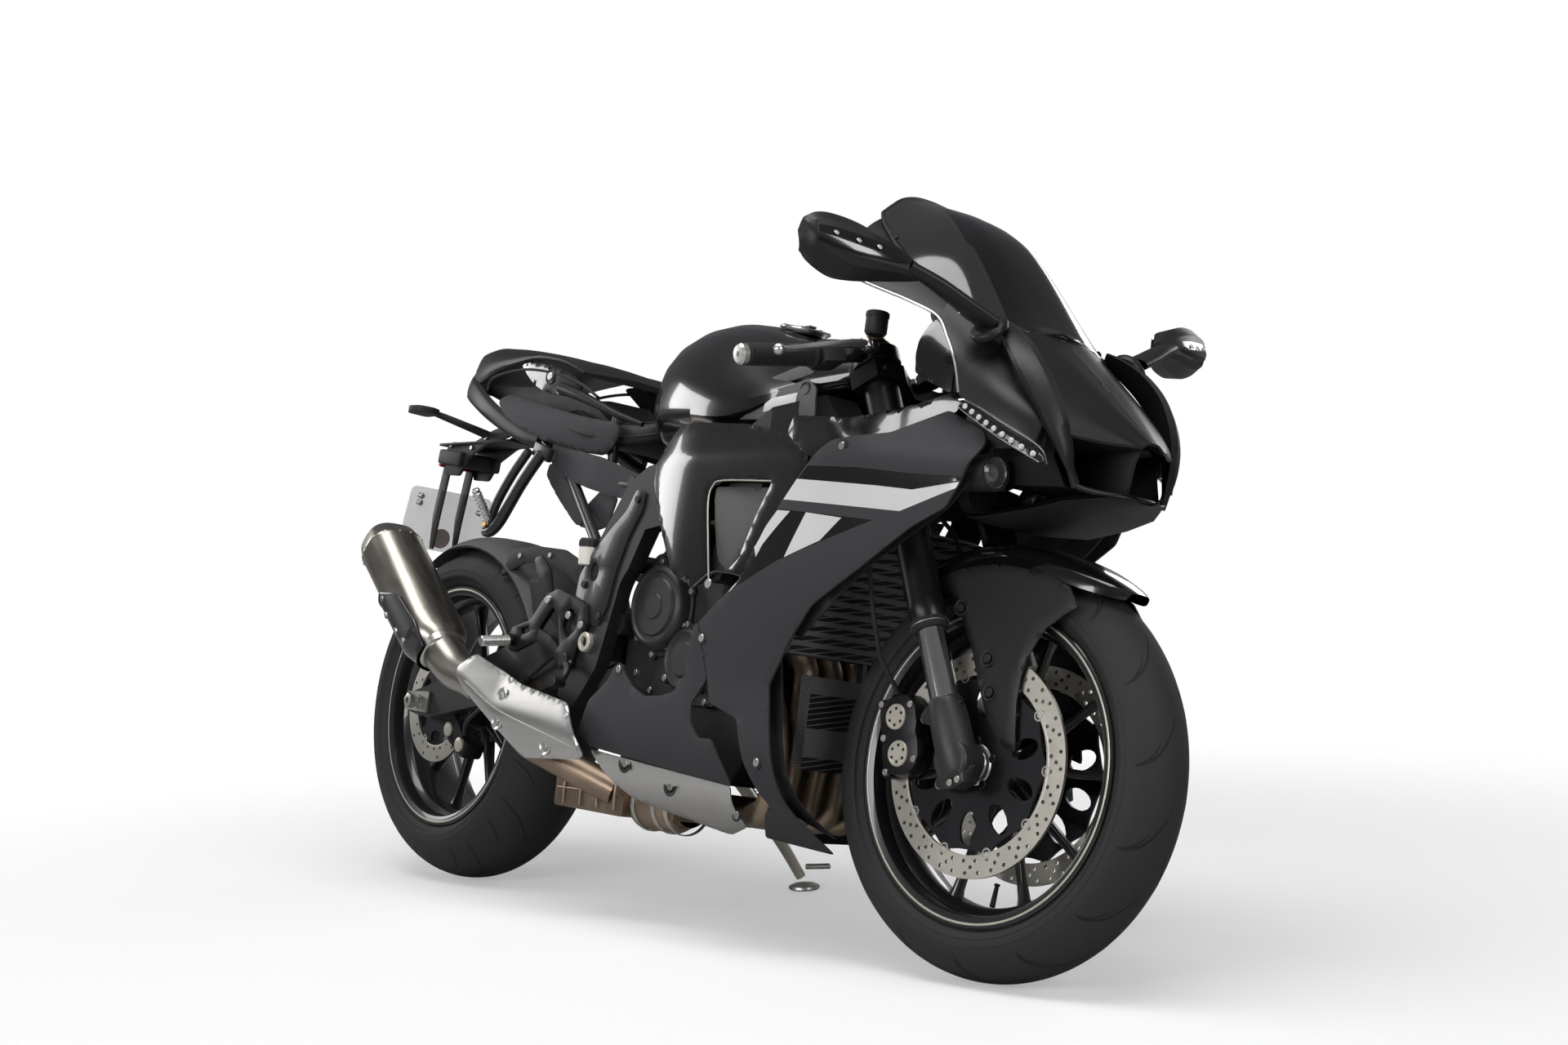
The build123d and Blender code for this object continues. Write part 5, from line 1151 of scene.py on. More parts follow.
def side_cowls():
    """Side fairings with their colour fields, lower cowls, belly guard, washers and bolts."""
    upper = [(1375, 795), (1290, 762), (1217, 757), (1191, 752), (1160, 728), (1112, 662), (1033, 539),
             (937, 476), (973, 354), (1022, 250), (1068, 200), (1000, 160), (1138, 148), (1119, 260),
             (1104, 387), (1146, 452), (1190, 506), (1277, 562), (1360, 622), (1415, 650), (1450, 712),
             (1462, 742), (1452, 760)]
    open_side = upper[:8] + [(962, 390), (973, 354), (1041, 334), (1058, 272), (1092, 206),
                             (1068, 200)] + upper[11:]
    lower_right = [(937, 476), (925, 470), (911, 429), (906, 396), (880, 368), (848, 360), (800, 358),
                   (764, 372), (726, 404), (712, 404), (690, 378), (640, 345), (614, 290), (653, 270),
                   (1020, 232), (1016, 250), (985, 300), (952, 300), (930, 322), (928, 352), (962, 390)]
    lower_left = [(937, 476), (860, 452), (760, 420), (690, 292), (700, 250), (860, 150), (1000, 160),
                  (1068, 200), (1022, 250), (973, 354)]
    guard = [(649, 266), (1020, 232), (992, 200), (975, 172), (905, 156), (800, 176), (720, 192), (690, 220)]
    field_upper = [(1154, 713), (1255, 708), (1344, 699), (1456, 692), (1356, 674), (1138, 693)]
    band = [(1136, 693), (1295, 681), (1356, 675), (1466, 690), (1339, 644), (1115, 662)]
    field_lower = [(1104, 648), (1294, 631), (1200, 598), (1120, 570), (1012, 522), (1040, 552)]
    stripe_one = [(1106, 646), (1133, 644), (1084, 594), (1072, 575), (1066, 590), (1048, 572), (1070, 602)]
    stripe_two = [(1166, 642), (1236, 634), (1200, 600), (1133, 575)]
    marks = [(1, field_upper), (1, field_lower), (2, stripe_one), (2, stripe_two), (2, band)]
    for side, label in SIDES:
        skin = panel(open_side if side < 0 else upper, lambda x, z: side * cowl_width(x, z), SKIN, step=15,
                     marks=marks, corner=7)
        piece("side_cowl_" + label, skin, [MATT, FIELD, WHITE], smooth=36)
    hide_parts("side_cowls")
    lower = panel(lower_right, lambda x, z: -cowl_width(x, z) - 1.0, SKIN, step=16, corner=6)
    piece("lower_cowl_right", lower, MATT, replaces="lower_cowls")
    other = panel(lower_left, lambda x, z: cowl_width(x, z) - 1.0, SKIN, step=16, corner=6)
    piece("lower_cowl_left", other, MATT)
    silver = panel(guard, lambda x, z: -cowl_width(x, z) - 0.5, 2.4, step=14, corner=10)
    piece("belly_guard_plate", silver, BRUSHED, replaces="belly_guard")
    bolts, dishes = Shape(), Shape()
    places = [(1217, 741), (949, 452), (724, 398), (985, 190), (1090, 272)]
    for side in (-1, 1):
        for x, z in places:
            if side > 0 and x < 800:
                continue
            y = side * (cowl_width(x, z) + 0.6)
            dishes.join(lathe([(side * -1.5, 10.5), (side * 0.5, 10), (side * 0.1, 7.2), (side * -1.5, 7)],
                              (x, y, z), ACROSS, 32))
            bolts.join(bolt((x, y - side, z), (0, side, 0), 6.4, 3.0))
    for x, z in ((751, 250), (860, 222)):
        y = -(cowl_width(x, z) + 0.5)
        dishes.join(lathe([(0.6, 17), (-0.8, 16), (0.9, 12), (1.2, 7)], (x, y, z), ACROSS, 36))
        bolts.join(bolt((x, y + 1, z), (0, -1, 0), 7.5, 2.6))
    piece("cowl_washers", dishes, BLACK)
    piece("cowl_bolts", bolts, BOLTS)
    inner = Shape()
    for side in (-1, 1):
        liner = [(1104, 387), (1119, 260), (1150, 170), (1100, 200), (1040, 334), (1060, 420), (1100, 470)]
        inner.join(panel(liner, lambda x, z: side * (cowl_width(x, z) - 26), 3, step=22))
        fold = [(1146, 460), (1277, 570), (1400, 652), (1440, 700), (1400, 700), (1300, 640), (1180, 560),
                (1120, 470)]
        inner.join(panel(fold, lambda x, z: side * (cowl_width(x, z) - 22), 3, step=22))
    piece("cowl_liners", inner, BLACK)


side_cowls()


# --- nose -----------------------------------------------------------------------------------
NOSE_STEPS = 26
ABOVE_ALL = 2000.0
NOSE_ROWS = [
    # x, crown z, crown half-width, shoulder z, side half-width, side z, low half-width, low z
    (1125, 1172, 96, 1128, 196, 1024, 200, 700),
    (1290, 1084, 102, 1044, 188, 930, 196, 690),
    (1417, 944, 104, 920, 174, 850, 182, 680),
    (1530, 848, 84, 828, 146, 780, 150, 672),
    (1628, 762, 22, 754, 34, 738, 44, 690),
]


def nose_section(x, grow=0.0):
    """Half outline (y, z) of the nose from its crown down to its lower edge."""
    values = [smooth_between(x, [(row[0], row[i]) for row in NOSE_ROWS]) for i in range(1, 8)]
    top, w1, z1, w2, z2, w3, z3 = values
    return [(0, top + grow), (w1 * 0.5, top - (top - z1) * 0.16 + grow), (w1 + grow * 0.6, z1 + grow * 0.6),
            ((w1 + w2) / 2 + 3 + grow, (z1 + z2) / 2 + 4), (w2 + grow, z2),
            ((w2 + w3) / 2 + 1 + grow, (z2 + z3) / 2), (w3 + grow, z3)]


def nose_width(x, z):
    """Half-width of the nose at a place seen from the side."""
    rows = spline([(y, h, 0) for y, h in nose_section(x)], 8)
    for a, b in zip(rows, rows[1:]):
        if (a.y - z) * (b.y - z) <= 0 and a.y != b.y:
            return a.x + (b.x - a.x) * (z - a.y) / (b.y - a.y)
    return rows[-1].x if z < rows[-1].y else 0.0


def nose_sheet(xs, low, high):
    """Right half of the nose skin between two side-view lines, as rows from the crown down."""
    rows = []
    for x in xs:
        curve = spline([(y, h, 0) for y, h in nose_section(x)], 10)
        z_high, z_low = high(x), low(x)
        kept = [p for p in curve if z_low < p.y < z_high]
        start = at_height(curve, z_high) if z_high < curve[0].y else curve[0]
        end = at_height(curve, z_low)
        path = [start] + kept + [end]
        lengths = [0.0]
        for a, b in zip(path, path[1:]):
            lengths.append(lengths[-1] + (b - a).length)
        row = []
        for k in range(NOSE_STEPS + 1):
            want = lengths[-1] * k / NOSE_STEPS
            j = 0
            while j < len(lengths) - 2 and lengths[j + 1] < want:
                j += 1
            share = (want - lengths[j]) / max(lengths[j + 1] - lengths[j], 1e-6)
            point = path[j].lerp(path[j + 1], share)
            row.append(Vector((x, -point.x, point.y)))
        rows.append(row)
    return rows


def at_height(curve, z):
    """Point of a falling curve at a height."""
    for a, b in zip(curve, curve[1:]):
        if (a.y - z) * (b.y - z) <= 0 and a.y != b.y:
            return a.lerp(b, (z - a.y) / (b.y - a.y))
    return curve[-1] if z < curve[-1].y else curve[0]


def shell_of(rows, thick):
    """Skin with an inner face and closed rims; rows run from the crown down on the right side."""
    shape = sheet_grid(rows)
    base = len(shape.points)
    shape.lined(lambda p: Vector((p.x - thick * 0.3, p.y * (1 - thick / max(abs(p.y), 60)), p.z - thick)))
    wide, tall = len(rows[0]), len(rows)
    rim = list(range(wide)) + [i * wide + wide - 1 for i in range(1, tall)]
    rim += [(tall - 1) * wide + j for j in range(wide - 2, -1, -1)] + [i * wide for i in range(tall - 2, 0, -1)]
    for a, b in zip(rim, rim[1:] + rim[:1]):
        shape.faces.append([a, b, base + b, base + a])
        shape.mats.append(0)
    return shape


def along(places, side, width, out):
    """Points (x, z) laid on a side at a little more than a width."""
    return [Vector((x, side * (width(x, z) + out), z)) for x, z in places]


def nose():
    """Cowl, its arms and liners, the screen with its bead and screws, fins and intake."""
    base_line = straight([(1110, 1150), (1140, 1108), (1200, 1060), (1300, 985), (1380, 928), (1424, 909),
                          (1436, 935), (1470, 905), (1700, 905)])

    def high(x):
        return ABOVE_ALL if x > 1430 else base_line(x)

    # front of the nose, ahead of the screen
    low_front = straight([(1340, 936), (1344, 932), (1378, 895), (1405, 857), (1418, 811), (1480, 772),
                          (1540, 738), (1544, 768), (1560, 760), (1600, 754), (1640, 753)])
    right = shell_of(nose_sheet(span(1342, 1629, 62), low_front, high), SKIN)
    piece("front_cowl_skin", right.with_mirror(), SATIN, replaces="front_cowl", smooth=30)
    arm = [(1120, 1032), (1130, 1023), (1216, 987), (1291, 958), (1344, 932), (1356, 920),
           (1358, base_line(1358) + 5)]
    arm += [(x, base_line(x) + 5) for x in (1320, 1280, 1240, 1200)]
    arm += [(1160, base_line(1160) + 1), (1128, base_line(1128) - 3)]

    def arm_width(x, z):
        return nose_width(x, z) - min(4.0, max(0.0, 0.45 * (z - base_line(x) + 6)))

    for side, label in SIDES:
        skin = panel(arm, lambda x, z: side * arm_width(x, z), SKIN, step=10, corner=4)
        piece("cowl_arm_" + label, skin, SATIN, smooth=50)
        hem = along(arm[:5] + [(1378, 895), (1405, 857), (1420, 812)], side, nose_width, 0.6)
        # painted highlight: the hem is bare aluminium on the right side only, standing in for its lit edge; on
        # the left it is satin like the cowl
        piece("cowl_hem_" + label, tube(hem, 2.2, 8, 5), ALLOY if side < 0 else SATIN)
    liners = Shape()
    for side in (-1, 1):
        for x0, x1 in ((1392, 1480), (1470, 1540)):
            behind = [(x0, 800), (x1, 800 - 0.5 * (x1 - 1480)), (x1, 738), (x0, 738)]
            liners.join(panel(behind, lambda x, z: side * (min(nose_width(x, z), cowl_width(min(x, 1480), z))
                - 20), 3, step=18, corner=4))
    piece("nose_liners", liners, BLACK)
    # screen
    dome = []
    for i, x in enumerate(span(1118, 1438, 44)):
        t = i / 44
        swell = 16 * math.sin(math.pi * min(1, max(0, (t - 0.08) / 0.9))) ** 1.2
        row = []
        section = spline([(y, h, 0) for y, h in nose_section(x, 1.5)], 12)
        low_z = straight([(1110, 1140), (1150, 1104), (1200, 1064), (1300, 990), (1380, 934), (1424, 912),
                          (1440, 935)])(x)
        edge = at_height(section, low_z)
        for k in range(-16, 17):
            u = abs(k) / 16
            y = edge.x * (0.5 * u + 0.5 * math.sin(u * math.pi / 2))
            z_at = None
            for a, b in zip(section, section[1:]):
                if a.x <= y <= b.x and b.x > a.x:
                    z_at = a.y + (b.y - a.y) * (y - a.x) / (b.x - a.x)
                    break
            z_at = low_z if z_at is None or u == 1 else max(z_at, low_z)
            bubble = swell * math.cos(u * math.pi / 2) ** 1.5
            row.append(Vector((x + bubble * 0.45, math.copysign(y, k) if k else 0.0, z_at + bubble * 0.62)))
        dome.append(row)
    glass = sheet_grid(dome).lined(lambda p: Vector((p.x - 1.6, p.y * 0.985, p.z - 2.2)))
    piece("screen_blade", glass, SMOKE, replaces="windscreen", smooth=60)
    trims = Shape()
    bead = [row[0] for row in dome[::2]]
    for line, radius in ((bead, 2.6), ([Vector((p.x, -p.y, p.z)) for p in bead], 2.6), (dome[-1][::4], 2.6),
                         (dome[0][::4], 2.4)):
        trims.join(tube(line, radius, 8, 3))
    piece("screen_bead", trims, BLACK)
    screws = Shape()
    for side in (-1, 1):
        for i in (10, 24, 38):
            p = dome[i][1 if side < 0 else 31]
            screws.join(bolt(p, (0.1, side * 0.8, 0.6), 5, 3))
    piece("screen_screws", screws, DARK_BOLTS)
    fins()
    mouth()


def fins():
    """Winglet-like ridges from the mirrors down to the lip of the intake."""
    path = [(1425, 921, 108), (1450, 904, 122), (1480, 880, 132), (1508, 850, 137), (1531, 818, 134),
            (1551, 781, 126), (1564, 745, 114), (1571, 712, 101), (1574, 688, 90)]
    rows = []
    curve = spline([Vector((x, -y, z)) for x, z, y in path], 6)
    for i, p in enumerate(curve):
        t = i / (len(curve) - 1)
        wide = 6 + 19 * math.sin(math.pi * min(1.0, t * 1.1 + 0.05)) ** 0.8 if t < 0.92 else 7
        high = 15 * math.sin(math.pi * min(0.95, t + 0.06)) ** 0.45
        ahead = heading(curve, i)
        out = Vector((0.25, -0.9, 0.35)).normalized()
        out = (out - ahead * out.dot(ahead)).normalized()
        across = ahead.cross(out)
        section = ((-1.0, -0.7), (-0.75, 0.25), (-0.15, 0.9), (0.3, 1.0), (0.55, 0.7), (0.7, 0.0), (0.9, -0.7))
        rows.append([p + across * (u * wide) + out * (v * high) for u, v in section])
    ridge = sheet_grid(rows, close_row=True).capped(len(rows[0]))
    piece("cowl_fins", ridge.with_mirror(), SATIN, smooth=32)


def mouth():
    """Intake: dark tunnel with its lip, divider and lower chin."""
    edge = [(1563, -98, 688), (1546, -108, 730), (1544, -110, 768), (1560, -72, 760), (1596, -34, 754),
            (1622, 0, 752)]
    ring = [Vector(p) for p in edge] + [Vector((x, -y, z)) for x, y, z in edge[-2::-1]]
    ring += [Vector((1592, 60, 685)), Vector((1614, 0, 683)), Vector((1592, -60, 685))]
    rings = []
    for back, wide, tall in ((0, 1.0, 1.0), (12, 0.97, 0.96), (60, 0.9, 0.86), (150, 0.8, 0.66)):
        rings.append([Vector((p.x * 0.2 + 1560 * 0.8 - back if back else p.x, p.y * wide,
                              722 + (p.z - 722) * tall)) for p in ring])
    tunnel = sheet_grid(rings, close_row=True)
    back = len(tunnel.points)
    tunnel.faces.append(list(range(back - len(ring), back)))
    tunnel.mats.append(0)
    # painted shade: the tunnel and its closed back are shadow black, the duct's dark inside darkened further as
    # its shade
    piece("intake_tunnel", tunnel, SHADE_BLACK, replaces="nose_duct")
    lip = [Vector((x, y, z)) for x, y, z in ((1571, -92, 700), (1575, -90, 690), (1592, -62, 684),
        (1612, -32, 682), (1620, 0, 681.5), (1612, 32, 682), (1592, 62, 684), (1575, 90, 690), (1571, 92, 700))]
    piece("intake_lip", tube(lip, 4.5, 10, 5), SATIN)
    divider = slab([(1480, 752), (1604, 752), (1596, 736), (1588, 692), (1480, 692)], -5, 5)
    piece("intake_divider", divider, BLACK, bevel=1.5)
    chin = []
    for x, wide, z in ((1625, 26, 680), (1600, 60, 676), (1560, 92, 668), (1500, 104, 656), (1420, 112, 646),
                       (1380, 104, 648)):
        chin.append([Vector((x, y * wide, z + 6 * abs(y) ** 2)) for y in span(-1, 1, 12)])
    under = sheet_grid(chin).lined(lambda p: p - Vector((0, 0, 4)))
    piece("nose_chin", under, BLACK)


nose()


# --- tank, seat and tail --------------------------------------------------------------------
TANK_ROWS = [
    # x, then z and half-width at the bottom, low side, knee, shoulder, top edge and crown z
    (545, (806, 40), (820, 58), (832, 64), (856, 58), (874, 30), 879),
    (592, (786, 66), (812, 96), (848, 110), (918, 98), (958, 58), 970),
    (650, (782, 82), (815, 122), (860, 136), (944, 110), (992, 62), 1006),
    (745, (778, 94), (806, 142), (846, 158), (936, 126), (996, 70), 1012),
    (866, (782, 108), (802, 150), (828, 168), (902, 132), (970, 80), 986),
    (985, (824, 102), (836, 134), (850, 148), (884, 116), (916, 72), 928),
    (1066, (868, 44), (874, 58), (882, 64), (898, 54), (908, 36), 913),
]


def tank():
    """Tank shell with its filler cap."""
    sections = []
    for x, low, side, knee, shoulder, edge, crown_z in TANK_ROWS:
        right = [low, side, knee, shoulder, edge]
        sections.append([(x, 0, low[0])] + [(x, -w, z) for z, w in right] + [(x, 0, crown_z)]
                        + [(x, w, z) for z, w in reversed(right)])
    body = lofted(sections, around=1, along=7)
    piece("tank_shell", body, GLOSS, replaces="fuel_tank", smooth=28, level=1)
    at, slope, bolts_r = Vector((846, 0, 982)), 0.16, 38.5
    up = Vector((slope, 0, 1)).normalized()
    ring = lathe([(0, 34), (7, 43), (9, 43), (10.5, 41), (10.5, 35), (8, 34)], at, up, 64)
    cap = lathe([(4, 33.6), (9, 33.6), (11, 31), (12, 24), (12, 0.1)], at, up, 64, closed=False)
    cap.join(block(at + up * 12.5 + Vector((6, 0, 0)), (26, 15, 4), edge=2))
    bolts = Shape()
    for a in angles(7):
        where = Vector((bolts_r * math.cos(a), bolts_r * math.sin(a), -slope * bolts_r * math.cos(a)))
        bolts.join(bolt(at + up * 10 + where, up, 3.2, 1.8))
    piece("fuel_cap_ring", ring, ALLOY)
    piece("fuel_cap", cap, GREY)
    piece("fuel_cap_bolts", bolts, BOLTS)


def tank_covers():
    """Gloss knee covers with a grey scoop, airbox panels, a gloss lower edge line, and a cream line of painted
    highlight along the scoop's edge.
    """
    cover = [(1125, 731), (1060, 772), (949, 794), (821, 804), (760, 806), (722, 770), (702, 722), (760, 632),
             (806, 559), (868, 533), (928, 560), (1033, 545), (1112, 662)]
    scoop = [(890, 690), (925, 702), (1046, 697), (1012, 640), (980, 580), (935, 548), (910, 545)]

    def bulge(x, z):
        roll = 0.0011 * max(0, 846 - x) ** 2
        crease = 0.22 * max(0.0, z - 742)
        return 188 + 6 * math.sin(math.pi * min(1, max(0, (z - 540) / 260))) - roll - crease

    def box_depth(x, z):
        return 148 - 0.10 * max(0, z - 830) - 0.05 * max(0, x - 900) + 2.5 * math.sin((x - 840) / 60)

    upper = [(838, 842), (880, 862), (1001, 893), (1040, 900), (1050, 894), (1030, 878), (950, 862), (850, 838)]
    lower = [(846, 836), (883, 840), (1010, 862), (1034, 868), (1056, 852), (1062, 806), (960, 806),
             (888, 810), (862, 820)]
    insert = [(900, 694), (1040, 690), (975, 585), (935, 556), (916, 560)]
    rail = [(1365, 790), (1280, 755), (1190, 748), (1125, 731), (1060, 772), (1068, 800), (1180, 790),
            (1290, 812), (1340, 830), (1372, 812)]
    quarter = [(1405, 926), (1345, 930), (1332, 888), (1334, 846), (1360, 832), (1404, 812)]
    tag = [(950, 838), (1020, 846), (1018, 826), (948, 818)]
    edge = [(1046, 697), (925, 702), (900, 694), (893, 668), (903, 600), (910, 545)]
    for side, label in SIDES:
        def plate(name, outline, width, step, corner, finish, smooth=38, thick=3, hole=None):
            skin = panel(outline, lambda x, z: side * width(x, z), thick, step=step, hole=hole, corner=corner)
            piece(name + label, skin, finish, smooth=smooth)

        plate("knee_cover_", cover, bulge, 15, 10, GLOSS, 50, hole=[scoop])
        plate("knee_insert_", insert, lambda x, z: bulge(x, z) - 9 + 5 * math.sin((x + z) / 40), 12,
              8, GREY, 50)
        # painted highlight: a cream metal line along the scoop's edge stands in for the light on that edge
        piece("knee_scoop_highlight_" + label, tube(along(edge, side, bulge, 0.6), 1.4, 8, 4), CREAM)
        low_edge = along([(1033, 545), (928, 560), (868, 533)], side, bulge, -1)
        piece("knee_lower_edge_" + label, tube(low_edge, 2.4, 8, 3), GLOSS)
        plate("airbox_panel_", lower, box_depth, 13, 6, GREY, 40)
        plate("airbox_wing_", upper, lambda x, z: box_depth(x, z) - 10, 13, 5, GREY, 40)
        plate("blank_tag_", tag, lambda x, z: box_depth(x, z) + 2.2, 9, 2, WHITE, thick=2.0)
        port = lathe([(side * -4, 7), (side * 0.8, 8.5), (side * 1.2, 10.5), (side * -4, 11)],
                     (1034, side * box_depth(1034, 852), 852), ACROSS, 28)
        piece("airbox_port_" + label, port, BLACK)
        post = bolt((912, side * bulge(912, 553), 540), (0, side, 0), 8, 4)
        piece("knee_bolt_" + label, post, BOLTS)
        plate("inner_fairing_", rail, lambda x, z: min(cowl_width(x, z), 205) - 14 - 0.12 * max(0, z - 740), 14,
              8, GLOSS, 50)
        plate("cowl_quarter_", quarter, lambda x, z: nose_width(x, z) - 2.0, 12, 5, GLOSS, 50)
    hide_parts("tank_covers")
    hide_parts("side_panels")


def seat():
    """Rider's pad with a rolled edge, padded like foam, then its seams."""
    rows = [(322, 828, 838, 872, 118, 82), (345, 818, 832, 862, 122, 88), (380, 806, 822, 848, 125, 92),
            (440, 796, 810, 838, 124, 92), (500, 794, 808, 838, 104, 72), (535, 802, 814, 844, 76, 50),
            (550, 810, 822, 852, 56, 36)]
    sections = []
    for x, z0, z1, z2, edge, top in rows:
        sections.append([(x, 0, z0), (x, -edge * 0.8, z0), (x, -edge, z1), (x, -edge * 0.95, (z1 + z2) / 2 + 3),
                         (x, -top, z2 - 1), (x, 0, z2 + 2), (x, top, z2 - 1),
                         (x, edge * 0.95, (z1 + z2) / 2 + 3), (x, edge, z1), (x, edge * 0.8, z0)])
    body = lofted(sections, around=5, along=6)
    pad = piece("rider_pad", body, SEAT, replaces="rider_seat", smooth=80)
    seams = Shape()
    for side in (-1, 1):
        seams.join(tube([(x, side * top * 1.02, z2 + 0.8) for x, _, _, z2, _, top in rows], 1.5, 8, 5))
        seams.join(tube([(x, side * (edge + 0.5), z1 + 1) for x, _, z1, _, edge, _ in rows], 1.8, 8, 5))
    piece("seat_seams", seams, SEAT)


TAIL_ROWS = [
    # x, bottom z, edge z, crown z, edge half-width, crown half-width
    (-118, 942, 960, 1010, 46, 34),
    (-64, 936, 958, 1018, 78, 54),
    (10, 942, 962, 1019, 102, 68),
    (70, 954, 968, 1012, 110, 76),
    (143, 962, 972, 1002, 114, 82),
    (219, 966, 972, 986, 116, 88),
    (309, 950, 956, 966, 116, 92),
    (372, 926, 930, 938, 112, 94),
]


def tail():
    """Hollow tail: upper wing, curved lower beam, passenger pad cover and inner pan."""
    sections = []
    for x, z0, z1, z2, edge, top in TAIL_ROWS:
        sections.append([(x, 0, z0), (x, -edge * 0.86, z0), (x, -edge, z1),
                         (x, -(edge * 0.55 + top * 0.5), (z1 * 0.45 + z2 * 0.55)), (x, -top, z2 - 5),
                         (x, 0, z2), (x, top, z2 - 5), (x, (edge * 0.55 + top * 0.5), (z1 * 0.45 + z2 * 0.55)),
                         (x, edge, z1), (x, edge * 0.86, z0)])
    wing = lofted(sections, around=3, along=6)
    piece("tail_wing", wing, SATIN, replaces="tail_cowl", smooth=34)
    beams, pans, pads, trims = Shape(), Shape(), Shape(), Shape()
    for side in (-1, 1):
        path = [(-112, 958, 48), (-76, 942, 74), (-10, 916, 98), (60, 884, 111), (140, 850, 118),
                (212, 824, 121), (262, 812, 120)]
        curve = spline([(x, side * y, z) for x, z, y in path], 6)
        rows = []
        for i, p in enumerate(curve):
            t = i / (len(curve) - 1)
            out = Vector((0, side, 0))
            across = heading(curve, i).cross(out).normalized()
            high, deep = 27 - 15 * t, 8 - 2 * t
            rows.append([p + across * high * math.cos(a) + out * deep * math.sin(a) for a in angles(12)])
        beams.join(sheet_grid(rows, close_row=True).capped(12))
        cushion = [(96, 898), (128, 908), (172, 900), (230, 884), (289, 872), (399, 848), (470, 836),
                   (505, 832), (520, 815), (500, 790), (465, 776), (412, 783), (331, 799), (246, 819),
                   (186, 842), (128, 870)]
        low_pad = panel(cushion, lambda x, z: side * (114 + 12 * math.sin(math.pi * min(1,
            max(0, (z - 770) / 140)))), 4, step=12, corner=14)
        pads.join(low_pad)
        inner = [(-60, 940), (60, 900), (180, 850), (300, 822), (420, 838), (330, 900), (200, 925), (60, 935)]
        pans.join(panel(inner, lambda x, z: side * 72, 3, step=24))
        trim = [Vector((x, side * y, z)) for x, z, y in [(45, 921, 112), (66, 943, 114), (143, 950, 118),
            (219, 946, 122), (309, 930, 124), (388, 906, 124), (440, 880, 122)]]
        trims.join(tube(trim, 3.0, 8, 5))
        strut = [Vector((x, side * y, z)) for x, z,
                 y in [(320, 905, 122), (380, 888, 124), (440, 868, 122), (500, 846, 116), (560, 828, 104)]]
        beams.join(tube(strut, 9, 12, 5, scale=lambda t: 1.3 - 0.8 * t))
    piece("tail_beams", beams, SATIN, replaces="tail_sides", smooth=60)
    piece("tail_inner_pan", pans, BLACK)
    piece("tail_low_pads", pads, MATT, smooth=70)
    piece("tail_trims", trims, BLACK)
    cover = Shape()
    oval = [(168, 960), (201, 962), (280, 950), (352, 928), (382, 910), (382, 900), (346, 888),
            (292, 894), (233, 914)]
    for side in (-1, 1):
        cover.join(panel(oval, lambda x, z: side * (126 - 4 * math.hypot((x - 280) / 110, (z - 925) / 40)), 3,
                         step=12, corner=14))
    piece("pad_cover", cover, GLOSS, smooth=60)
    rings, bolts = Shape(), Shape()
    for side in (-1, 1):
        at = (284, side * 125, 928)
        rings.join(lathe([(side * -2, 15), (side * 2.2, 14), (side * 1.2, 9.5), (side * -2, 9)], at,
                         ACROSS, 36))
        bolts.join(bolt(at, (0, side, 0), 8, 4))
    piece("tail_bolt_rings", rings, DARK_STEEL)
    piece("tail_bolts", bolts, BOLTS)
    sides = Shape()
    for side in (-1, 1):
        sides.join(panel([(640, 712), (600, 732), (520, 757), (470, 772), (400, 786), (300, 808), (300, 770),
                          (352, 742), (430, 720), (520, 700), (600, 690)], lambda x,
                          z: side * (122 - 0.05 * abs(x - 450)), 3, step=14, corner=10))
        sides.join(panel([(300, 770), (292, 748), (345, 700), (411, 652), (440, 660), (380, 720), (340, 752)],
                         lambda x, z: side * 116, 3, step=14, corner=8))
        sides.join(panel([(411, 652), (464, 643), (500, 650), (520, 700), (470, 716), (430, 690)], lambda x,
                         z: side * 112, 3, step=14, corner=8))
    piece("tail_shrouds", sides, MATT, smooth=50)


tank()
tank_covers()
seat()
tail()


# --- mirrors and lamps ----------------------------------------------------------------------
MIRROR_ROWS = [
    # y out, front x and rear x from the front axle, low z, high z
    (252, 4, -24, 957, 978), (275, 3, -44, 952, 992), (300, 0, -66, 948, 1008), (330, -8, -78, 944, 1020),
    (358, -20, -85, 944, 1027),
    (388, -34, -88, 954, 1029), (408, -46, -87, 966, 1024), (418, -58, -82, 984, 1013),
]


def mirror_section(side, row):
    """Ring of a mirror head, and the places on its front where the indicator lies."""
    y, front, rear, low, high = row
    mid, tall, z = (front + rear) / 2, (high - low) / 2, (low + high) / 2
    y, front_x, rear_x, mid_x = side * y, WHEELBASE + front, WHEELBASE + rear, WHEELBASE + mid
    brow_x, cheek_x = front_x - (front - mid) * 0.3, front_x - (front - mid) * 0.25
    tip, brow, cheek = z - tall * 0.1, z + tall * 0.62, z - tall * 0.65
    ring = [(front_x, y, tip), (brow_x, y, brow), (mid_x, y, high), (rear_x + 5, y, high - 3), (rear_x, y, z),
            (rear_x + 4, y, low + 3), (mid_x, y, low), (cheek_x, y, cheek)]
    front_at = Vector((front_x + 1.2, y, tip))
    return ring, front_at, Vector((brow_x + 1.0, y, brow + 1.0)), Vector((cheek_x + 1.0, y, cheek - 0.6))


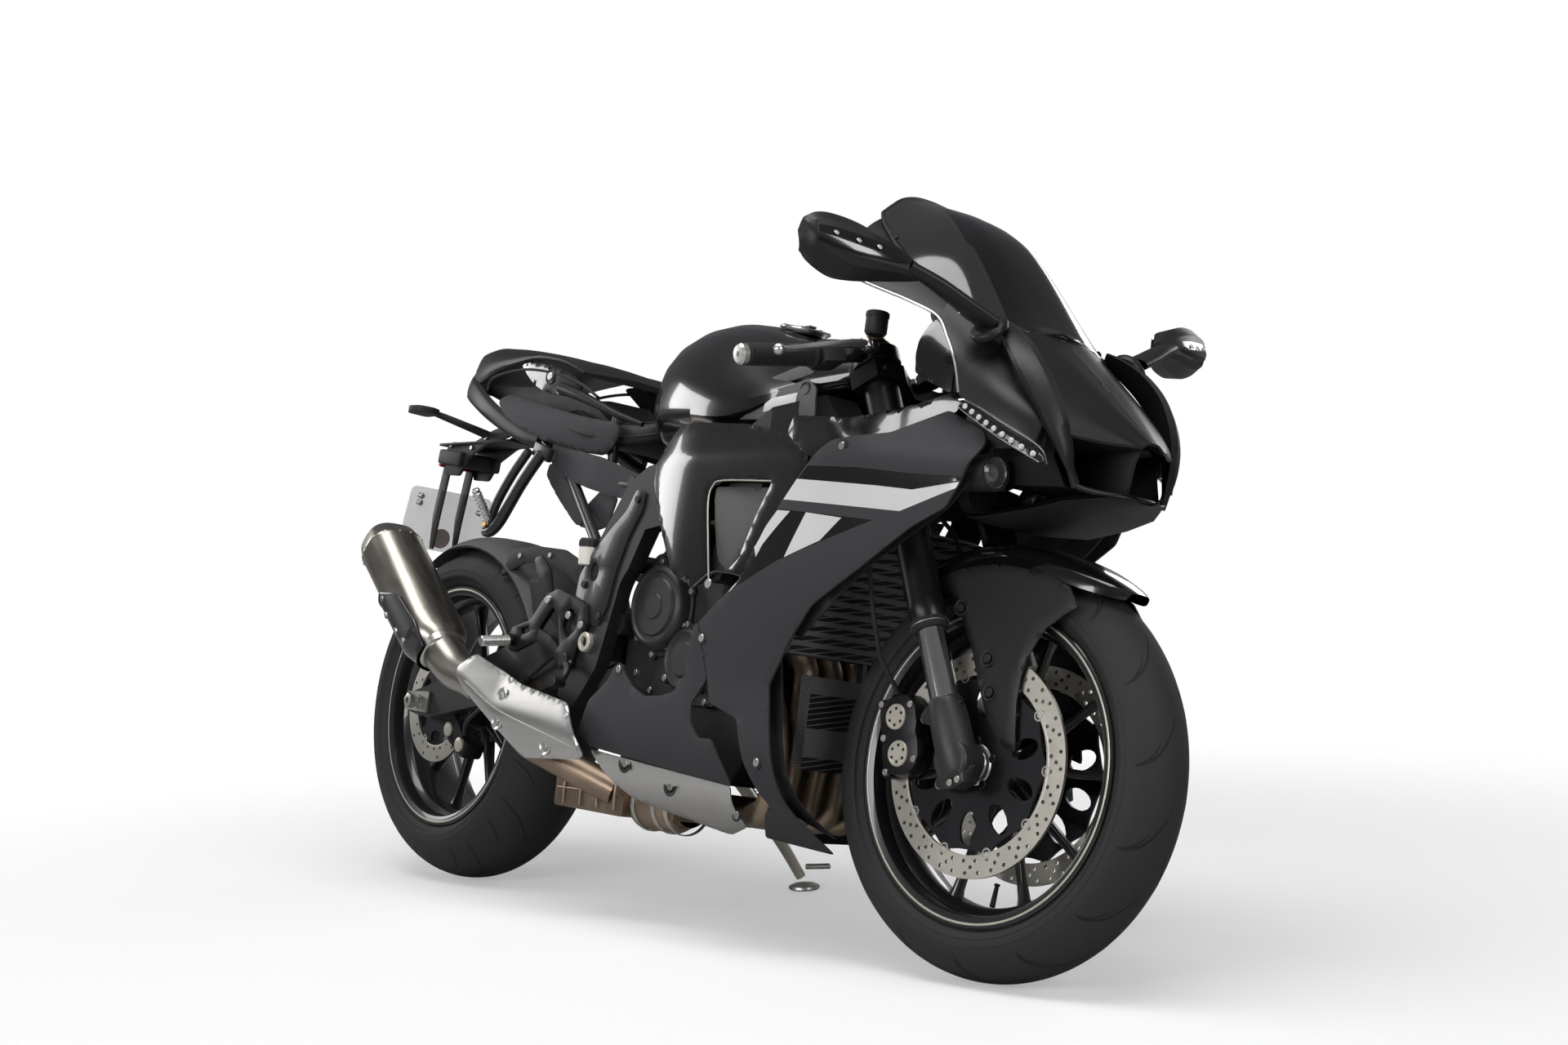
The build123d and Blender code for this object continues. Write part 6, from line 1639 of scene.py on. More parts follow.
def mirrors():
    """Mirror heads with their glasses, stalks and indicators."""
    heads, glasses, stalks, lenses, leds = (Shape() for _ in range(5))
    inner = MIRROR_ROWS[1:-1]
    for side in (-1, 1):
        heads.join(lofted([mirror_section(side, row)[0] for row in MIRROR_ROWS], around=1, along=5))
        ring = [(y, rear, high - 7) for y, _, rear, _, high in inner]
        ring += [(y, rear, low + 7) for y, _, rear, low, _ in reversed(inner)]
        pts = [Vector((WHEELBASE + rear - 0.9, side * y, z)) for y, rear, z in ring]
        centre = sum(pts, Vector()) / len(pts)
        glasses.add([centre] + pts, [[0, 1 + i, 1 + (i + 1) % len(pts)] for i in range(len(pts))])
        curve = spline([(1438, side * 150, 916), (1428, side * 190, 934), (1414, side * 235, 956),
                        (1398, side * 275, 972)], 6)
        rows = []
        for i, p in enumerate(curve):
            t = i / (len(curve) - 1)
            ahead = heading(curve, i)
            across = ahead.cross(Vector(UP)).normalized()
            up = across.cross(ahead)
            wide, high = 27 - 12 * t, 11 - 2 * t
            rows.append([p + across * wide * math.cos(a) + up * high * math.sin(a) for a in angles(16)])
        stalks.join(sheet_grid(rows, close_row=True))
        stalks.join(lathe([(-6, 27), (0, 29), (5, 26), (8, 18), (8, 0.1)], (1437, side * 148, 908),
                          (0.1, side * 0.7, 0.7), 32, closed=False))
        face_rows, cells = [], []
        for row in inner:
            _, tip, brow, cheek = mirror_section(side, row)
            line = tip + (brow - tip) * 0.3
            face_rows.append([tip + (brow - tip) * 0.62, line, tip, tip + (cheek - tip) * 0.5])
            if 320 < row[0] < 400:
                cells.append(line + Vector((1.0, 0, 0.4)))
        lenses.join(sheet_grid(face_rows))
        for at in cells:
            leds.join(lathe([(0, 4.2), (1.4, 3.6), (2.2, 0.1)], at, (0.8, 0, 0.6), 20, closed=False))
    piece("mirror_heads", heads, SATIN, replaces="mirrors", smooth=24)
    piece("mirror_glasses", glasses, MIRROR)
    piece("mirror_stalks", stalks, SATIN, smooth=60)
    piece("mirror_indicators", lenses, FIELD, smooth=50)
    piece("mirror_indicator_cells", leds, LIGHT)


def front_lamps():
    """Round projector lamps in their shrouds, strip lamps, and the horn's ring."""
    shrouds, glass, bowls, cores, rings = (Shape() for _ in range(5))
    for side in (-1, 1):
        at = Vector((WHEELBASE + 30, side * 128, 706))
        shrouds.join(lathe([(-44, 20), (-30, 25), (18, 27), (24, 26.5), (24, 23.5), (18, 22.5), (-10, 20),
                            (-44, 18)], at, AHEAD, 48))
        bowls.join(lathe([(21, 22.6), (14, 21), (4, 16), (-4, 9), (-6, 0.1)], at, AHEAD, 48, closed=False))
        cores.join(lathe([(2, 0.1), (14, 4), (17, 8), (16, 12.5), (10, 14), (0, 14)], at, AHEAD, 40,
                         closed=False))
        glass.join(lathe([(21.8, 23.2), (25, 18), (27.5, 10), (28.2, 0.1)], at, AHEAD, 48, closed=False))
        rings.join(lathe([(18, 22.6), (20, 23.4), (22, 22.6), (20, 21.6)], at, AHEAD, 48))
        bracket = slab([(WHEELBASE - 14, 690), (WHEELBASE + 40, 684), (WHEELBASE + 44, 728),
                        (WHEELBASE - 10, 736)], side * 94, side * 99)
        shrouds.join(bracket)
    piece("lamp_shrouds", shrouds, BLACK, replaces="front_lamps")
    piece("lamp_bowls", bowls, CHROME)
    piece("lamp_cores", cores, LIGHT)
    piece("lamp_glasses", glass, GLASS)
    piece("lamp_rings", rings, STEEL)
    strips, edges, leds = Shape(), Shape(), Shape()
    outline = [(1424, 800), (1440, 797), (1500, 766), (1546, 736), (1556, 712), (1548, 716), (1500, 744),
               (1440, 780), (1422, 792)]
    for side in (-1, 1):
        strips.join(panel(outline, lambda x, z: side * (nose_width(x, z) + 1.0), 4, step=9, corner=3))
        edge = [(1424, 801), (1442, 798), (1502, 767), (1547, 737), (1556, 714)]
        edges.join(tube(along(edge, side, nose_width, 2.2), 1.6, 8, 5))
        low = [(1424, 792), (1440, 781), (1500, 745), (1548, 716)]
        edges.join(tube(along(low, side, nose_width, 2.0), 1.2, 8, 5))
        for k in range(9):
            t = k / 8
            x, z = 1436 + 104 * t, 791 - 65 * t
            out = Vector((nose_width(x - 8, z) - nose_width(x + 8, z), side * 16, 3)).normalized()
            at = Vector((x, side * nose_width(x, z), z)) + out * 3.4
            leds.join(lathe([(-1, 4.2), (0.8, 3.8), (1.6, 2.2), (1.8, 0.1)], at, out, 18, closed=False))
    piece("strip_lamps", strips, GLASS, smooth=50)
    piece("strip_lamp_edges", edges, CHROME)
    piece("strip_lamp_cells", leds, LIGHT)
    ring, cone = Shape(), Shape()
    for x, y, z, r in ((1352, -60, 690, 27), (1352, 64, 690, 20)):
        ring.join(lathe([(-22, r - 5), (-6, r - 1), (0, r), (3, r - 1.4), (1, r - 4)],
                        (x + 12, y, z), AHEAD, 44))
        for k in range(3):
            ring.join(lathe([(2 - k, r - 7 - 5 * k), (4 - k, r - 8 - 5 * k), (2 - k, r - 9 - 5 * k)],
                            (x + 12, y, z), AHEAD, 44))
        cone.join(lathe([(-1, r - 4), (-3, r * 0.5), (1.5, 6), (2.5, 0.1)], (x + 12, y, z), AHEAD, 44,
                        closed=False))
    piece("horn_rim", ring, DARK_STEEL)
    piece("horn_cone", cone, BLACK)


def instruments():
    """Instrument pod behind the screen, with its blank display."""
    turn, centre = Matrix.Rotation(math.radians(-35), 3, ACROSS), Vector((1262, 0, 932))
    piece("instrument_pod", block(centre, (22, 150, 100), turn, 9), BLACK, replaces="dash")
    face = block(centre + turn @ Vector((-11, 0, 0)), (1.6, 116, 76), turn, 0.7)
    piece("instrument_face", face, FIELD)
    buttons = Shape()
    for y in (-66, 66):
        for z in (-14, 10):
            at = centre + turn @ Vector((-11, y, z))
            buttons.join(lathe([(0, 5), (2.4, 4.6), (3, 0.1)], at, turn @ Vector((-1, 0, 0)), 20, closed=False))
    piece("instrument_buttons", buttons, RUBBER)


# --- exhaust --------------------------------------------------------------------------------
CAN_FRONT = Vector((176, -203, 396))
CAN_REAR = Vector((-98, -206, 622))
CAN_POINTS = 48
SHIELD_GAP = 6.0
CAN_SQUARE = 2.6


def can_at(along, wide, high, a):
    """Point on the muffler's rounded section, at an angle about its axis."""
    run = (CAN_REAR - CAN_FRONT).normalized()
    across = (Vector(ACROSS) - run * run.y).normalized()
    up = run.cross(across) * -1
    c, s = math.cos(a), math.sin(a)
    size = (abs(c) ** CAN_SQUARE + abs(s) ** CAN_SQUARE) ** (-1 / CAN_SQUARE)
    return CAN_FRONT + run * along + across * (wide * c * size) + up * (high * s * size)


def can_ring(along, wide, high):
    """Ring of points about the muffler at a distance from its front."""
    return [can_at(along, wide, high, a) for a in angles(CAN_POINTS)]


def towards_can(point):
    """The shield's inner face: a point moved towards the muffler's axis."""
    run = (CAN_REAR - CAN_FRONT).normalized()
    foot = CAN_FRONT + run * (point - CAN_FRONT).dot(run)
    return point - (point - foot).normalized() * 2.2


def exhaust():
    """Muffler with its shield, the pipe cover, and details on the collector and headers."""
    length = (CAN_REAR - CAN_FRONT).length
    can = sheet_grid([can_ring(*step) for step in ((26, 40, 37), (40, 50, 44), (56, 56.5, 47), (90, 57, 48.5),
        (length - 44, 57, 50), (length - 42, 58, 51), (length - 36, 58, 51), (length - 34, 57, 50),
        (length - 12, 52, 46), (length, 43, 38), (length + 3, 38, 33), (length + 1, 34, 30),
        (length - 18, 30, 27))], close_row=True)
    can.faces.append(list(range(CAN_POINTS)))
    can.mats.append(0)
    piece("muffler_can", can, TITANIUM, replaces="muffler", smooth=40)
    run = (CAN_REAR - CAN_FRONT).normalized()
    tip = lathe([(length - 60, 26), (length + 6, 26), (length + 7, 28), (length + 4, 29), (length - 20, 29)],
                CAN_FRONT, run, 48)
    piece("muffler_tip", tip, DARK_STEEL)
    # painted shade: a shadow-black disc inside the outlet stands in for the shade within the pipe
    core = lathe([(length - 58, 26), (length - 58, 0.1)], CAN_FRONT, run, 40, closed=False)
    piece("muffler_outlet_shade", core, SHADE_BLACK)
    rivets = Shape()
    ring, q = can_ring(length - 39, 58, 51), CAN_FRONT + run * (length - 39)
    for k in range(14):
        p = ring[int(CAN_POINTS * k / 14)]
        rivets.join(lathe([(-0.5, 3), (1, 2.6), (1.6, 0.1)], p, p - q, 14, closed=False))
    piece("muffler_rivets", rivets, STEEL)
    shield_rows = []
    for i in range(25):
        reach = 20 + 176 * i / 24
        wide = straight([(26, 42), (56, 56.5), (400, 57)])(reach) + SHIELD_GAP
        high = straight([(26, 39), (56, 47), (400, 50)])(reach) + SHIELD_GAP
        low_turn = straight([(20, 168), (60, 150), (150, 158), (196, 196)])(reach)
        high_turn = straight([(20, 318), (60, 330), (140, 318), (196, 250)])(reach)
        turns = [math.radians(low_turn + (high_turn - low_turn) * j / 24) for j in range(25)]
        shield_rows.append([can_at(reach, wide, high, a) for a in turns])
    shield = sheet_grid(shield_rows).lined(towards_can)
    piece("carbon_shield", shield, CARBON, replaces="heat_shield", smooth=60)
    rim = [shield_rows[i][0] for i in range(0, 25, 3)] + [shield_rows[24][j]
        for j in range(4, 24, 4)] + [shield_rows[i][24] for i in range(24, -1, -3)]
    piece("shield_rim", tube(rim, 1.8, 8, 4), CARBON)
    clamp = sheet_grid([can_ring(*step) for step in ((18, 36, 34), (20, 41, 39), (34, 44, 41), (36, 40, 38))],
                       close_row=True)
    piece("muffler_clamp", clamp, ALLOY)
    neck = tube([(300, -198, 350), (262, -200, 366), (214, -202, 380), CAN_FRONT + run * 30], 30, 32, 6,
                scale=lambda t: 0.95 + 0.35 * t)
    piece("muffler_neck", neck, TITANIUM)
    bolts = Shape()
    for reach, k in ((60, 26), (96, 27), (150, 28), (182, 26)):
        p = can_ring(reach, 62.5, 54.5)[k]
        q = CAN_FRONT + run * reach
        bolts.join(bolt(p, p - q, 6.5, 3.4))
    piece("shield_bolts", bolts, BOLTS)
    pipe_outline = [(291, 401), (304, 410), (330, 402), (460, 362), (608, 337), (632, 312), (676, 254),
                    (652, 246), (484, 239), (420, 274), (259, 361), (266, 384)]

    def pipe_bulge(x, z):
        mid = straight([(260, 384), (400, 322), (680, 288)])(x)
        return -(226 + 8 * math.exp(-((z - mid) / 34) ** 2) - 0.0022 * (z - mid) ** 2)

    cover = panel(pipe_outline, pipe_bulge, 2.4, step=12, corner=10)
    piece("pipe_cover", cover, BRUSHED, replaces="pipe_shield", smooth=60)
    crease = along(((300, 360), (400, 320), (500, 296), (600, 276), (660, 262)), 1, pipe_bulge, -0.4)
    piece("pipe_cover_crease", tube(crease, 1.6, 8, 4), BRUSHED)
    dishes, screws = Shape(), Shape()
    for x, z in ((420, 338), (410, 296), (560, 262)):
        y = pipe_bulge(x, z)
        dishes.join(lathe([(1, 16), (-1.2, 14.5), (0.3, 10), (1.2, 9)], (x, y, z), ACROSS, 36))
        screws.join(bolt((x, y + 1, z), (0, -1, 0), 7.5, 3))
    piece("pipe_cover_rings", dishes, BRUSHED)
    piece("pipe_cover_bolts", screws, BOLTS)
    ribs = Shape()
    for x in (470, 520, 570, 620):
        ribs.join(tube([(x, -112.5, 170), (x, -113.5, 195), (x, -112.5, 222)], 3, 8, 4))
    ribs.join(tube([(448, -113, 196), (540, -114, 196), (640, -113, 196)], 1.8, 8, 4))
    piece("box_ribs", ribs, BRONZE)
    round_can = lathe([(640, 40), (650, 46), (730, 46), (745, 40), (765, 34)], (0, -60, 190), AHEAD, 40)
    piece("collector_can", round_can, BRONZE)
    bands = Shape()
    for x in (662, 718, 752):
        bands.join(lathe([(x - 4, 46.5), (x - 3, 48.5), (x + 3, 48.5), (x + 4, 46.5)],
                         (0, -60, 190), AHEAD, 40))
    piece("collector_bands", bands, STEEL)
    bend = tube([(905, -60, 190), (985, -96, 196), (1030, -118, 214), (1040, -120, 262), (1020, -112, 330),
                 (985, -104, 392)], 20, 24, 7)
    piece("outer_header", bend, BRONZE)
    flanges = Shape()
    for y in (-75, -25, 25, 75):
        flanges.join(rod((984, y, 456), (992, y, 453), 24, edge=1))
    piece("header_flanges", flanges, STEEL)


mirrors()
front_lamps()
instruments()
exhaust()


# --- engine ---------------------------------------------------------------------------------
# places (x, z) of the round covers
CLUTCH, CRANK, GENERATOR, STARTER = (716, 508), (798, 424), (806, 430), (700, 520)


def ring_bolts(centre, radius, count, y, side, start, size):
    """Hex bolts round a cover, each on its boss."""
    heads, bosses = Shape(), Shape()
    for a in angles(count, start):
        at = (centre[0] + radius * math.cos(a), y, centre[1] + radius * math.sin(a))
        bosses.join(lathe([(-side * 6, size + 3.5), (side * 1.5, size + 3), (side * 2, size + 1),
                           (side * 2, 0.1)], at, ACROSS, 20, closed=False))
        heads.join(bolt((at[0], y + side * 1.5, at[2]), (0, side, 0), size, 4))
    return heads, bosses


def engine():
    """Clutch, crank and generator covers, oil cap, pivot ring, frame plates and sprocket cover."""
    covers, webs, bosses, bolts, rings, dark, plates, plate_hole_shades, screws = (Shape() for _ in range(9))
    clutch = [(-116, 80), (-124, 81), (-128, 80), (-129, 74), (-140, 71), (-147, 66), (-149, 60), (-146, 57),
              (-146, 50), (-149, 47), (-149, 22), (-151, 20), (-151, 0.1)]
    crank = [(-116, 60), (-126, 61), (-129, 59), (-130, 53), (-138, 50), (-141, 45), (-139, 42), (-139, 30),
             (-142, 27), (-142, 0.1)]
    generator = [(116, 76), (128, 77), (132, 75), (134, 68), (150, 64), (158, 56), (160, 48), (157, 45),
                 (157, 20), (160, 17), (160, 0.1)]
    starter = [(116, 40), (126, 41), (129, 38), (140, 34), (142, 28), (142, 0.1)]
    for profile, (x, z), count in ((clutch, CLUTCH, 72), (crank, CRANK, 64), (generator, GENERATOR, 72),
                                   (starter, STARTER, 48)):
        covers.join(lathe(profile, (x, 0, z), ACROSS, count, closed=False))
    covers.join(slab([(842, 500), (880, 520), (905, 500), (900, 455), (872, 436), (852, 452)], -132, -114))
    covers.join(lathe([(-132, 24), (-138, 22), (-142, 16), (-142, 0.1)], (872, 0, 480), ACROSS, 40,
                      closed=False))
    for k in range(7):
        a = 0.5 + 0.35 * k
        inner, outer = ((CLUTCH[0] + r * math.cos(a), y, CLUTCH[1] + r * math.sin(a)) for r,
                        y in ((80, -119), (96, -117)))
        webs.join(rod(inner, outer, 4, 2.5, 8))
    case = slab([(640, 430), (655, 380), (740, 352), (870, 352), (925, 392), (930, 470), (902, 540), (830, 575),
                 (770, 600), (700, 604), (650, 575), (632, 510)], -124, -113)
    covers.join(case)
    piece("engine_side_covers", covers, DARK_CAST, replaces="engine_covers", smooth=40)
    piece("cover_webs", webs, DARK_CAST)
    for centre, radius, count, y, side, turn, size in ((CLUTCH, 79, 9, -128, -1, 0.35, 5.4),
            (CRANK, 60, 7, -129, -1, 0.1, 5.8), (GENERATOR, 76, 10, 131, 1, 0.2, 5.2)):
        heads, feet = ring_bolts(centre, radius, count, y, side, turn, size)
        bolts.join(heads)
        bosses.join(feet)
    for x, z in ((655, 400), (700, 372), (760, 358), (850, 358), (905, 385), (917, 440), (888, 530), (835, 562),
                 (650, 560)):
        bolts.join(bolt((x, -123, z), (0, -1, 0), 5, 4))
        bosses.join(lathe([(-115, 9), (-124, 8.5), (-125, 6), (-125, 0.1)], (x, 0, z), ACROSS, 20,
                          closed=False))
    piece("cover_bosses", bosses, DARK_CAST)
    piece("cover_bolts", bolts, BOLTS)
    cap = lathe([(-122, 17), (-134, 17), (-136, 15), (-136, 6), (-146, 5.5), (-147, 4), (-147, 0.1)],
                (757, 0, 574), ACROSS, 36, closed=False)
    grip = block((757, -141, 574), (26, 11, 6), edge=1.6)
    piece("oil_cap", cap.join(grip), BLACK)
    for out in (-1, 1):
        at = (572, out * 172, 442)
        nut = [(0, 17), (out * 7, 17), (out * 9, 15), (out * 9, 10), (out * 4, 8), (0, 8)]
        rings.join(lathe(nut, at, ACROSS, 6 if out > 0 else 36))
        # painted shade: a shadow-black disc in each pivot nut stands in for the shade in its bore
        dark.join(lathe([(out * 3, 9), (out * 3, 0.1)], at, ACROSS, 24, closed=False))
    piece("pivot_nut_rings", rings, CREAM)
    piece("pivot_hollow_shades", dark, SHADE_BLACK)
    outline = [(522, 500), (530, 556), (560, 594), (604, 632), (646, 664), (668, 700), (694, 694), (690, 664),
               (660, 620), (634, 560), (620, 500), (600, 470), (560, 474), (534, 484)]
    hole = [(573 + 12 * math.cos(a), 561 + 16 * math.sin(a)) for a in angles(24)]
    for side in (-1, 1):
        low, high = sorted((side * 171, side * 175.5))
        plates.join(slab(rounded(outline, 9), low, high, holes=[hole]))
        # painted shade: a shadow-black sheet just inside each plate's hole stands in for the shade seen through
        # it
        plate_hole_shades.join(slab([(573 + (p[0] - 573) * 1.1, 561 + (p[1] - 561) * 1.1) for p in hole],
                       *sorted((side * 171.5, side * 172.6))))
        for x, z in ((540, 504), (548, 540), (676, 682), (602, 486)):
            screws.join(bolt((x, side * 175, z), (0, side, 0), 6.5, 4.5))
    piece("frame_plates", plates, FRAME_BLACK, bevel=1.6)
    piece("frame_plate_hollow_shades", plate_hole_shades, SHADE_BLACK)
    piece("frame_plate_bolts", screws, DARK_BOLTS)
    guard = slab(rounded([(590, 470), (600, 402), (660, 390), (706, 420), (716, 470), (680, 506), (620, 508)],
                         16), 124, 132)
    piece("sprocket_cover", guard, BLACK, bevel=3.0)
    hoses = tube([(880, -126, 510), (905, -134, 560), (950, -140, 596), (1010, -132, 600),
                  (1046, -120, 610)], 13, 16, 6)
    hoses.join(tube([(900, 110, 520), (940, 128, 590), (1000, 132, 640), (1050, 120, 660)], 13, 16, 6))
    piece("water_hoses", hoses, RUBBER)


# --- foot controls --------------------------------------------------------------------------
def ridged(pitch, start, count, shape):
    """Outline points of ridges along a peg: shape gives (along, radius) for one of them."""
    return [(start + k * pitch + along, radius) for k in range(count) for along, radius in shape]


def footwork():
    """Rearsets, pegs, levers, brake cylinder with its cup, and the passenger's pegs."""
    plates, screws, pegs, levers, knurls, gold = (Shape() for _ in range(6))
    outline = [(566, 506), (578, 474), (556, 440), (540, 398), (510, 392), (480, 420), (420, 440), (352, 418),
               (334, 430), (342, 462), (400, 476), (440, 520), (476, 532), (520, 520)]
    holes = [[(520, 500), (548, 488), (544, 462), (520, 446), (500, 470)],
             [(430, 462), (470, 450), (500, 430), (486, 486), (466, 500)],
             [(380, 450), (404, 456), (398, 466), (372, 460)]]
    for side in (-1, 1):
        low, high = sorted((side * 171, side * 180))
        plates.join(slab(rounded(outline, 8), low, high, holes=[rounded(h, 5) for h in holes]))
        for x, z in ((520, 486), (537, 407), (451, 512), (560, 470)):
            screws.join(bolt((x, side * 179.5, z), (0, side, 0), 7, 5))
        pegs.join(lathe([(side * 176, 9), (side * 184, 11), (side * 190, 10), (side * 190, 7.5)], (352, 0, 440),
                        ACROSS, 30, closed=False))
        run = (Vector((352, side * 240, 431)) - Vector((352, side * 176, 440))).normalized()
        start = Vector((352, side * 186, 439))
        ridges = ridged(3.2, 0, 18, [(0, 8.6), (0.9, 9.6), (2.0, 9.6), (2.8, 8.6)])
        knurls.join(lathe([(0, 0.1)] + ridges + [(58, 8.6), (60, 7), (60, 0.1)], start, run, 28, closed=False))
        levers.join(tube([(530, side * 184, 410), (548, side * 190, 396), (556, side * 200, 380),
                          (560, side * 214, 371)], 6, 12, 6))
        levers.join(lathe([(0, 5), (1, 8.5), (22, 8.5), (24, 6), (24, 0.1)], (560, side * 202, 370),
                          (0, side, 0), 22, closed=False))
        levers.join(lathe([(side * 178, 13), (side * 190, 13), (side * 192, 11), (side * 192, 0.1)],
                          (530, 0, 410), ACROSS, 28, closed=False))
        guard = rounded([(440, 512), (456, 520), (440, 566), (404, 592), (384, 584), (400, 552)], 8)
        plates.join(slab(guard, *sorted((side * 173, side * 177))))
        screws.join(bolt((452, side * 177, 514), (0, side, 0), 6, 4))
    piece("rearset_plates", plates, ANODISED, replaces="rearsets", bevel=1.6)
    piece("rearset_bolts", screws, BOLTS)
    piece("peg_joints", pegs, DARK_STEEL)
    piece("rider_pegs", knurls, ALLOY, smooth=25)
    piece("foot_levers", levers, DARK_STEEL)
    linkage = tube([(560, 182, 380), (610, 170, 420), (654, 150, 470)], 4.5, 12, 4)
    linkage.join(lathe([(0, 9), (10, 9)], (560, 178, 380), ACROSS, 20))
    linkage.join(lathe([(0, 9), (4, 12), (40, 12), (46, 9), (60, 8), (62, 0.1)], (528, -163, 470), (0.1, 0, 1),
                       28, closed=False))
    piece("foot_linkages", linkage, DARK_STEEL)
    cup = lathe([(572, 12), (574, 17), (600, 18), (606, 17)], (540, -168, 0), UP, 36)
    piece("reservoir_cup", cup, RESERVOIR)
    lid = lathe([(604, 18.5), (616, 18.5), (619, 16), (619, 0.1)], (540, -168, 0), UP, 36, closed=False)
    for a in angles(18):
        lid.join(block((540 + 18.6 * math.cos(a), -168 + 18.6 * math.sin(a), 610), (1.6, 1.6, 9), edge=0.4))
    piece("reservoir_lid", lid, BLACK)
    pipe = tube([(540, -168, 574), (540, -167, 556), (534, -164, 540), (530, -163, 528)], 5.5, 12, 6)
    piece("reservoir_hose", pipe, RUBBER)
    hangers, ribs, clevis = Shape(), Shape(), Shape()
    for side in (-1, 1):
        hangers.join(tube([(306, side * 138, 782), (262, side * 146, 726), (216, side * 151, 662),
                           (190, side * 152, 642), (170, side * 151, 640)], 10.5, 18, 6))
        hangers.join(tube([(262, side * 138, 790), (226, side * 146, 742), (190, side * 149, 690),
                           (176, side * 149, 652)], 8.5, 16, 6))
        hangers.join(block((300, side * 132, 786), (56, 12, 26), Matrix.Rotation(0.3, 3, "Y"), 4))
        clevis.join(block((184, side * 152, 655), (24, 20, 30), edge=3.5))
        profile = [(0, 0.1), (0, 7)] + ridged(7, 4, 9, [(0, 7.2), (1.5, 9.2), (5, 9.2), (6.4, 7.2)])
        profile += [(72, 8), (75, 6), (75, 0.1)]
        ribs.join(lathe(profile, (184, side * 153, 650), (0.02, side * 0.56, 0.83), 28, closed=False))
        gold.join(bolt((184, side * 163, 652), (0, side, 0), 6, 4))
    piece("passenger_hangers", hangers, FRAME_BLACK, replaces="passenger_pegs")
    piece("passenger_clevises", clevis, DARK_STEEL)
    piece("passenger_foot_pegs", ribs, ALLOY, smooth=25)
    piece("passenger_peg_bolts", gold, [GOLD, SHADE_BLACK])


# --- rear fender, caliper, plate holder -----------------------------------------------------
def hugger():
    """Rear fender over the tyre, with its arms and screws."""
    rows = []
    for i in range(33):
        sweep = math.radians(12 + 112 * i / 32)
        wide = 92 - 16 * abs((i - 14) / 18) ** 3
        row = []
        for across in span(-1, 1, 16):
            r = REAR_R + 11 - 26 * abs(across) ** 3.2
            row.append(Vector((r * math.cos(sweep), across * wide, REAR_R + r * math.sin(sweep))))
        rows.append(row)
    skin = sheet_grid(rows).lined(lambda p: REAR_AXLE + (p - REAR_AXLE) * (1 - 3.0 / REAR_R))
    arms = Shape()
    for side in (-1, 1):
        arm = [(320, 500), (360, 470), (372, 440), (352, 420), (310, 430), (290, 470), (250, 560), (290, 560)]
        arms.join(slab(rounded(arm, 9), *sorted((side * 92, side * 97))))
        crest = [(138, 566), (168, 616), (250, 622), (346, 614), (404, 592), (424, 548), (400, 548), (360, 572),
                 (300, 590), (220, 592), (170, 576)]
        arms.join(slab(rounded(crest, 7), *sorted((side * 86, side * 90))))
    piece("hugger_shell", skin, GREY, replaces="rear_hugger", smooth=60)
    piece("hugger_arms", arms, BLACK, bevel=1.5)
    screws = Shape()
    for side in (-1, 1):
        for x, z in ((352, 446), (310, 462), (300, 604), (200, 604)):
            screws.join(bolt((x, side * (97 if z < 500 else 90), z), (0, side, 0), 5, 3))
    piece("hugger_bolts", screws, BOLTS)


def rear_brake():
    """Rear caliper on its bracket with its hose, and the axle's nut and adjusters."""
    heads = Shape()
    body = block((108, -100, 254), (72, 44, 34), Matrix.Rotation(0.5, 3, "Y"), 8)
    bracket = [(0, 352), (34, 350), (66, 316), (104, 292), (132, 262), (120, 240), (92, 246), (60, 280),
               (10, 290), (-24, 300), (-30, 332)]
    body.join(slab(rounded(bracket, 8), -122, -112))
    for x, z in ((78, 274), (122, 248)):
        heads.join(lathe([(-120, 14), (-125, 13), (-126, 10), (-126, 0.1)], (x, 0, z), ACROSS, 30,
                         closed=False))
    piece("rear_caliper_body", body, ANODISED, replaces="rear_caliper")
    piece("rear_caliper_caps", heads, CREAM)
    nut = [(-146, 0.1), (-146, 9), (-150, 11), (-158, 11), (-160, 14), (-166, 15), (-172, 14), (-173, 10),
           (-173, 6), (-166, 5), (-166, 0.1)]
    metal = lathe(nut, REAR_AXLE, ACROSS, 6, closed=False)
    for side in (-1, 1):
        metal.join(slab(rounded([(-46, 304), (34, 300), (36, 340), (-44, 338)], 5),
                        *sorted((side * 144, side * 149))))
        metal.join(tube([(-44, side * 132, 320), (-66, side * 132, 320)], 4, 12, 2))
        metal.join(lathe([(0, 8), (6, 8)], (-60, side * 132, 320), AHEAD, 6))
    piece("axle_adjusters", metal, STEEL)
    hose = tube([(120, -112, 262), (170, -140, 292), (250, -148, 330), (360, -150, 372), (470, -158, 430),
                 (526, -163, 470)], 4, 10, 7)
    piece("rear_brake_hose", hose, RUBBER)


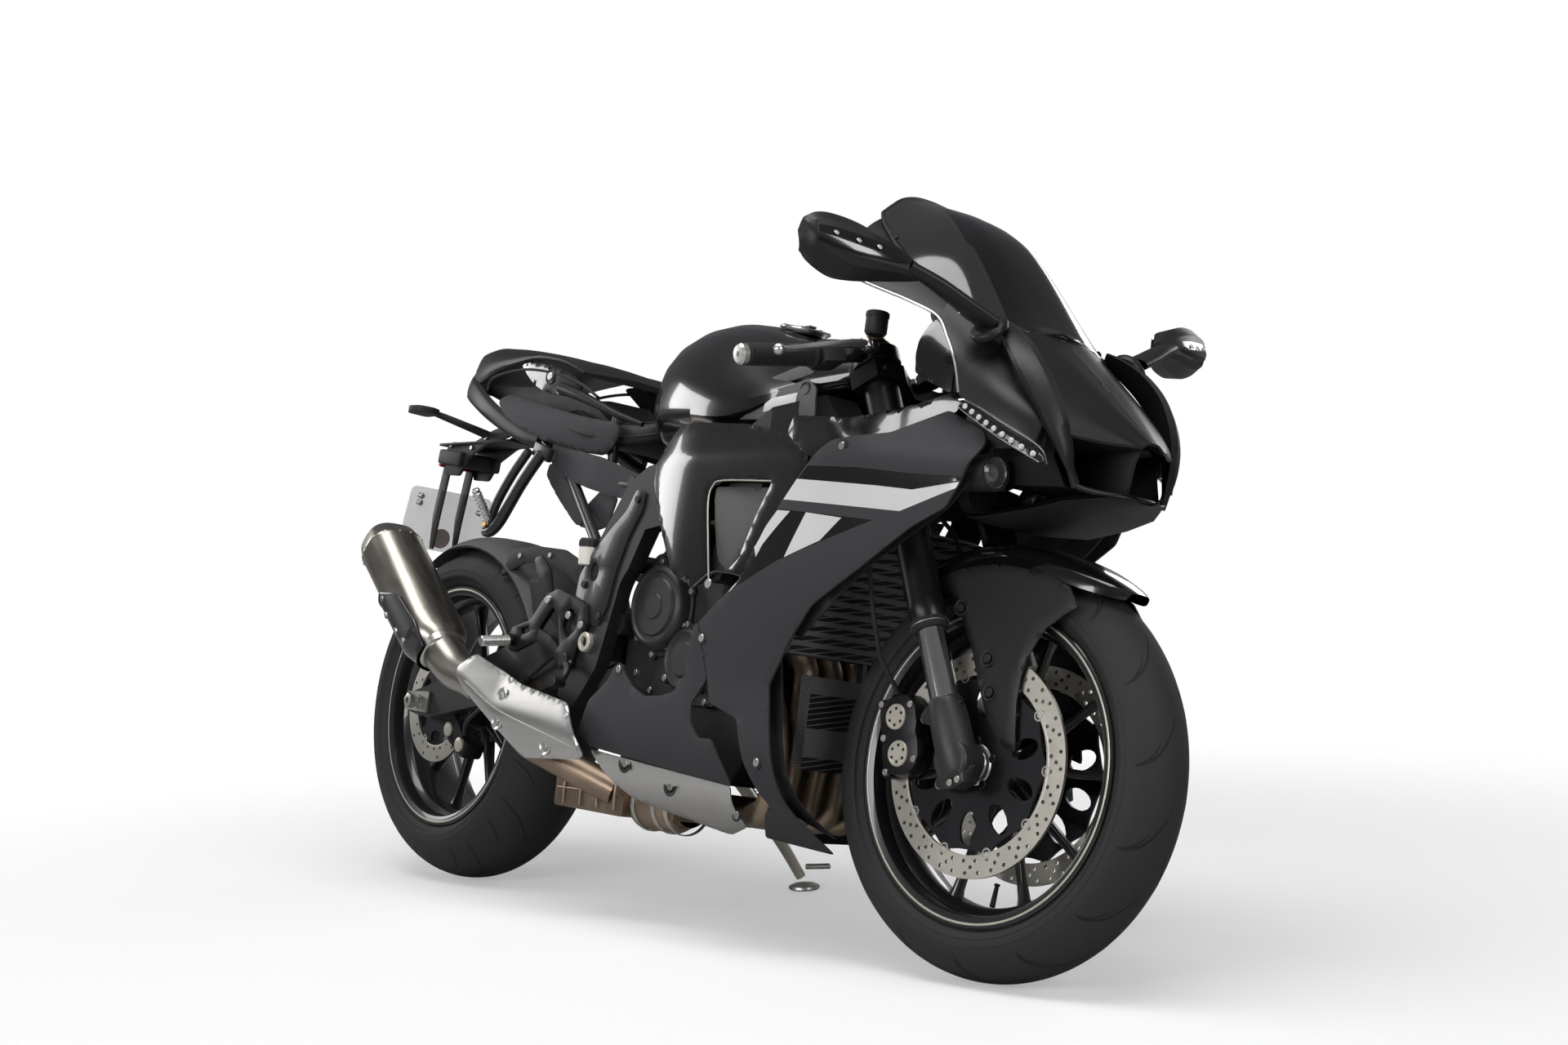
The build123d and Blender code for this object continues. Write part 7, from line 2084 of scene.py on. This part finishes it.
def plate_holder():
    """Plate bracket with lamp, indicators and its clear blank board."""
    frame_parts, knobs, bolts, stalks, blades, lenses = (Shape() for _ in range(6))
    for y in (-34, 34):
        frame_parts.join(slab(rounded([(20, 872), (-40, 862), (-110, 840), (-190, 846), (-214, 828),
                                       (-206, 780), (-150, 776), (-118, 812), (-60, 836), (20, 846)], 7),
                                       y - 3, y + 3))
    frame_parts.join(slab(rounded([(-222, -50), (-222, 50), (-132, 44), (-60, 38), (20, 38), (20, -38),
                                   (-60, -38), (-132, -44)], 8), 838, 842, "xy"))
    frame_parts.join(block((-176, 0, 812), (86, 98, 30), Matrix.Rotation(0.12, 3, "Y"), 6))
    for y in (-26, 26):
        frame_parts.join(slab(rounded([(-226, 800), (-200, 796), (-222, 690), (-232, 630), (-244, 632),
                                       (-246, 700)], 4), y - 2, y + 2))
    piece("plate_bracket", frame_parts, BLACK, replaces="plate_holder", bevel=1.0)
    piece("rear_lamp", block((-218, 0, 806), (16, 84, 20), Matrix.Rotation(0.12, 3, "Y"), 5), RED)
    turn, centre = Matrix.Rotation(math.radians(14), 3, "Y"), Vector((-240, 0, 690))
    plate = slab(rounded([(-95, -62), (95, -62), (95, 62), (-95, 62)], 16, 6), -1.6, 1.6, "yz")
    plate.mapped(lambda point: centre + turn @ point)
    piece("clear_board", plate, PLATE)
    for y in (-70, 70):
        for z in (44, 30):
            at = centre + turn @ Vector((1.6, y, z))
            knobs.join(lathe([(-6, 4), (-6, 5.5), (4, 6), (6, 4), (6, 0.1)], at, turn @ Vector(AHEAD), 22,
                             closed=False))
    piece("board_knobs", knobs, STEEL)
    at = centre + turn @ Vector((-3, 0, -36))
    reflector = lathe([(-2, 20), (2, 20), (3.4, 18), (3.4, 0.1)], at, turn @ Vector((-1, 0, 0)), 36,
                      closed=False)
    piece("board_reflector", reflector, AMBER)
    for side in (-1, 1):
        stalks.join(tube([(-58, side * 20, 850), (-70, side * 70, 862), (-84, side * 120, 874),
                          (-92, side * 146, 880)], 7, 14, 6, scale=lambda t: 1.25 - 0.45 * t))
        blade = [(-128, side * 136), (-122, side * 182), (-96, side * 196), (-66, side * 190),
                 (-62, side * 160), (-78, side * 136)]
        blades.join(slab(rounded(blade[::side], 9, 4), 874, 885, "xy"))
        lens = [(-126, side * 144), (-121, side * 178), (-110, side * 184), (-110, side * 142)]
        lenses.join(slab(rounded(lens[::side], 4, 3), 885, 887, "xy"))
    piece("indicator_stalks", stalks, RUBBER)
    piece("indicator_blades", blades, BLACK, bevel=3.0)
    piece("indicator_lenses", lenses, AMBER)
    for y in (-38, 38):
        for x, z in ((-60, 848), (-110, 830), (-190, 838)):
            bolts.join(bolt((x, y, z), (0, 1 if y > 0 else -1, 0), 4.6, 3))
    piece("bracket_bolts", bolts, BOLTS)


# --- chain and stand ------------------------------------------------------------------------
LINK_R = 6.4
LINK_WAIST = 4.6


def chain():
    """Link plates and pins along the chain's loop."""
    big, small = (CHAIN_PITCH / (2 * math.sin(math.pi / teeth)) for teeth in (REAR_TEETH, FRONT_TEETH))
    rear, fore = Vector((0, REAR_R)), Vector((648, 452))
    gap = fore - rear
    base = math.atan2(gap.y, gap.x)
    lean = math.acos((big - small) / gap.length)
    loop = []
    for k in range(65):
        a = base + lean + (2 * math.pi - 2 * lean) * k / 64
        loop.append(rear + Vector((math.cos(a), math.sin(a))) * big)
    for k in range(25):
        a = base - lean + 2 * lean * k / 24
        loop.append(fore + Vector((math.cos(a), math.sin(a))) * small)
    loop.append(loop[0])
    total = sum((loop[i + 1] - loop[i]).length for i in range(len(loop) - 1))
    count = int(total / CHAIN_PITCH / 2) * 2
    step, spots, run, want = total / count, [], 0.0, 0.0
    for i in range(len(loop) - 1):
        long = (loop[i + 1] - loop[i]).length
        while want <= run + long + 1e-6 and len(spots) < count:
            spots.append(loop[i] + (loop[i + 1] - loop[i]) * ((want - run) / long))
            want += step
        run += long
    plates, pins = Shape(), Shape()
    for i, spot in enumerate(spots):
        other = spots[(i + 1) % count]
        ahead = (other - spot).normalized()
        flat = Vector((-ahead.y, ahead.x))
        outer = 8.6 if i % 2 else 6.4
        ring = []
        for end, way in ((other, 1), (spot, -1)):
            for k in range(9):
                a = way * -math.pi / 2 + math.pi * k / 8
                ring.append(end + ahead * LINK_R * math.cos(a) + flat * LINK_R * math.sin(a))
            ring.append((spot + other) / 2 + flat * LINK_WAIST * way)
        for y in (-outer, outer):
            low, high = CHAIN_Y + y - 0.9, CHAIN_Y + y + 0.9
            points = [(p.x, low, p.y) for p in ring] + [(p.x, high, p.y) for p in ring]
            size = len(ring)
            faces = [list(range(size)), list(range(2 * size - 1, size - 1, -1))]
            faces += [[k, k + size, (k + 1) % size + size, (k + 1) % size] for k in range(size)]
            plates.add([Vector(p) for p in points], faces)
        for reach, radius, sides in ((10.4, 2.7, 8), (5.4, 5.0, 10)):
            pins.join(rod((spot.x, CHAIN_Y - reach, spot.y), (spot.x, CHAIN_Y + reach, spot.y), radius,
                          count=sides))
    piece("chain_plates", plates, CHAIN)
    piece("chain_pins", pins, DARK_STEEL)
    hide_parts("drive_chain")


def stand():
    """Side stand: leg, foot and return spring, which fold with the stand."""
    upright = Vector((0, -0.1886, 0.982))
    ground = Vector((625, 317, 60.9))
    start, end = Vector((550, 124, 300)), ground + upright * 14
    run = (end - start).normalized()
    bow = Vector((6, 0, 4))
    leg = tube([start + run * 14, start + run * 90 + bow, start + run * 220 + bow, end - run * 10], 11, 22, 8,
               scale=lambda t: 1.15 - 0.35 * t)
    leg.join(block(start + run * 6, (34, 22, 36), Matrix.Rotation(0.3, 3, "X"), 5))
    piece("stand_tube", leg, CREAM, "side_stand", replaces="stand_leg")
    foot = lathe([(0.5, 0.1), (0.5, 25), (3, 28), (7, 27), (10, 20), (13, 0.1)], ground, upright, 36,
                 closed=False)
    foot.join(lathe([(9, 21), (10.5, 19), (9, 17)], ground, upright, 36, closed=False))
    foot.join(rod(end + Vector((-2, 2, 26)), end + Vector((32, 30, 32)), 5, 5, 14, edge=1))
    piece("stand_foot", foot, STEEL, "side_stand")
    coils = []
    a, b = start + run * 34 + Vector((4, 14, 6)), start + run * 130 + Vector((4, 14, 4))
    line = b - a
    side = line.normalized().cross(Vector(AHEAD)).normalized()
    other = line.normalized().cross(side)
    for k in range(150):
        t = k / 149
        angle = 2 * math.pi * 15 * t
        coils.append(a + line * t + side * 7 * math.cos(angle) + other * 7 * math.sin(angle))
    piece("stand_spring", tube(coils, 1.5, 6, 1, smooth=False), DARK_STEEL, "side_stand")


engine()
footwork()
hugger()
rear_brake()
plate_holder()
chain()
stand()


# --- kept pieces ----------------------------------------------------------------------------
KEPT = {
    "triple_clamps": ANODISED, "front_axle": STEEL, "brake_hoses": RUBBER, "main_frame": FRAME_BLACK,
    "subframe": FRAME_BLACK, "engine_block": DARK_CAST, "swingarm": FRAME_BLACK, "swingarm_pivot": STEEL,
    "rear_axle": STEEL, "rear_shock": DARK_STEEL, "horn": BLACK, "header_pipes": BRONZE,
    "radiators": CORE, "front_sprocket": DARK_STEEL, "exhaust_box": BRONZE,
}
for node, finish in KEPT.items():
    slots = NODES[node].data.materials
    slots.clear()
    slots.append(finish)


# --- stage ----------------------------------------------------------------------------------
# the photograph's viewpoint, fitted to its wheels: metres, and yaw, pitch and roll in degrees
CAMERA_AT = (2.9191, -2.3340, 0.6740)
CAMERA_TURN = (140.598, -0.28, -2.2)


def stage():
    """Pale sweep of paper, soft boxes and the photograph's viewpoint."""
    white = material("studio_paper", (0.42, 0.42, 0.42), 0.75, 0.05, 60, 0.01, 0.01)
    nodes, links = white.node_tree.nodes, white.node_tree.links
    seen = add_node(nodes, "BsdfDiffuse", Color=(0.93, 0.93, 0.935, 1))
    glow = add_node(nodes, "Emission", Color=(1, 1, 1, 1), Strength=1.0)
    spot, far = add_node(nodes, "NewGeometry"), add_node(nodes, "VectorMath")
    far.operation = "LENGTH"
    links.new(spot.outputs["Position"], far.inputs[0])
    fade = add_node(nodes, "MapRange", From_Min=0.9, From_Max=2.6, To_Min=0.35, To_Max=1.0)
    fade.interpolation_type = "SMOOTHSTEP"
    links.new(far.outputs["Value"], fade.inputs["Value"])
    pale = add_node(nodes, "MixShader")
    links.new(fade.outputs["Result"], pale.inputs["Fac"])
    links.new(seen.outputs["BSDF"], pale.inputs[1])
    links.new(glow.outputs["Emission"], pale.inputs[2])
    path, choice = add_node(nodes, "LightPath"), add_node(nodes, "MixShader")
    links.new(path.outputs["Is Camera Ray"], choice.inputs["Fac"])
    links.new(nodes["Principled BSDF"].outputs["BSDF"], choice.inputs[1])
    links.new(pale.outputs["Shader"], choice.inputs[2])
    links.new(choice.outputs["Shader"], nodes["Material Output"].inputs["Surface"])
    corners = [(-40, -40, 0), (40, -40, 0), (40, 40, 0), (-40, 40, 0)]
    mesh = bpy.data.meshes.new("floor")
    mesh.from_pydata(corners, [], [[0, 1, 2, 3]])
    mesh.materials.append(white)
    floor = bpy.data.objects.new("floor", mesh)
    bpy.context.scene.collection.objects.link(floor)

    world = bpy.data.worlds.new("studio")
    bpy.context.scene.world = world
    world.use_nodes = True
    nodes, links = world.node_tree.nodes, world.node_tree.links
    soft = nodes["Background"]
    soft.inputs["Color"].default_value = (0.9, 0.92, 0.95, 1)
    soft.inputs["Strength"].default_value = 0.13
    bright = add_node(nodes, "Background", Color=(1, 1, 1, 1), Strength=1.0)
    rays, blend = add_node(nodes, "LightPath"), add_node(nodes, "MixShader")
    links.new(rays.outputs["Is Camera Ray"], blend.inputs["Fac"])
    links.new(soft.outputs["Background"], blend.inputs[1])
    links.new(bright.outputs["Background"], blend.inputs[2])
    links.new(blend.outputs["Shader"], nodes["World Output"].inputs["Surface"])

    def lamp(name, at, towards, size, power):
        light = bpy.data.lights.new(name, "AREA")
        light.shape = "RECTANGLE"
        light.size, light.size_y = size
        light.energy = power
        holder = bpy.data.objects.new(name, light)
        holder.location = at
        holder.rotation_euler = (Vector(towards) - Vector(at)).to_track_quat("-Z", "Y").to_euler()
        bpy.context.scene.collection.objects.link(holder)

    lamp("overhead", (0.3, -0.8, 3.4), (0.1, 0, 0.4), (4.2, 1.4), 88)
    lamp("right_side", (0.6, -4.4, 1.7), (0, 0, 0.6), (3.6, 0.9), 76)
    lamp("front", (4.6, -0.6, 1.9), (0.5, 0, 0.6), (1.2, 1.8), 54)
    lamp("left_side", (-0.4, 4.4, 2.0), (0, 0, 0.6), (3.2, 1.0), 40)
    lamp("rear", (-4.2, -1.4, 1.9), (-0.5, 0, 0.5), (1.6, 1.6), 34)

    lens = bpy.data.cameras.new("photo_camera")
    lens.lens = 50.0
    lens.sensor_width = 36.0
    viewer = bpy.data.objects.new("photo_camera", lens)
    yaw, pitch, roll = (math.radians(a) for a in CAMERA_TURN)
    ahead = Vector((math.cos(yaw) * math.cos(pitch), math.sin(yaw) * math.cos(pitch), math.sin(pitch)))
    right = ahead.cross(Vector(UP)).normalized()
    upward = right.cross(ahead)
    right_rolled = right * math.cos(roll) + upward * math.sin(roll)
    up_rolled = upward * math.cos(roll) - right * math.sin(roll)
    turn = Matrix((right_rolled, up_rolled, -ahead)).transposed().to_4x4()
    viewer.matrix_world = Matrix.Translation(CAMERA_AT) @ turn
    bpy.context.scene.collection.objects.link(viewer)
    bpy.context.scene.camera = viewer
    bpy.context.scene.view_settings.view_transform = "Standard"


stage()
